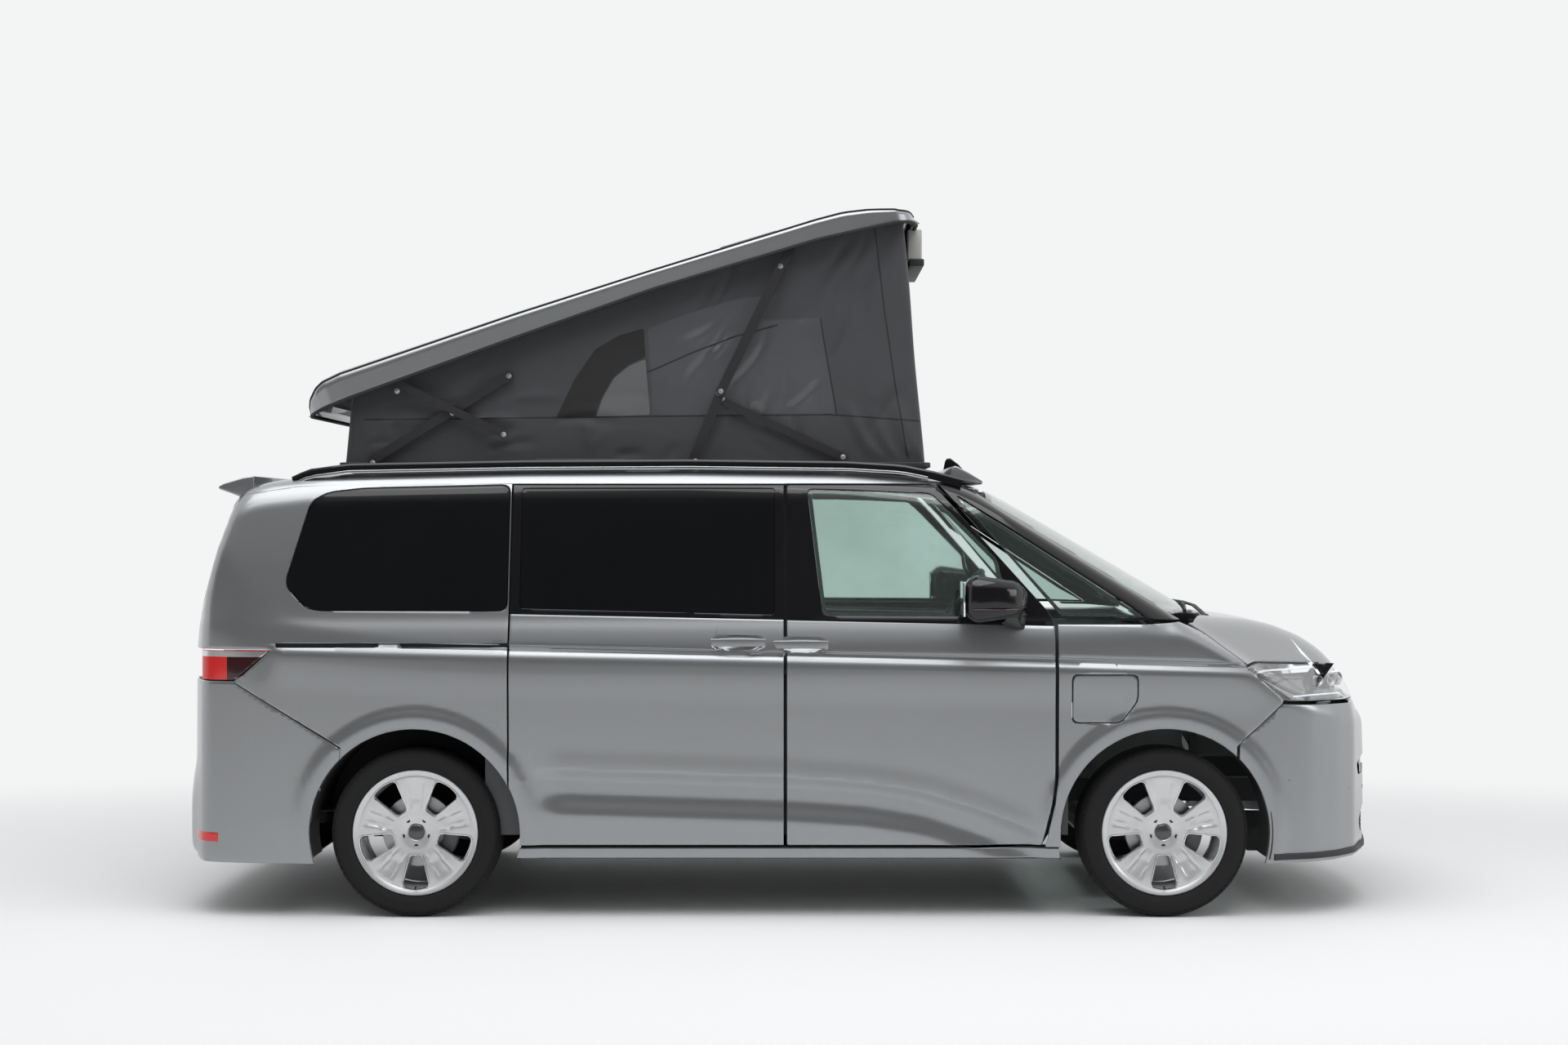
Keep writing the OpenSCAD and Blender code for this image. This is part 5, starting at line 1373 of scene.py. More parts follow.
def build_glass():
    """Windscreen, side glass with printed borders, and the front triangles."""
    bm = shell(screen_skin, (-30, 1110), (-850, 850), (30, 30),
        [(rounded(grow(SCREEN, -4), 60), "in", (1, 2)),
        ([(700, 1262), (700, 1800), (2000, 1800), (2000, 1262)], "in", (0, 2))], 6, 1.0, lift=-2)
    obj = finish(bm, "windscreen_pane", "clear_glass", "body")
    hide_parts("windscreen")
    band = shell(screen_skin, (-30, 1110), (-850, 850), (30, 26), [
        (rounded(grow(SCREEN, -4), 60), "in", (1, 2)), (rounded(grow(SCREEN, -50), 70), "out", (1, 2)),
        ([(700, 1262), (700, 1800), (2000, 1800), (2000, 1262)], "in", (0, 2))], 2, 0, lift=-9)
    finish(band, "windscreen_band", "gloss_black", "body")
    panes = (("quarter", QUARTER_GLASS, "privacy_glass", "body", "body", 40),
        ("sliding", SLIDE_WINDOW, "privacy_glass", "body", "body", 12),
        ("front_door", FRONT_WINDOW, "clear_glass", "door_right", "door_left", 26),
        ("triangle", TRIANGLE, "clear_glass", "body", "body", 18))
    for name, outline, finish_name, right, left, r in panes:
        xs, zs = [p[0] for p in outline], [p[1] for p in outline]
        bm = field((min(xs) - 4, max(xs) + 4), (min(zs) - 4, max(zs) + 4), 30, 26)
        trim(bm, rounded(grow(outline, -1), r), "in", step=30)
        lay_on(bm, right_side, lift=-4, wall=5)
        other = mirrored(bm)
        first = finish(bm, name + "_pane_right", finish_name, right)
        second = finish(other, name + "_pane_left", finish_name, left)
        if name == "front_door":
            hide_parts("door_glass_right")
            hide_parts("door_glass_left")
        if name == "quarter":
            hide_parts("side_glass")
        frame_in = field((min(xs) - 4, max(xs) + 4), (min(zs) - 4, max(zs) + 4), 30, 26)
        trim(frame_in, rounded(grow(outline, -1), r), "in", step=30)
        trim(frame_in, rounded(grow(outline, -17), max(8, r - 10)), "out", step=30)
        lay_on(frame_in, right_side, lift=-10, wall=3)
        other = mirrored(frame_in)
        finish(frame_in, name + "_band_right", "gloss_black", right)
        finish(other, name + "_band_left", "gloss_black", left)


def build_pillars():
    """Gloss black windscreen pillars and the black band of the door posts."""
    screen = rounded(grow(SCREEN, 3), 60)
    for side in (0, 1):
        bm = shell(rail_skin, (540, 1860), (-0.75, 1.75), (22, 0.045),
            [(grow(front_door_line(0), 2), "out", (0, 2)), (grow(rounded(TRIANGLE, 18), 3), "out", (0, 2)),
            ([(655, 1811), (1133, 1262), (1133, 1247), (1700, 1240), (1900, 1240), (900, 1812)], "in",
            (0, 2)), (screen, "out", (1, 2))], 14, 1.2)
        if side:
            bmesh.ops.scale(bm, vec=(1, -1, 1), verts=bm.verts)
            bmesh.ops.reverse_faces(bm, faces=bm.faces)
        finish(bm, "screen_pillar_" + ("right", "left")[side], "gloss_black", "body")
        post = field((-60, 70), (330, 1808), 30, 40)
        lay_on(post, right_side, lift=-78, wall=30)
        rear = field((-1250, -1080), (330, 1808), 30, 40)
        lay_on(rear, right_side, lift=-78, wall=30)
        front = field((1040, 1190), (330, 1262), 30, 40)
        lay_on(front, right_side, lift=-78, wall=30)
        whole = joined([post, rear, front])
        if side:
            bmesh.ops.scale(whole, vec=(1, -1, 1), verts=whole.verts)
            bmesh.ops.reverse_faces(whole, faces=whole.faces)
        finish(whole, "door_posts_" + ("right", "left")[side], "moulded_grey", "body")


def build_roof():
    """Roof skin round the hatch, gutter rails, front cowl and aerial."""
    hatch = rounded([(-1882.5, -548), (-1882.5, 548), (601.5, 548), (601.5, -548)], 40)
    bm = shell(roof_skin, (-2262, 945), (-700, 700), (28, 22), [
        (hatch, "out", (0, 1)), (grow(SCREEN, 4), "out", (1, 2), lambda c: c[:, 0] > 640),
        ([(-2700, 1500), (-2700, 2100), (-2260, 2100), (-2260, 1500)], "out", (0, 2)),
        ([(-2300, -684), (-2300, 684), (1200, 684), (1200, -684)], "in", (0, 1))], 20)
    obj = finish(bm, "roof_skin", "silver_paint", "body")
    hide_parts("roof_panel")
    liner = [brick((-1882, s * 548 - 5, 1760), (601, s * 548 + 5, 1850), 2) for s in (-1, 1)]
    finish(joined(liner), "hatch_frame", "roof_liner", "body")
    for side, sign in (("right", -1), ("left", 1)):
        path = [(x, sign * rail_y(x), float(rail_top(x))) for x in np.linspace(-2092, 760, 70)]
        rail = swept(path, [(-19, -20), (17, -24), (19, 2), (12, 13), (-10, 14), (-19, 8)], up=(0, 0, 1))
        strip = swept([(x, sign * (rail_y(x) + 24), float(rail_top(x)) - 22) for x in np.linspace(-2080, 610,
            60)], ring_profile(6, 12, 2), up=(0, 0, 1))
        obj = finish(joined([paint_faces(rail, 0), paint_faces(strip, 1)]), f"roof_rail_{side}",
            "gloss_black", "body", extra=("bright_trim",))
        if sign < 0:
            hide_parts("roof_rails")
    cowl = slab([(614, 1834), (614, 1856), (700, 1838), (720, 1844), (724, 1880), (736, 1893), (752, 1890),
        (800, 1864), (862, 1826), (860, 1812)], -560, 560, "xz", 6, 3)
    finish(cowl, "front_cowl", "silver_paint", "body")
    fin = slab([(730, 1884), (738, 1926), (746, 1940), (762, 1943), (800, 1914), (846, 1862), (790, 1850)],
        -9, 9, "xz", 7, 3)
    finish(fin, "aerial", "gloss_black", "body")


def rail_y(x):
    return float(np.interp(x, [-2100, -1900, 500, 765], [706, 728, 730, 712]))


def rail_top(x):
    return np.interp(x, [-2100, -2020, -1850, -1100, -400, 270, 500, 640, 765],
                     [1826, 1862, 1884, 1898, 1902, 1894, 1880, 1852, 1818])


def build_mirrors():
    """Door mirrors with black housings, glass, indicator and arm."""
    for side, body in (("right", "door_right"), ("left", "door_left")):
        head = brick((738, -1160, 1238), (1004, -950, 1428), 62, 6)
        for v in head.verts:
            k = max(0.0, (v.co.x - 800) / 204)
            v.co.z = 1322 + (v.co.z - 1322) * (1 - 0.42 * k * k)
            v.co.y = -950 + (v.co.y + 950) * (1 - 0.5 * k * k)
        glass = brick((731, -1138, 1262), (740, -972, 1404), 4, 3)
        line = [(x, -951 - 210 * (1 - 0.5 * max(0.0, (x - 800) / 204) ** 2), 1292) for x in range(770, 980,
            14)]
        lamp = swept(line, ring_profile(9, 5, 2), up=(0, 0, 1))
        arm = swept([(905, -985, 1262), (950, -950, 1240), (985, -925, 1230), (1010, -896, 1226)],
            ring_profile(66, 34, 13), up=(1, 0, 0))
        foot = slab([(905, 1212), (905, 1250), (990, 1262), (1096, 1236), (1096, 1206), (980, 1200)], -918,
            -890, "xz", 6)
        whole = joined([paint_faces(head, 0), paint_faces(glass, 1), paint_faces(lamp, 2),
            paint_faces(arm, 0), paint_faces(foot, 0)])
        if side == "left":
            bmesh.ops.scale(whole, vec=(1, -1, 1), verts=whole.verts)
            bmesh.ops.reverse_faces(whole, faces=whole.faces)
        obj = finish(whole, "mirror_head_" + side, "gloss_black", body,
            extra=("mirror_glass", "lens_smoke"))
        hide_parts("mirror_" + side)


# ---------------------------------------------------------------- wheels


def window_outline(angle, inner=97.0, outer=232.0, w0=24.0, w1=56.0):
    """One opening between two blades, in the face of the rim."""
    a = math.radians(angle)
    c, s = math.cos(a), math.sin(a)
    local = rounded([(inner, -w0), (outer - 8, -w1), (outer + 6, 0), (outer - 8, w1), (inner, w0)],
        [14, 20, 60, 20, 14], 5)
    return [(r * c - t * s, r * s + t * c) for r, t in local]


def build_wheels():
    """Wheels with five broad blades, bolts, caps and valves; tyres with tread; brakes."""
    for axle, x in (("front", FRONT_AXLE), ("rear", REAR_AXLE)):
        for side, sign in (("right", -1), ("left", 1)):
            wheel(f"{axle}_{side}", x, sign)
            tyre(f"{axle}_{side}", x, sign)
            brake(f"{axle}_{side}", x, sign, axle)


def out_place(bm, x, sign):
    """Moves a piece drawn about the origin, with +Y outwards, to its wheel."""
    if sign < 0:
        bmesh.ops.rotate(bm, cent=(0, 0, 0), matrix=Matrix.Rotation(math.pi, 3, "Z"), verts=bm.verts)
    bmesh.ops.translate(bm, vec=(x, sign * WHEEL_Y, AXLE_Z), verts=bm.verts)
    return bm


def face_height(r, a):
    """How far the blades' face stands out: a low cone, with a groove and an inner wedge on each blade."""
    base = 84 + 16 * ease(60, 225, r) - 10 * (1 - ease(30, 70, r))
    t = (np.degrees(a) - 18.0 + 36) % 72.0 - 36.0
    across = r * np.radians(t)
    groove = -4.5 * (1 - ease(2.5, 5.0, np.abs(np.abs(across) - 16 - 0.06 * r))) * ease(100, 118,
        r) * (1 - ease(212, 226, r))
    dish = -5 * (1 - ease(10, 30, np.abs(across))) * ease(110, 150, r) * (1 - ease(200, 226, r))
    return base + groove + dish


def wheel(label, x, sign):
    disc = bmesh.new()
    bmesh.ops.create_grid(disc, x_segments=150, y_segments=22, size=0.5)
    for v in disc.verts:
        v.co = Vector((32 + (v.co.y + 0.5) * 208, 2 * math.pi * (v.co.x + 0.5), 0))
    rows = np.array([v.co[:] for v in disc.verts])
    for v, (r, a, _) in zip(disc.verts, rows):
        v.co = Vector((r * math.cos(a), 0, r * math.sin(a)))
    bmesh.ops.remove_doubles(disc, verts=disc.verts, dist=0.05)
    for k in range(5):
        trim(disc, window_outline(54 + 72 * k), "out", axes=(0, 2), step=16)
    p = np.array([v.co[:] for v in disc.verts])
    h = face_height(np.hypot(p[:, 0], p[:, 2]), np.arctan2(p[:, 2], p[:, 0]))
    for v, y in zip(disc.verts, h):
        v.co.y = y
    bmesh.ops.recalc_face_normals(disc, faces=disc.faces)
    if sum(f.normal.y for f in disc.faces) < 0:
        bmesh.ops.reverse_faces(disc, faces=disc.faces)
    bmesh.ops.solidify(disc, geom=list(disc.faces), thickness=34)
    bmesh.ops.recalc_face_normals(disc, faces=disc.faces)
    ease_rim(disc, 2.2, 55)
    for f in disc.faces:
        f.material_index = 0 if f.calc_center_median().y > 62 and f.normal.y > -0.3 else 1
    rim = turned([(234, 84), (238, 100), (250, 108), (259, 110), (262, 106), (259, 100), (246, 92), (240, 60),
        (232, 10), (236, -60), (246, -92), (260, -100), (262, -106), (258, -108), (244, -100), (228, -62),
        (222, 8), (228, 60)], 96, (0, 0, 0))
    parts = [disc, paint_faces(rim, 0)]
    for k in range(5):
        edge = []
        for x_edge, z_edge in window_outline(54 + 72 * k, 93, 236, 29, 61):
            reach, turn = math.hypot(x_edge, z_edge), math.atan2(z_edge, x_edge)
            edge.append((x_edge, float(face_height(np.array([reach]), np.array([turn]))[0]) + 1.0, z_edge))
        loop = edge[3:] + edge[:3]
        parts.append(paint_faces(swept(loop + [loop[0]], ring_profile(5, 5, 1.6, 2), up=(0, 1, 0), caps=True),
            2))
        a = math.radians(54 + 72 * k)
        bolt = turned([(0.4, 6), (9.5, 6), (10.5, 4), (10.5, -6), (12, -6), (12, -9), (0.4, -9)], 12,
                      (60 * math.cos(a), 76, 60 * math.sin(a)))
        parts.append(paint_faces(bolt, 3))
    cap = turned([(0.4, 82), (26, 81), (31, 78), (33, 74), (33, 60), (0.4, 60)], 48, (0, 0, 0))
    ring = turned([(33.6, 74), (36.5, 76), (38.5, 74), (38.5, 62), (33.6, 62)], 48, (0, 0, 0))
    valve = rod((0, 96, -226), (0, 116, -233), 4, 14, ease=1)
    hub = turned([(0.4, 52), (58, 52), (66, 40), (66, -20), (0.4, -20)], 40, (0, 0, 0))
    parts += [paint_faces(cap, 1), paint_faces(ring, 2), paint_faces(valve, 3), paint_faces(hub, 1)]
    obj = finish(out_place(joined(parts), x, sign), "alloy_" + label, "wheel_face", "wheel_" + label,
                 extra=("wheel_dark", "bright_trim", "seam_black"))
    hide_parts("wheel_" + label)


def tyre(label, x, sign):
    """A tyre with a ribbed tread, sipes and a rounded shoulder."""
    half = [(262, 100), (266, 108), (276, 113), (296, 116.5), (316, 116), (332, 111), (342, 104), (347.5, 94),
        (350, 84)]
    tread = []
    depth = bpy.context.scene.camper_shape.tread * 1000
    for y0, y1 in ((84, 66), (52, 30), (18, -18), (-30, -52), (-66, -84)):
        tread += [(351.6, y0), (351.9, (y0 + y1) / 2), (351.6, y1), (351.6 - depth, y1 - 2),
            (351.6 - depth, y1 - 10)]
    tread = tread[:-2]
    lower = [(r, -y) for r, y in reversed(half)]
    inner = [(262, -92), (282, -98), (322, -92), (338, -60), (340, 0), (338, 60), (322, 92), (282, 98),
        (262, 92)]
    bm = turned(half + tread + lower + inner, 144, (0, 0, 0))
    rims = [paint_faces(turned([(284, 113.4), (286, 115.4), (288.5, 116), (290, 114.6)], 96, (0, 0, 0)), 0)]
    blocks = []
    for k in range(72):
        a = 2 * math.pi * k / 72
        for y0, y1 in ((70, 112), (-112, -70)):
            b = brick((-9.5, y0, 344.5), (9.5, y1, 350.6 if abs(y1) < 100 else 349.6), 1.5, 1)
            for v in b.verts:
                if abs(v.co.y) > 96:
                    v.co.z -= 7
            bmesh.ops.rotate(b, cent=(0, 0, 0), matrix=Matrix.Rotation(a, 3, "Y"), verts=b.verts)
            blocks.append(b)
    obj = finish(out_place(joined([bm] + rims + blocks), x, sign), "rubber_" + label, "tyre_rubber",
        "wheel_" + label, sharp=30)
    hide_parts("tyre_" + label)


def brake(label, x, sign, axle):
    """Disc and caliper behind the blades."""
    disc = turned([(70, 22), (150, 22), (152, 20), (152, 2), (150, 0), (92, 0), (88, -30), (66, -30)], 72,
        (0, 0, 0))
    where = "knuckle_" + label.split("_")[1] if axle == "front" else "body"
    parts = [paint_faces(disc, 0)]
    outer = arc(0, 0, 172, 150, 214, 10)
    inner = arc(0, 0, 108, 214, 150, 10)
    caliper = slab(outer + inner, -14, 36, "xz", 6, 2)
    parts.append(paint_faces(caliper, 1))
    finish(out_place(joined(parts), x, sign), "brake_" + label, "brake_steel", where,
        extra=("cast_metal",))


def build_underside():
    """Arch liners and the flat shields under the floor."""
    parts = []
    for x, angles in ((FRONT_AXLE, (-14, 194)), (REAR_AXLE, (-14, 194))):
        for sign in (-1, 1):
            outer = arc(x, AXLE_Z, 451, angles[0], angles[1], 40)
            inner = arc(x, AXLE_Z, 447, angles[1], angles[0], 40)
            parts.append(slab(outer + inner, sign * 700, sign * 938, "xz"))
    for x0, x1, w in ((-1080, 1130, 860), (1990, 2440, 640), (-2480, -1990, 700)):
        parts.append(brick((x0, -w, 236), (x1, w, 244), 3))
    finish(joined(parts), "liners", "moulded_black", "body")


# ---------------------------------------------------------------- pop-up roof and tent

SHELL_TOP = [(-2051.5, 1887), (-2041, 1925), (-2023.5, 1954), (-1985, 1990), (-1943.5, 2010), (-1857.5, 2021),
    (-1057.5, 2023), (-439.5, 2013), (296.5, 1996), (408.5, 1989), (512.5, 1967), (620, 1933), (700, 1902),
    (708.5, 1890)]
SHELL_FOOT = [(-2051.5, 1886), (-1857.5, 1898), (-1089.5, 1918), (-467.5, 1928), (266.5, 1906), (618.5, 1872),
    (708.5, 1850)]
SHELL_PLAN = [(-2051.5, 540), (-2046, 572), (-2017.5, 622), (-1985, 648), (-1937.5, 660), (-1860, 662),
    (436.5, 662), (560, 652), (626.5, 637), (670, 610), (690, 570), (708.5, 470)]


def raised(bm):
    """Turns a piece drawn on the closed roof into its raised place."""
    pole = Vector((ROOF_POLE[0], 0, ROOF_POLE[1]))
    bmesh.ops.rotate(bm, cent=pole, matrix=Matrix.Rotation(-ROOF_ANGLE, 3, "Y"), verts=bm.verts)
    return bm


def raised_place(x, z):
    c, s = math.cos(ROOF_ANGLE), math.sin(ROOF_ANGLE)
    dx, dz = x - ROOF_POLE[0], z - ROOF_POLE[1]
    return ROOF_POLE[0] + dx * c - dz * s, ROOF_POLE[1] + dx * s + dz * c


def line_at(points, x):
    p = np.array(points, float)
    return np.interp(x, p[:, 0], p[:, 1])


def shell_place(x, s):
    """A place on the roof shell: s runs from -1 to 1 across it, down its sides at the ends."""
    half, top, foot = line_at(SHELL_PLAN, x), line_at(SHELL_TOP, x), line_at(SHELL_FOOT, x)
    ends = np.clip((708.5 - x) / 150, 0, 1) * np.clip((x + 2051.5) / 150, 0, 1)
    a = np.abs(s)
    across = np.clip(a / 0.74, 0, 1)
    y = half * np.where(a < 0.74, across * 0.93, 0.93 + 0.07 * np.sin(np.clip((a - 0.74) / 0.1, 0,
        1) * math.pi / 2))
    band = foot + (top - foot) * np.where(ends > 0.5, 0.70, 0.62)
    fall = np.clip((a - 0.74) / 0.1, 0, 1)
    z_top = top + 14 * (1 - across ** 2) * ends
    z = np.where(a < 0.74, z_top, band + (top - band) * np.cos(fall * math.pi / 2))
    z = np.where(a > 0.84, band + (foot - band) * np.clip((a - 0.84) / 0.16, 0, 1), z)
    y = y - np.where(a > 0.84, 7 * np.clip((a - 0.84) / 0.16, 0, 1), 0)
    return x, np.sign(s) * y, z


def build_shell():
    """The roof shell with its seals, hatches, lining, front box and catches."""
    xs = np.unique(np.concatenate([np.linspace(-2051.5, -1850, 22), np.linspace(-1850, 430, 70),
        np.linspace(430, 708.5, 26)]))
    bm = bmesh.new()
    bmesh.ops.create_grid(bm, x_segments=len(xs) - 1, y_segments=100, size=0.5)
    for v in bm.verts:
        x = xs[int(round((v.co.x + 0.5) * (len(xs) - 1)))]
        v.co = Vector([float(c) for c in shell_place(x, v.co.y * 2)])
    rims = [e for e in bm.edges if e.is_boundary and min(abs(e.verts[0].co.x - xs[0]),
        abs(e.verts[0].co.x - xs[-1])) < 0.1 and abs(e.verts[0].co.x - e.verts[1].co.x) < 0.1]
    made = bmesh.ops.extrude_edge_only(bm, edges=rims)
    for g in made["geom"]:
        if isinstance(g, bmesh.types.BMVert):
            g.co.z = float(line_at(SHELL_FOOT, g.co.x))
    bmesh.ops.remove_doubles(bm, verts=bm.verts, dist=0.5)
    bmesh.ops.recalc_face_normals(bm, faces=bm.faces)
    if sum(f.normal.z * f.calc_area() for f in bm.faces) < 0:
        bmesh.ops.reverse_faces(bm, faces=bm.faces)
    obj = finish(raised(bm), "roof_shell", "silver_paint", "pop_up_roof")
    wall = obj.modifiers.new("wall", "SOLIDIFY")
    wall.thickness = 0.018
    wall.offset = -1.0
    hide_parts("pop_up_roof")
    parts = []
    for s, w, h, lift in ((1.0, 16, 12, -2), (0.80, 7, 6, 3)):
        side = [tuple(float(c) for c in shell_place(x, s)) for x in xs]
        loop = [(x, -y, z) for x, y, z in side] + [(x, y, z) for x, y, z in reversed(side)]
        loop = [(x, y, z + lift) for x, y, z in loop]
        parts.append(swept(loop + [loop[0]], ring_profile(w, h, 2.5), up=(0, 0, 1)))
    finish(raised(joined(parts)), "shell_seals", "seal_rubber", "pop_up_roof")
    parts = []
    for x0, x1, half in ((-1400, -1140, 290), (-160, 150, 350)):
        z0 = float(line_at(SHELL_TOP, x0)) + 8
        slope = (float(line_at(SHELL_TOP, x1)) - float(line_at(SHELL_TOP, x0))) / (x1 - x0)
        lid = slab([(x0, z0 - 6), (x0 + 8, z0 + 22), (x0 + 30, z0 + 30),
            (x1 - 30, z0 + 30 + slope * (x1 - x0)), (x1 - 8, z0 + 22 + slope * (x1 - x0)),
            (x1, z0 - 6 + slope * (x1 - x0))], -half, half, "xz", 6)
        parts.append(lid)
    finish(raised(joined(parts)), "roof_hatches", "gloss_black", "pop_up_roof")
    # Corrugated lining under the shell
    lining = field((-2010, 520), (-580, 580), 9, 60)
    for v in lining.verts:
        x = v.co.x
        v.co.z = float(line_at(SHELL_TOP,
            x)) - 30 - 3.5 * math.cos(2 * math.pi * x / 36) - 8 * abs(v.co.y / 600) ** 3
    bmesh.ops.recalc_face_normals(lining, faces=lining.faces)
    bmesh.ops.solidify(lining, geom=list(lining.faces), thickness=5)
    finish(raised(lining), "shell_lining", "roof_liner", "pop_up_roof")
    box = [paint_faces(brick((548, -330, 2812), (612, 330, 2950), 8, 3), 0),
        paint_faces(brick((556, -336, 2786), (622, 336, 2818), 6, 3), 1)]
    bellows = finish(joined(box), "front_box", "cabin_light", "pop_up_roof",
        extra=("moulded_black",))
    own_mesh(bellows)


TENT_REAR, TENT_FRONT, TENT_HALF, TENT_FOOT = -1902.0, 611.0, 578.0, 1893.0
TENT_TOP = [raised_place(x, z) for x, z in ((-1960, 1990), (-1817.5, 2001), (-1057.5, 2003), (-439.5, 1993),
    (408.5, 1969), (512.5, 1947), (640, 1905))]
RING = 2 * (TENT_FRONT - TENT_REAR) + 4 * TENT_HALF


def ring_place(u):
    """The way round the tent to its plan place and outward direction, with rounded corners."""
    corners = [(TENT_REAR, 0), (TENT_REAR, -TENT_HALF), (TENT_FRONT, -TENT_HALF), (TENT_FRONT, TENT_HALF),
        (TENT_REAR, TENT_HALF), (TENT_REAR, 0)]
    c = np.array(corners, float)
    s = np.concatenate([[0], np.cumsum(np.hypot(*np.diff(c, axis=0).T))])
    x = sum(np.interp(u + d, s, c[:, 0]) for d in (-24, -12, 0, 12, 24)) / 5
    y = sum(np.interp(u + d, s, c[:, 1]) for d in (-24, -12, 0, 12, 24)) / 5
    return x, y


def tent_creases():
    """Where the cloth is drawn into folds: start, end, width and height of each, on the flat cloth."""
    rng = np.random.default_rng(11)
    side = TENT_HALF
    rows = []
    for _ in range(26):
        x = rng.uniform(-300, 420)
        z = rng.uniform(250, 900)
        rows.append((side + x - TENT_REAR, z, side + x - TENT_REAR - rng.uniform(40, 200),
            z - rng.uniform(120, 330), rng.uniform(9, 22), rng.uniform(-1, 1)))
    for _ in range(22):
        x = rng.uniform(-1880, -700)
        z = rng.uniform(20, 330)
        rows.append((side + x - TENT_REAR, z, side + x - TENT_REAR + rng.uniform(90, 330),
            z + rng.uniform(-40, 60), rng.uniform(10, 24), rng.uniform(-1, 1)))
    for _ in range(16):
        x = rng.uniform(-900, 560)
        z = rng.uniform(0, 200)
        rows.append((side + x - TENT_REAR, z, side + x - TENT_REAR + rng.uniform(-150, 150),
            z + rng.uniform(60, 220), rng.uniform(10, 20), rng.uniform(-1, 1)))
    for x, dx in ((606, -95), (560, -60), (500, -120), (440, -170), (400, -110)):
        rows.append((side + x - TENT_REAR, 20, side + x - TENT_REAR + dx, 260, 16, 0.9))
        rows.append((side + x - TENT_REAR - 60, 1010, side + x - TENT_REAR - 90 + dx * 1.6, 640, 18, -0.8))
    for x in (-1890, -1850, -1800):
        rows.append((side + x - TENT_REAR, 250, side + x - TENT_REAR + 140, 20, 18, 0.9))
    other = [(RING - a, b, RING - c, d, w, h) for a, b, c, d, w, h in rows]
    ends = [(rng.uniform(3100, 4240), rng.uniform(60, 900), 0, 0, rng.uniform(14, 26),
        rng.uniform(-1, 1)) for _ in range(22)]
    ends = [(a, b, a + rng.uniform(-40, 40), b + rng.uniform(120, 300), w, h) for a, b, _, _, w, h in ends]
    return rows + other + ends


def fold_height(u, v, rows, depth):
    out = np.zeros(len(u))
    for a, b, c, d, w, h in rows:
        run = np.array([c - a, d - b])
        length = np.hypot(*run)
        run = run / length
        along = (u - a) * run[0] + (v - b) * run[1]
        off = (u - a) * run[1] - (v - b) * run[0] + 10 * np.sin(along / 60)
        width = w * (0.5 + 0.9 * np.clip(along / length, 0, 1))
        inside_part = ease(-0.1 * length, 0.25 * length,
            along) * (1 - ease(0.6 * length, 1.15 * length, along))
        out += h * np.exp(-(off / width) ** 2) * inside_part
    slow = 0.5 * np.sin(u / 210 + 1.3) * np.sin(v / 170) + 0.35 * np.sin(u / 97 + v / 120)
    return depth * (np.tanh(out * 0.8) + 0.28 * slow)


def flat_side(points):
    """Outline given on the right side of the tent, put on the flat cloth."""
    return [(TENT_HALF + x - TENT_REAR, z - TENT_FOOT) for x, z in points]


def tent_panels():
    """Rolled flap, mesh and window cloth on the right side, as flat outlines with their finish."""
    band = [(-993.1, 2099.4), (-918.8, 2261.9), (-827.0, 2396.2), (-720.9, 2456.3), (-607.8, 2488.1),
        (-600.8, 2360.9), (-671.5, 2332.6), (-742.1, 2276.1), (-791.6, 2191.2), (-823.4, 2102.9)]
    mesh = [(-816.4, 2102.9), (-788.1, 2187.7), (-738.6, 2272.5), (-671.5, 2325.5), (-600.8, 2353.8),
        (-579.6, 2113.5)]
    cloth = [(-590.2, 2484.6), (-424.1, 2544.6), (-212.0, 2608.2), (7.1, 2636.5), (-70.7, 2523.4),
        (194.4, 2530.5), (240.3, 2120.6), (-565.4, 2113.5)]
    return [(flat_side(band), 2), (flat_side(mesh), 3), (flat_side(cloth), 1)]


def tent_seams():
    low = [(-1837.7, 2092.3), (-1413.6, 2095.8), (-565.4, 2106.4), (212.0, 2113.5), (614.9, 2085.2)]
    flap = [(-583.1, 2300.8), (-388.7, 2382.1), (-194.4, 2452.8), (0.0, 2502.2)]
    front = [(473.6, 2919.2), (487.7, 2565.8), (508.9, 2247.8), (537.2, 1929.7)]
    window = [(194.4, 2530.5), (205.0, 2424.5), (226.2, 2247.8), (240.3, 2120.6)]
    return [flat_side(line) for line in (low, flap, front, window)]


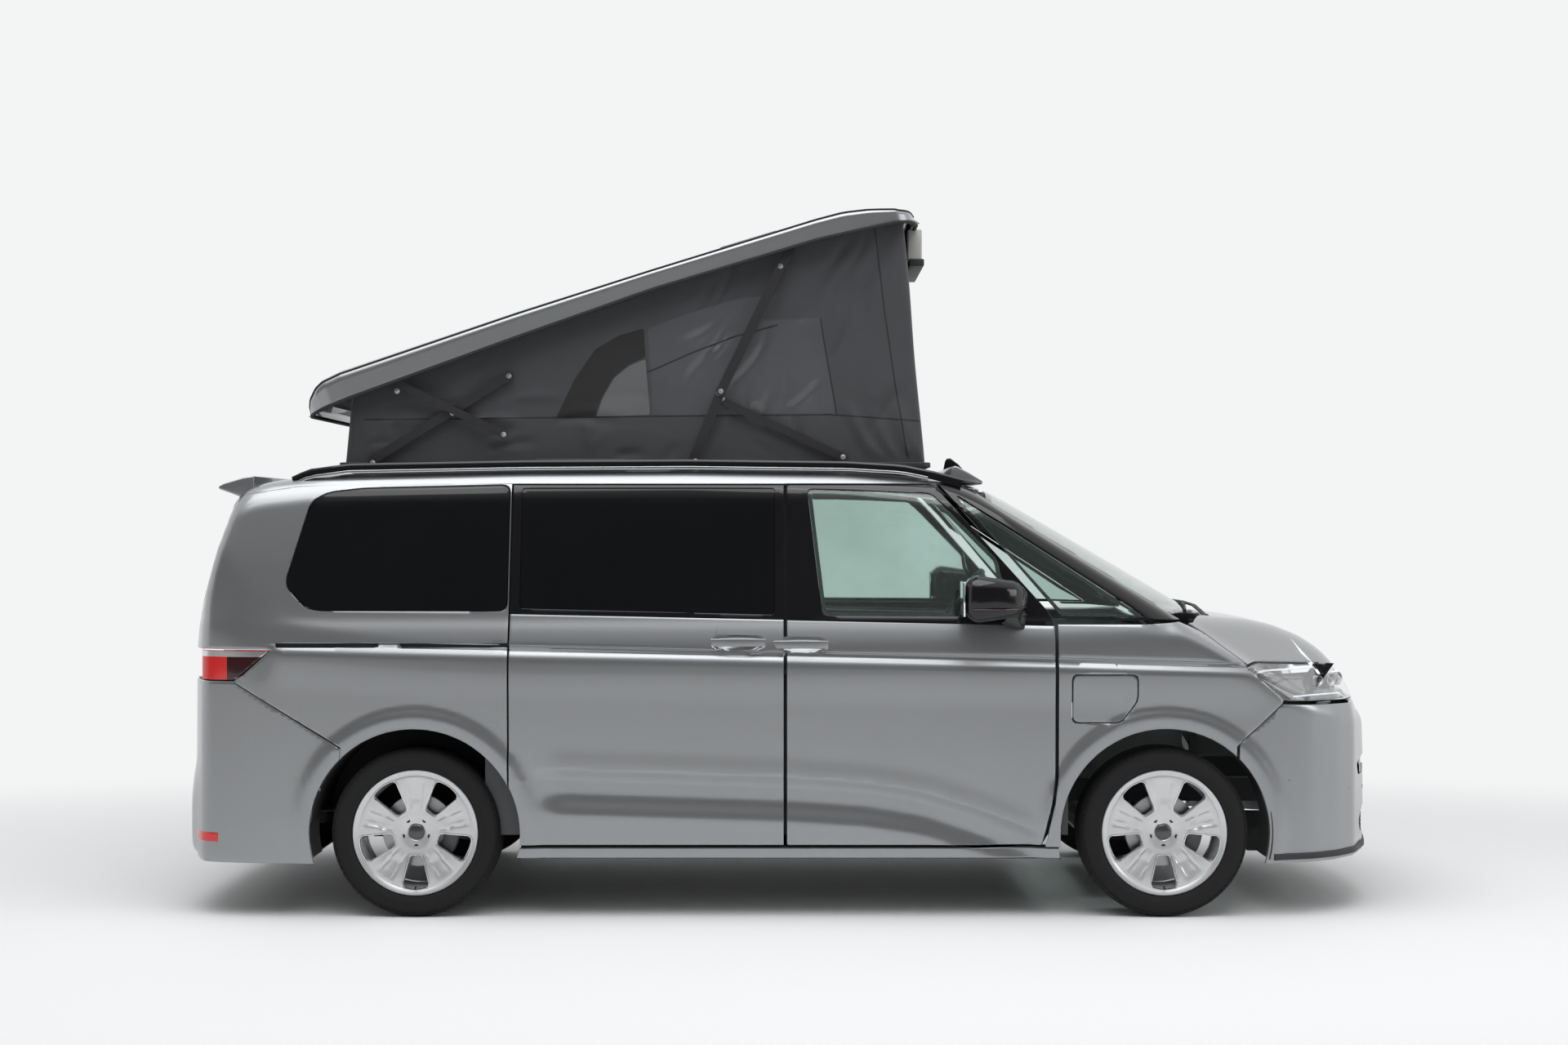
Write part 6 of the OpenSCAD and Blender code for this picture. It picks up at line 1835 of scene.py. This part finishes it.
def build_tent():
    """The tent: one sheet of cloth round the opening, with its windows, seams and folds."""
    p = bpy.context.scene.camper_shape
    bm = field((0, RING), (-30, 1095), 17, 17)
    top = [(t[0], t[1] - TENT_FOOT) for t in TENT_TOP]
    right = [(TENT_HALF + x - TENT_REAR, z) for x, z in top if TENT_REAR < x < TENT_FRONT]
    z_rear = float(line_at(top, TENT_REAR + 30))
    z_front = float(line_at(top, TENT_FRONT - 92))
    line = [(-10, z_rear), (TENT_HALF, z_rear)] + right + [(TENT_HALF + TENT_FRONT - TENT_REAR, z_front)]
    line = line + [(RING - a, b) for a, b in reversed(line)]
    cut = [(-10, -40)] + line + [(RING + 10, -40)]
    trim(bm, cut, "in", step=17)
    panels = tent_panels()
    both = panels + [([(RING - a, b) for a, b in o], k) for o, k in panels]
    both.append(([(3330, 380), (3330, 860), (4010, 860), (4010, 380)], 3))
    for outline, _ in both:
        smooth_line = rounded(outline, 12, 3)
        for i, q in enumerate(smooth_line):
            scored(bm, smooth_line[i - 1], q, 0, 1, 22)
    seams = tent_seams()
    seams = seams + [[(RING - a, b) for a, b in s] for s in seams]
    for seam in seams:
        for a, b in zip(seam, seam[1:]):
            for d in (-3.5, 3.5):
                run = Vector((b[0] - a[0], b[1] - a[1])).normalized()
                n = Vector((-run.y, run.x)) * d
                scored(bm, (a[0] + n.x, a[1] + n.y), (b[0] + n.x, b[1] + n.y), 0, 1, 14)
    centres = np.array([f.calc_center_median() for f in bm.faces])
    number = np.zeros(len(centres), int)
    for outline, k in both:
        number[inside(rounded(outline, 12, 3), centres[:, 0], centres[:, 1])] = k
    near = np.full(len(centres), 99.0)
    for seam in seams:
        for a, b in zip(seam, seam[1:]):
            run = np.array(b, float) - np.array(a, float)
            t = np.clip(((centres[:, 0] - a[0]) * run[0] + (centres[:, 1] - a[1]) * run[1]) / run.dot(run), 0,
                1)
            near = np.minimum(near, np.hypot(centres[:, 0] - a[0] - t * run[0],
                centres[:, 1] - a[1] - t * run[1]))
    number[(near < 3.5) & (number != 2)] = 2
    for f, k in zip(bm.faces, number):
        f.material_index = int(k)
    layer = bm.loops.layers.uv.new("cloth")
    for f in bm.faces:
        for loop in f.loops:
            loop[layer].uv = (loop.vert.co.x * 0.001, loop.vert.co.y * 0.001)
    flat = np.array([v.co[:] for v in bm.verts])
    u, v = flat[:, 0], flat[:, 1]
    x, y = ring_place(u)
    x2, y2 = ring_place(u + 3)
    x1, y1 = ring_place(u - 3)
    nx, ny = -(y2 - y1), (x2 - x1)
    n = np.hypot(nx, ny) + 1e-9
    nx, ny = nx / n, ny / n
    side = np.sign((x - (-650)) * nx + y * ny)
    nx, ny = nx * np.where(np.median(side) < 0, -1, 1), ny * np.where(np.median(side) < 0, -1, 1)
    rise = np.clip(v / 1060, 0, 1.2)
    lean = np.interp(x, [TENT_REAR, TENT_FRONT], [106.0, -94.0]) * rise
    fold = fold_height(u, v, tent_creases(), p.fold * 1000) * ease(-30, 60, v)
    x, y = x + lean + nx * fold, y + ny * fold
    for w, a, b, c in zip(bm.verts, x, y, v + TENT_FOOT):
        w.co = Vector((a, b, c))
    bmesh.ops.remove_doubles(bm, verts=bm.verts, dist=0.4)
    bmesh.ops.recalc_face_normals(bm, faces=bm.faces)
    out = sum(f.normal.y * (-1 if f.calc_center_median().y < 0 else 1) for f in bm.faces)
    if out < 0:
        bmesh.ops.reverse_faces(bm, faces=bm.faces)
    bmesh.ops.solidify(bm, geom=list(bm.faces), thickness=1.6)
    area = sum(f.calc_area() for f in bm.faces) * 0.5e-6
    tent = finish(bm, "tent_sheet", "tent_cloth", "body",
        extra=("tent_film", "tent_tape", "tent_mesh"), sharp=80)
    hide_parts("tent")
    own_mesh(tent)


def build_struts():
    """Bolts and washers on the struts, the gas struts by the roof edge, and the tent's foot rail."""
    for name in ("strut_lower_arms", "strut_upper_arms", "strut_braces", "scissor_long_arms",
            "scissor_short_arms"):
        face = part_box(name)[1][1] * 1000
        parts = []
        source = {"strut_lower_arms": ((-381, 1912), (-281, 2205)),
            "strut_upper_arms": ((-272, 2212), (-15, 2750)), "strut_braces": ((-267, 2182), (255, 1930)),
            "scissor_long_arms": ((-1773, 1905), (-1430, 2119), (-1186, 2279)),
            "scissor_short_arms": ((-1665, 2212), (-1206, 2026))}[name]
        for x, z in source:
            for sign in (-1, 1):
                head = turned([(0.4, 7), (6, 6.5), (8.5, 4), (8.5, 1.2), (12, 1.2), (12, 0), (0.4, 0)], 16,
                              (x, sign * face, z), (0, sign, 0))
                parts.append(head)
        finish(joined(parts), name + "_bolts", "plated_steel", name)
    parts = []
    for sign in (-1, 1):
        parts.append(paint_faces(brick((-1069, sign * 628 - 10, 1898), (-679, sign * 628 + 10, 1922), 6, 3),
            0))
        parts.append(paint_faces(rod((-690, sign * 628, 1910), (-470, sign * 628, 1908), 6, 16), 1))
        parts.append(paint_faces(brick((-490, sign * 628 - 9, 1896), (-430, sign * 628 + 9, 1918), 5), 0))
    finish(joined(parts), "gas_struts", "moulded_black", "body", extra=("plated_steel",))
    loop = [(x, y, 1896) for x, y in rounded([(-1918, -592), (-1918, 592), (627, 592), (627, -592)], 40, 5)]
    foot = swept(loop + [loop[0]], ring_profile(16, 22, 4), up=(0, 0, 1))
    finish(foot, "tent_foot_rail", "moulded_black", "body")


# ---------------------------------------------------------------- cabin

FLOOR_TOP = 422.0
FRONT_SEAT_X, BENCH_X, BENCH_Y = 135.5, -1237.5, -60.0
SEAT_WIDTH, BENCH_WIDTH = 520.0, 860.0
BACK_LEAN = math.radians(8.5)
WHEEL_CENTRE, WHEEL_TILT, WHEEL_RADIUS = (840.5, 385.0, 1276.0), -54.0, 170.0


PAD_CUTS = 40


def cushion(size, radius, crown, bolster=0.0, seams=(), cross=()):
    """A stuffed pad about its own middle: rounded, crowned, raised at the sides, with sewn channels."""
    bm = bmesh.new()
    bmesh.ops.create_cube(bm, size=2)
    bmesh.ops.subdivide_edges(bm, edges=list(bm.edges), cuts=PAD_CUTS, use_grid_fill=True)
    half = Vector(size) / 2
    core = half - Vector((radius, radius, radius))
    for v in bm.verts:
        a, b, c = v.co
        p = Vector((a * half.x, b * half.y, c * half.z))
        q = Vector([max(-k, min(k, t)) for t, k in zip(p, core)])
        d = p - q
        p = q + d.normalized() * min(radius, d.length) if d.length > 1e-6 else p
        fade = max(0.0, 1 - a * a) * max(0.0, 1 - b * b)
        edge = math.exp(-((abs(b) - 0.84) / 0.13) ** 2)
        rise = crown * fade ** 0.5 + bolster * edge * max(0.0, 1 - a ** 6)
        groove = sum(math.exp(-((p.y - s) / 5) ** 2) for s in seams) + sum(math.exp(
            -((p.x - s) / 5) ** 2) for s in cross)
        top = ease(-0.2, 0.9, c)
        pull = 1 - 0.035 * (1 - max(a * a, b * b)) * (1 - c * c)
        v.co = Vector((p.x * pull, p.y * pull, p.z + top * (rise - 5.0 * min(1.0, groove))))
    return bm


def placed(bm, place, lean=0.0):
    bmesh.ops.rotate(bm, cent=(0, 0, 0), matrix=Matrix.Rotation(lean, 3, "Y"), verts=bm.verts)
    bmesh.ops.translate(bm, vec=place, verts=bm.verts)
    return bm


def build_seat(label, node_name, x, y, width, places):
    """One seat: base, cushion, back, head rests and their bars, with piping along the seams."""
    def pad(bm, name):
        piece = finish(bm, f"{label}_{name}", "seat_cloth", "body", sharp=80)
        soft = piece.modifiers.new("roundness", "SUBSURF")
        soft.levels = soft.render_levels = 1
        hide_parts(node_name)
    sew = (-width * 0.34, width * 0.34) if places == 1 else (-width * 0.42, -6, 6, width * 0.42)
    pad(placed(cushion((520, width - 12, 150), 46, 14, 22, sew, (-70, 90)), (x + 205, y, 716),
        math.radians(-3)), "cushion")
    back = cushion((600, width - 22, 128), 48, 12, 26, sew, (-120, 60, 200))
    pad(placed(back, (x - 62, y, 1058), math.radians(-90) + BACK_LEAN), "back")
    for k in range(places):
        mid = y if places == 1 else y + (k - 0.5) * width * 0.5
        rest = cushion((180, 262, 92), 40, 8)
        pad(placed(rest, (x - 134, mid, 1424), math.radians(-90) + BACK_LEAN), f"head_rest_{k + 1}")
        bars = [rod((x - 124, mid + s, 1300), (x - 134, mid + s, 1370), 6, 14) for s in (-60, 60)]
        finish(joined(bars), f"{label}_bars_{k + 1}", "plated_steel", "body")
    base = slab([(x - 30, FLOOR_TOP), (x - 10, 640), (x + 400, 640), (x + 420, 600), (x + 395, 560),
        (x + 380, FLOOR_TOP)], y - width / 2 + 50, y + width / 2 - 50, "xz", 14)
    rails = [brick((x - 20, y + s - 16, FLOOR_TOP), (x + 400, y + s + 16, FLOOR_TOP + 22),
        5) for s in (-width / 2 + 80, width / 2 - 80)]
    shell_back = slab([(x - 100, 700), (x - 185, 1290), (x - 160, 1330), (x - 120, 1330), (x - 30, 700)],
                      y - width / 2 + 30, y + width / 2 - 30, "xz", 16)
    finish(joined([base, shell_back] + rails), f"{label}_base", "cabin_dark", "body")


def build_cabin():
    """Seats, wheel, dash fittings, kitchen fronts, floor and linings."""
    build_seat("driver_seat", "front_seats", FRONT_SEAT_X, 400, SEAT_WIDTH, 1)
    build_seat("passenger_seat", "front_seats", FRONT_SEAT_X, -400, SEAT_WIDTH, 1)
    build_seat("bench", "rear_bench", BENCH_X, BENCH_Y, BENCH_WIDTH, 2)
    # Steering wheel about its own axis
    tilt = Matrix.Rotation(math.radians(WHEEL_TILT), 3, "Y")
    circle_path = [(WHEEL_RADIUS * math.cos(a), WHEEL_RADIUS * math.sin(a), 0) for a in np.linspace(0,
        2 * math.pi, 49)]
    rim = swept(circle_path, ring_profile(27, 30, 13, 4), up=(0, 0, 1), caps=False)
    parts = [paint_faces(rim, 0)]
    for a in (60, 180, 300):
        spoke = slab([(20, -26), (110, -18), (160, -24), (160, 24), (110, 18), (20, 26)], -10, 6, "xy", 4)
        bmesh.ops.rotate(spoke, cent=(0, 0, 0), matrix=Matrix.Rotation(math.radians(a), 3, "Z"),
            verts=spoke.verts)
        parts.append(paint_faces(spoke, 1))
    hub = turned([(0, 14), (38, 14), (50, 9), (54, -16), (40, -26), (22, -82), (0, -82)], 40, (0, 0, 0),
        (0, 0, 1))
    parts.append(paint_faces(hub, 1))
    whole = joined(parts)
    bmesh.ops.rotate(whole, cent=(0, 0, 0), matrix=tilt, verts=whole.verts)
    bmesh.ops.translate(whole, vec=WHEEL_CENTRE, verts=whole.verts)
    wheel_obj = finish(whole, "steering_wheel_rim", "seat_bolster", "steering_wheel",
        extra=("cabin_dark",))
    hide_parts("steering_wheel")
    # Dash: display, vents, instrument hood and stalks
    parts = [paint_faces(brick((900, -190, 1180), (925, 110, 1330), 8, 3), 0),
        paint_faces(brick((906, 250, 1190), (930, 520, 1300), 8, 3), 0)]
    for y in (-740, -250, 170, 700):
        frame_line = rounded([(y - 62, 1085), (y - 62, 1150), (y + 62, 1150), (y + 62, 1085)], 12, 3)
        parts.append(paint_faces(slab(frame_line, 888, 906, "yz", 2), 1))
        for k in range(4):
            parts.append(paint_faces(brick((884, y - 54, 1094 + k * 14), (896, y + 54, 1098 + k * 14), 1), 2))
    for s in (-1, 1):
        parts.append(paint_faces(rod((860, 385 + s * 30, 1235), (846, 385 + s * 150, 1262), 7, 12, 5), 1))
    finish(joined(parts), "dash_fittings", "screen_black", "body",
        extra=("cabin_dark", "moulded_grey"))
    hood = slab([(890, 1222), (905, 1250), (1000, 1250), (1120, 1228), (1120, 1205), (890, 1200)], -800, 800,
        "xz", 8)
    finish(hood, "dash_top", "cabin_dark", "body")
    # Kitchen fronts and worktop
    parts = []
    for k, (x0, x1) in enumerate(((-1040, -770), (-760, -480), (-470, -195))):
        for z0, z1 in ((470, 780), (792, 1120)):
            parts.append(paint_faces(brick((x0, 386, z0), (x1, 398, z1), 3), 0))
            parts.append(paint_faces(brick((x0 + 90, 378, z1 - 36), (x1 - 90, 387, z1 - 24), 2), 1))
    finish(joined(parts), "kitchen_fronts", "laminate", "body", extra=("bright_trim",))
    finish(brick((-1060, 380, 1182), (-175, 800, 1204), 5, 3), "worktop", "worktop", "body")
    mat = field((-2000, 1100), (-760, 760), 60, 60)
    for v in mat.verts:
        v.co = Vector((v.co.x, v.co.y, FLOOR_TOP + 3))
    bmesh.ops.solidify(mat, geom=list(mat.faces), thickness=4)
    finish(mat, "floor_mat", "floor_mat", "body")


def build_wipers():
    """Two wiper arms with blades parked at the foot of the windscreen, and the cowl grille."""
    parts = []
    for y0, y1 in ((-560, 60), (-20, 620)):
        ys = np.linspace(y0, y1, 14)
        xs = 1792 - 0.00017 * ys ** 2
        glass = strike(np.stack([xs, ys, np.full(14, 1700.0)], 1), np.array([[0.0, 0.0, -1.0]]), 700)
        line = [(x, y, z + 5) for x, y, z in glass]
        parts.append(swept(line, ring_profile(9, 12, 3), up=(0, 0, 1)))
        parts.append(swept([(x, y, z + 5) for x, y, z in line[4:11]], ring_profile(13, 6, 2), up=(0, 0, 1)))
        mid = Vector(line[7])
        arm = [(1832, y0 + 40, 1243), (1822, y0 + 110, 1262), (1812, y0 + 200, mid.z - 4),
            tuple(mid + Vector((0, 0, 8)))]
        parts.append(swept(arm, ring_profile(20, 9, 4), up=(0, 0, 1)))
        parts.append(turned([(0.4, 1226), (18, 1226), (17, 1244), (10, 1250), (0.4, 1250)], 20,
            (1832, y0 + 40, 0), (0, 0, 1)))
    finish(joined(parts), "wipers", "moulded_black", "body")


# ---------------------------------------------------------------- stage, light and camera


WHITE, FILL, DARK_SIDE = 0.97, 0.5, 0.10


def soft_step(tree, value, low, high):
    """A value brought from 0 to 1 between two levels."""
    ramp = node(tree, "MapRange", [("interpolation_type", "SMOOTHSTEP")])
    ramp.inputs["From Min"].default_value = low
    ramp.inputs["From Max"].default_value = high
    tree.links.new(value, ramp.inputs["Value"])
    return ramp.outputs["Result"]


def build_stage():
    """Floor, backdrop, lamps and the camera at the side."""
    for name, low, high in (("floor", (-14000, -16000, -40), (14000, 14000, 0)),
            ("backdrop", (-26000, 13900, -40), (26000, 14000, 14000))):
        bm = brick(low, high, 6)
        obj = finish(bm, name, "stage_" + name, body=None)
    stage_lamps()
    world = bpy.data.worlds.new("studio")
    bpy.context.scene.world = world
    world.use_nodes = True
    t = world.node_tree
    back = t.nodes["Background"]
    path = node(t, "LightPath")
    way = node(t, "TexCoord")
    sides = node(t, "SeparateXYZ")
    t.links.new(way.outputs["Generated"], sides.inputs[0])
    front = soft_step(t, math_node(t, "MULTIPLY", sides.outputs["Y"], -1.0), 0.05, 0.55)
    high = soft_step(t, sides.outputs["Z"], 0.42, 0.80)
    open_side = math_node(t, "MULTIPLY", front, math_node(t, "SUBTRACT", 1.0, high))
    mirrored_level = math_node(t, "MULTIPLY_ADD", open_side, DARK_SIDE - WHITE, WHITE)
    through = math_node(t, "MAXIMUM", path.outputs["Is Camera Ray"], path.outputs["Is Transmission Ray"])
    glossy = math_node(t, "MULTIPLY", path.outputs["Is Glossy Ray"], mirrored_level)
    plain = math_node(t, "MULTIPLY", math_node(t, "SUBTRACT", 1.0,
        math_node(t, "MAXIMUM", through, path.outputs["Is Glossy Ray"])), FILL)
    strength = math_node(t, "MULTIPLY_ADD", through, WHITE, math_node(t, "ADD", glossy, plain))
    t.links.new(strength, back.inputs["Strength"])
    back.inputs["Color"].default_value = (0.97, 0.975, 0.98, 1)


def stage_lamps():
    """Three broad soft lamps: above, from the side and from behind the nose."""
    for name, place, aim, size, power in (("lamp_above", (-0.5, -2.0, 7.5), (0, 0, 1.2), (9, 5), 380),
                                          ("lamp_side", (-1.0, -7.0, 9.0), (0, 0, 1.2), (10, 2.5), 170),
                                          ("lamp_nose", (8.0, -3.5, 3.0), (1.5, 0, 0.9), (3, 3), 90)):
        data = bpy.data.lights.new(name, "AREA")
        data.shape = "RECTANGLE"
        data.size, data.size_y = size
        data.energy = power
        lamp = bpy.data.objects.new(name, data)
        bpy.context.scene.collection.objects.link(lamp)
        lamp.location = place
        lamp.rotation_euler = (Vector(aim) - Vector(place)).to_track_quat("-Z", "Y").to_euler()


def stage_finishes():
    """Pale floor and backdrop that look white where the camera meets them."""
    for name in ("stage_floor", "stage_backdrop"):
        mat = bpy.data.materials.new(name)
        mat.use_nodes = True
        t = mat.node_tree
        s = t.nodes["Principled BSDF"]
        s.inputs["Base Color"].default_value = (0.86, 0.865, 0.87, 1)
        s.inputs["Roughness"].default_value = 0.75
        glow = node(t, "Emission", Color=(0.90, 0.905, 0.91, 1), Strength=1.0)
        path = node(t, "LightPath")
        seen = math_node(t, "MAXIMUM", path.outputs["Is Camera Ray"],
            math_node(t, "MAXIMUM", path.outputs["Is Glossy Ray"], path.outputs["Is Transmission Ray"]))
        if name == "stage_floor":
            place = node(t, "TexCoord")
            far = node(t, "VectorMath", [("operation", "LENGTH")])
            squeeze = node(t, "VectorMath", [("operation", "MULTIPLY")])
            squeeze.inputs[1].default_value = (0.62, 1.0, 0.0)
            t.links.new(place.outputs["Object"], squeeze.inputs[0])
            t.links.new(squeeze.outputs[0], far.inputs[0])
            ramp = node(t, "MapRange", [("interpolation_type", "SMOOTHSTEP")])
            ramp.inputs["From Min"].default_value = 2.2
            ramp.inputs["From Max"].default_value = 5.0
            t.links.new(far.outputs["Value"], ramp.inputs["Value"])
            seen = math_node(t, "MULTIPLY", seen, ramp.outputs["Result"])
        mix = node(t, "MixShader")
        t.links.new(seen, mix.inputs[0])
        t.links.new(s.outputs[0], mix.inputs[1])
        t.links.new(glow.outputs[0], mix.inputs[2])
        t.links.new(mix.outputs[0], t.nodes["Material Output"].inputs["Surface"])
        LOOKS[name] = mat


def place_camera():
    data = bpy.data.cameras.new("camera")
    data.sensor_width = 36.0
    data.lens = 50.48
    camera = bpy.data.objects.new("camera", data)
    bpy.context.scene.collection.objects.link(camera)
    camera.location = (0.0, -10.09, 1.647)
    camera.rotation_euler = (math.radians(90), 0, 0)
    bpy.context.scene.camera = camera
    bpy.context.scene.view_settings.view_transform = "Standard"


# ---------------------------------------------------------------- the add-on


class CamperPaint(bpy.types.PropertyGroup):
    """Colours that a user may change."""
    paint: bpy.props.FloatVectorProperty(name="Paint", description="Body colour", subtype="COLOR", size=3,
                                         default=(0.30, 0.31, 0.32), min=0, max=1)
    privacy: bpy.props.FloatVectorProperty(name="Rear Glass", description="Colour of the dark rear glass",
        subtype="COLOR", size=3, default=(0.004, 0.0045, 0.005), min=0, max=1)
    tent: bpy.props.FloatVectorProperty(name="Tent Cloth", description="Colour of the tent cloth",
        subtype="COLOR", size=3, default=(0.042, 0.043, 0.048), min=0, max=1)


class CamperShape(bpy.types.PropertyGroup):
    """Small sizes that a user may change."""
    fold: bpy.props.FloatProperty(name="Tent Fold Depth", description="Depth of the folds in the tent cloth",
                                  default=0.019, min=0.0, max=0.02, unit="LENGTH", subtype="DISTANCE")
    tread: bpy.props.FloatProperty(name="Tread Depth", description="Depth of the tyre tread grooves",
        default=0.006, min=0.001, max=0.009, unit="LENGTH", subtype="DISTANCE")


def piece_operator(name, label, text, work):
    """An operator class around one builder."""
    def execute(self, context):
        before = len(bpy.data.objects)
        work()
        if work is not place_camera and len(bpy.data.objects) <= before:
            raise RuntimeError(f"{label} made nothing")
        return {"FINISHED"}
    return type("CAMPER_OT_" + name, (bpy.types.Operator,),
                {"__doc__": text, "bl_idname": "camper." + name, "bl_label": label, "execute": execute})


PIECES = (("stage", "Stage", "Builds the floor, the backdrop and the lamps", build_stage),
    ("doors", "Doors", "Builds the painted doors, their frames, handles and linings", build_doors),
    ("sides", "Side Panels", "Builds the quarters, sills, wings, charge flap and roof edges", build_sides),
    ("front", "Front", "Builds the bonnet, the front bumper with its grilles, and the headlamps",
    build_front), ("rear", "Rear", "Builds the rear bumper, the tailgate and the tail lamps", build_rear),
    ("pillars", "Pillars", "Builds the windscreen pillars and the door posts", build_pillars),
    ("roof", "Roof", "Builds the fixed roof, its rails, the cowl and the aerial", build_roof),
    ("glass", "Glass", "Builds the windscreen and the side glass", build_glass),
    ("wheels", "Wheels", "Builds the wheels, the tyres and the brakes", build_wheels),
    ("underside", "Underside", "Builds the arch liners and the shields under the floor", build_underside),
    ("shell", "Roof Shell", "Builds the shell of the pop-up roof", build_shell),
    ("tent", "Tent", "Builds the tent sheet", build_tent),
    ("struts", "Struts", "Builds the fastenings of the struts and the rail at the tent's foot", build_struts),
    ("cabin", "Cabin", "Builds the seats, wheel, dash, kitchen and floor", build_cabin),
    ("wipers", "Wipers", "Builds the windscreen wipers", build_wipers),
    ("mirrors", "Mirrors", "Builds the door mirrors", build_mirrors), )
OPERATORS = [piece_operator(*row) for row in PIECES]


class CAMPER_PT_panel(bpy.types.Panel):
    """Lists the steps that build the camper van's looks."""
    bl_label = "Camper Van"
    bl_idname = "CAMPER_PT_panel"
    bl_space_type = "VIEW_3D"
    bl_region_type = "UI"
    bl_category = "Camper Van"

    def draw(self, context):
        for group in (context.scene.camper_paint, context.scene.camper_shape):
            for name in group.bl_rna.properties.keys():
                if name not in ("rna_type", "name"):
                    self.layout.prop(group, name)
        for row in PIECES:
            self.layout.operator("camper." + row[0])


def register():
    for cls in (CamperPaint, CamperShape, *OPERATORS, CAMPER_PT_panel):
        bpy.utils.register_class(cls)
    bpy.types.Scene.camper_paint = bpy.props.PointerProperty(type=CamperPaint)
    bpy.types.Scene.camper_shape = bpy.props.PointerProperty(type=CamperShape)


def unregister():
    del bpy.types.Scene.camper_shape
    del bpy.types.Scene.camper_paint
    for cls in (CAMPER_PT_panel, *reversed(OPERATORS), CamperShape, CamperPaint):
        bpy.utils.unregister_class(cls)


def main():
    register()
    place_camera()
    make_looks(bpy.context.scene.camper_paint)
    stage_finishes()
    dress_frame()
    for row in PIECES:
        getattr(bpy.ops.camper, row[0])()


if __name__ == "__main__":
    main()
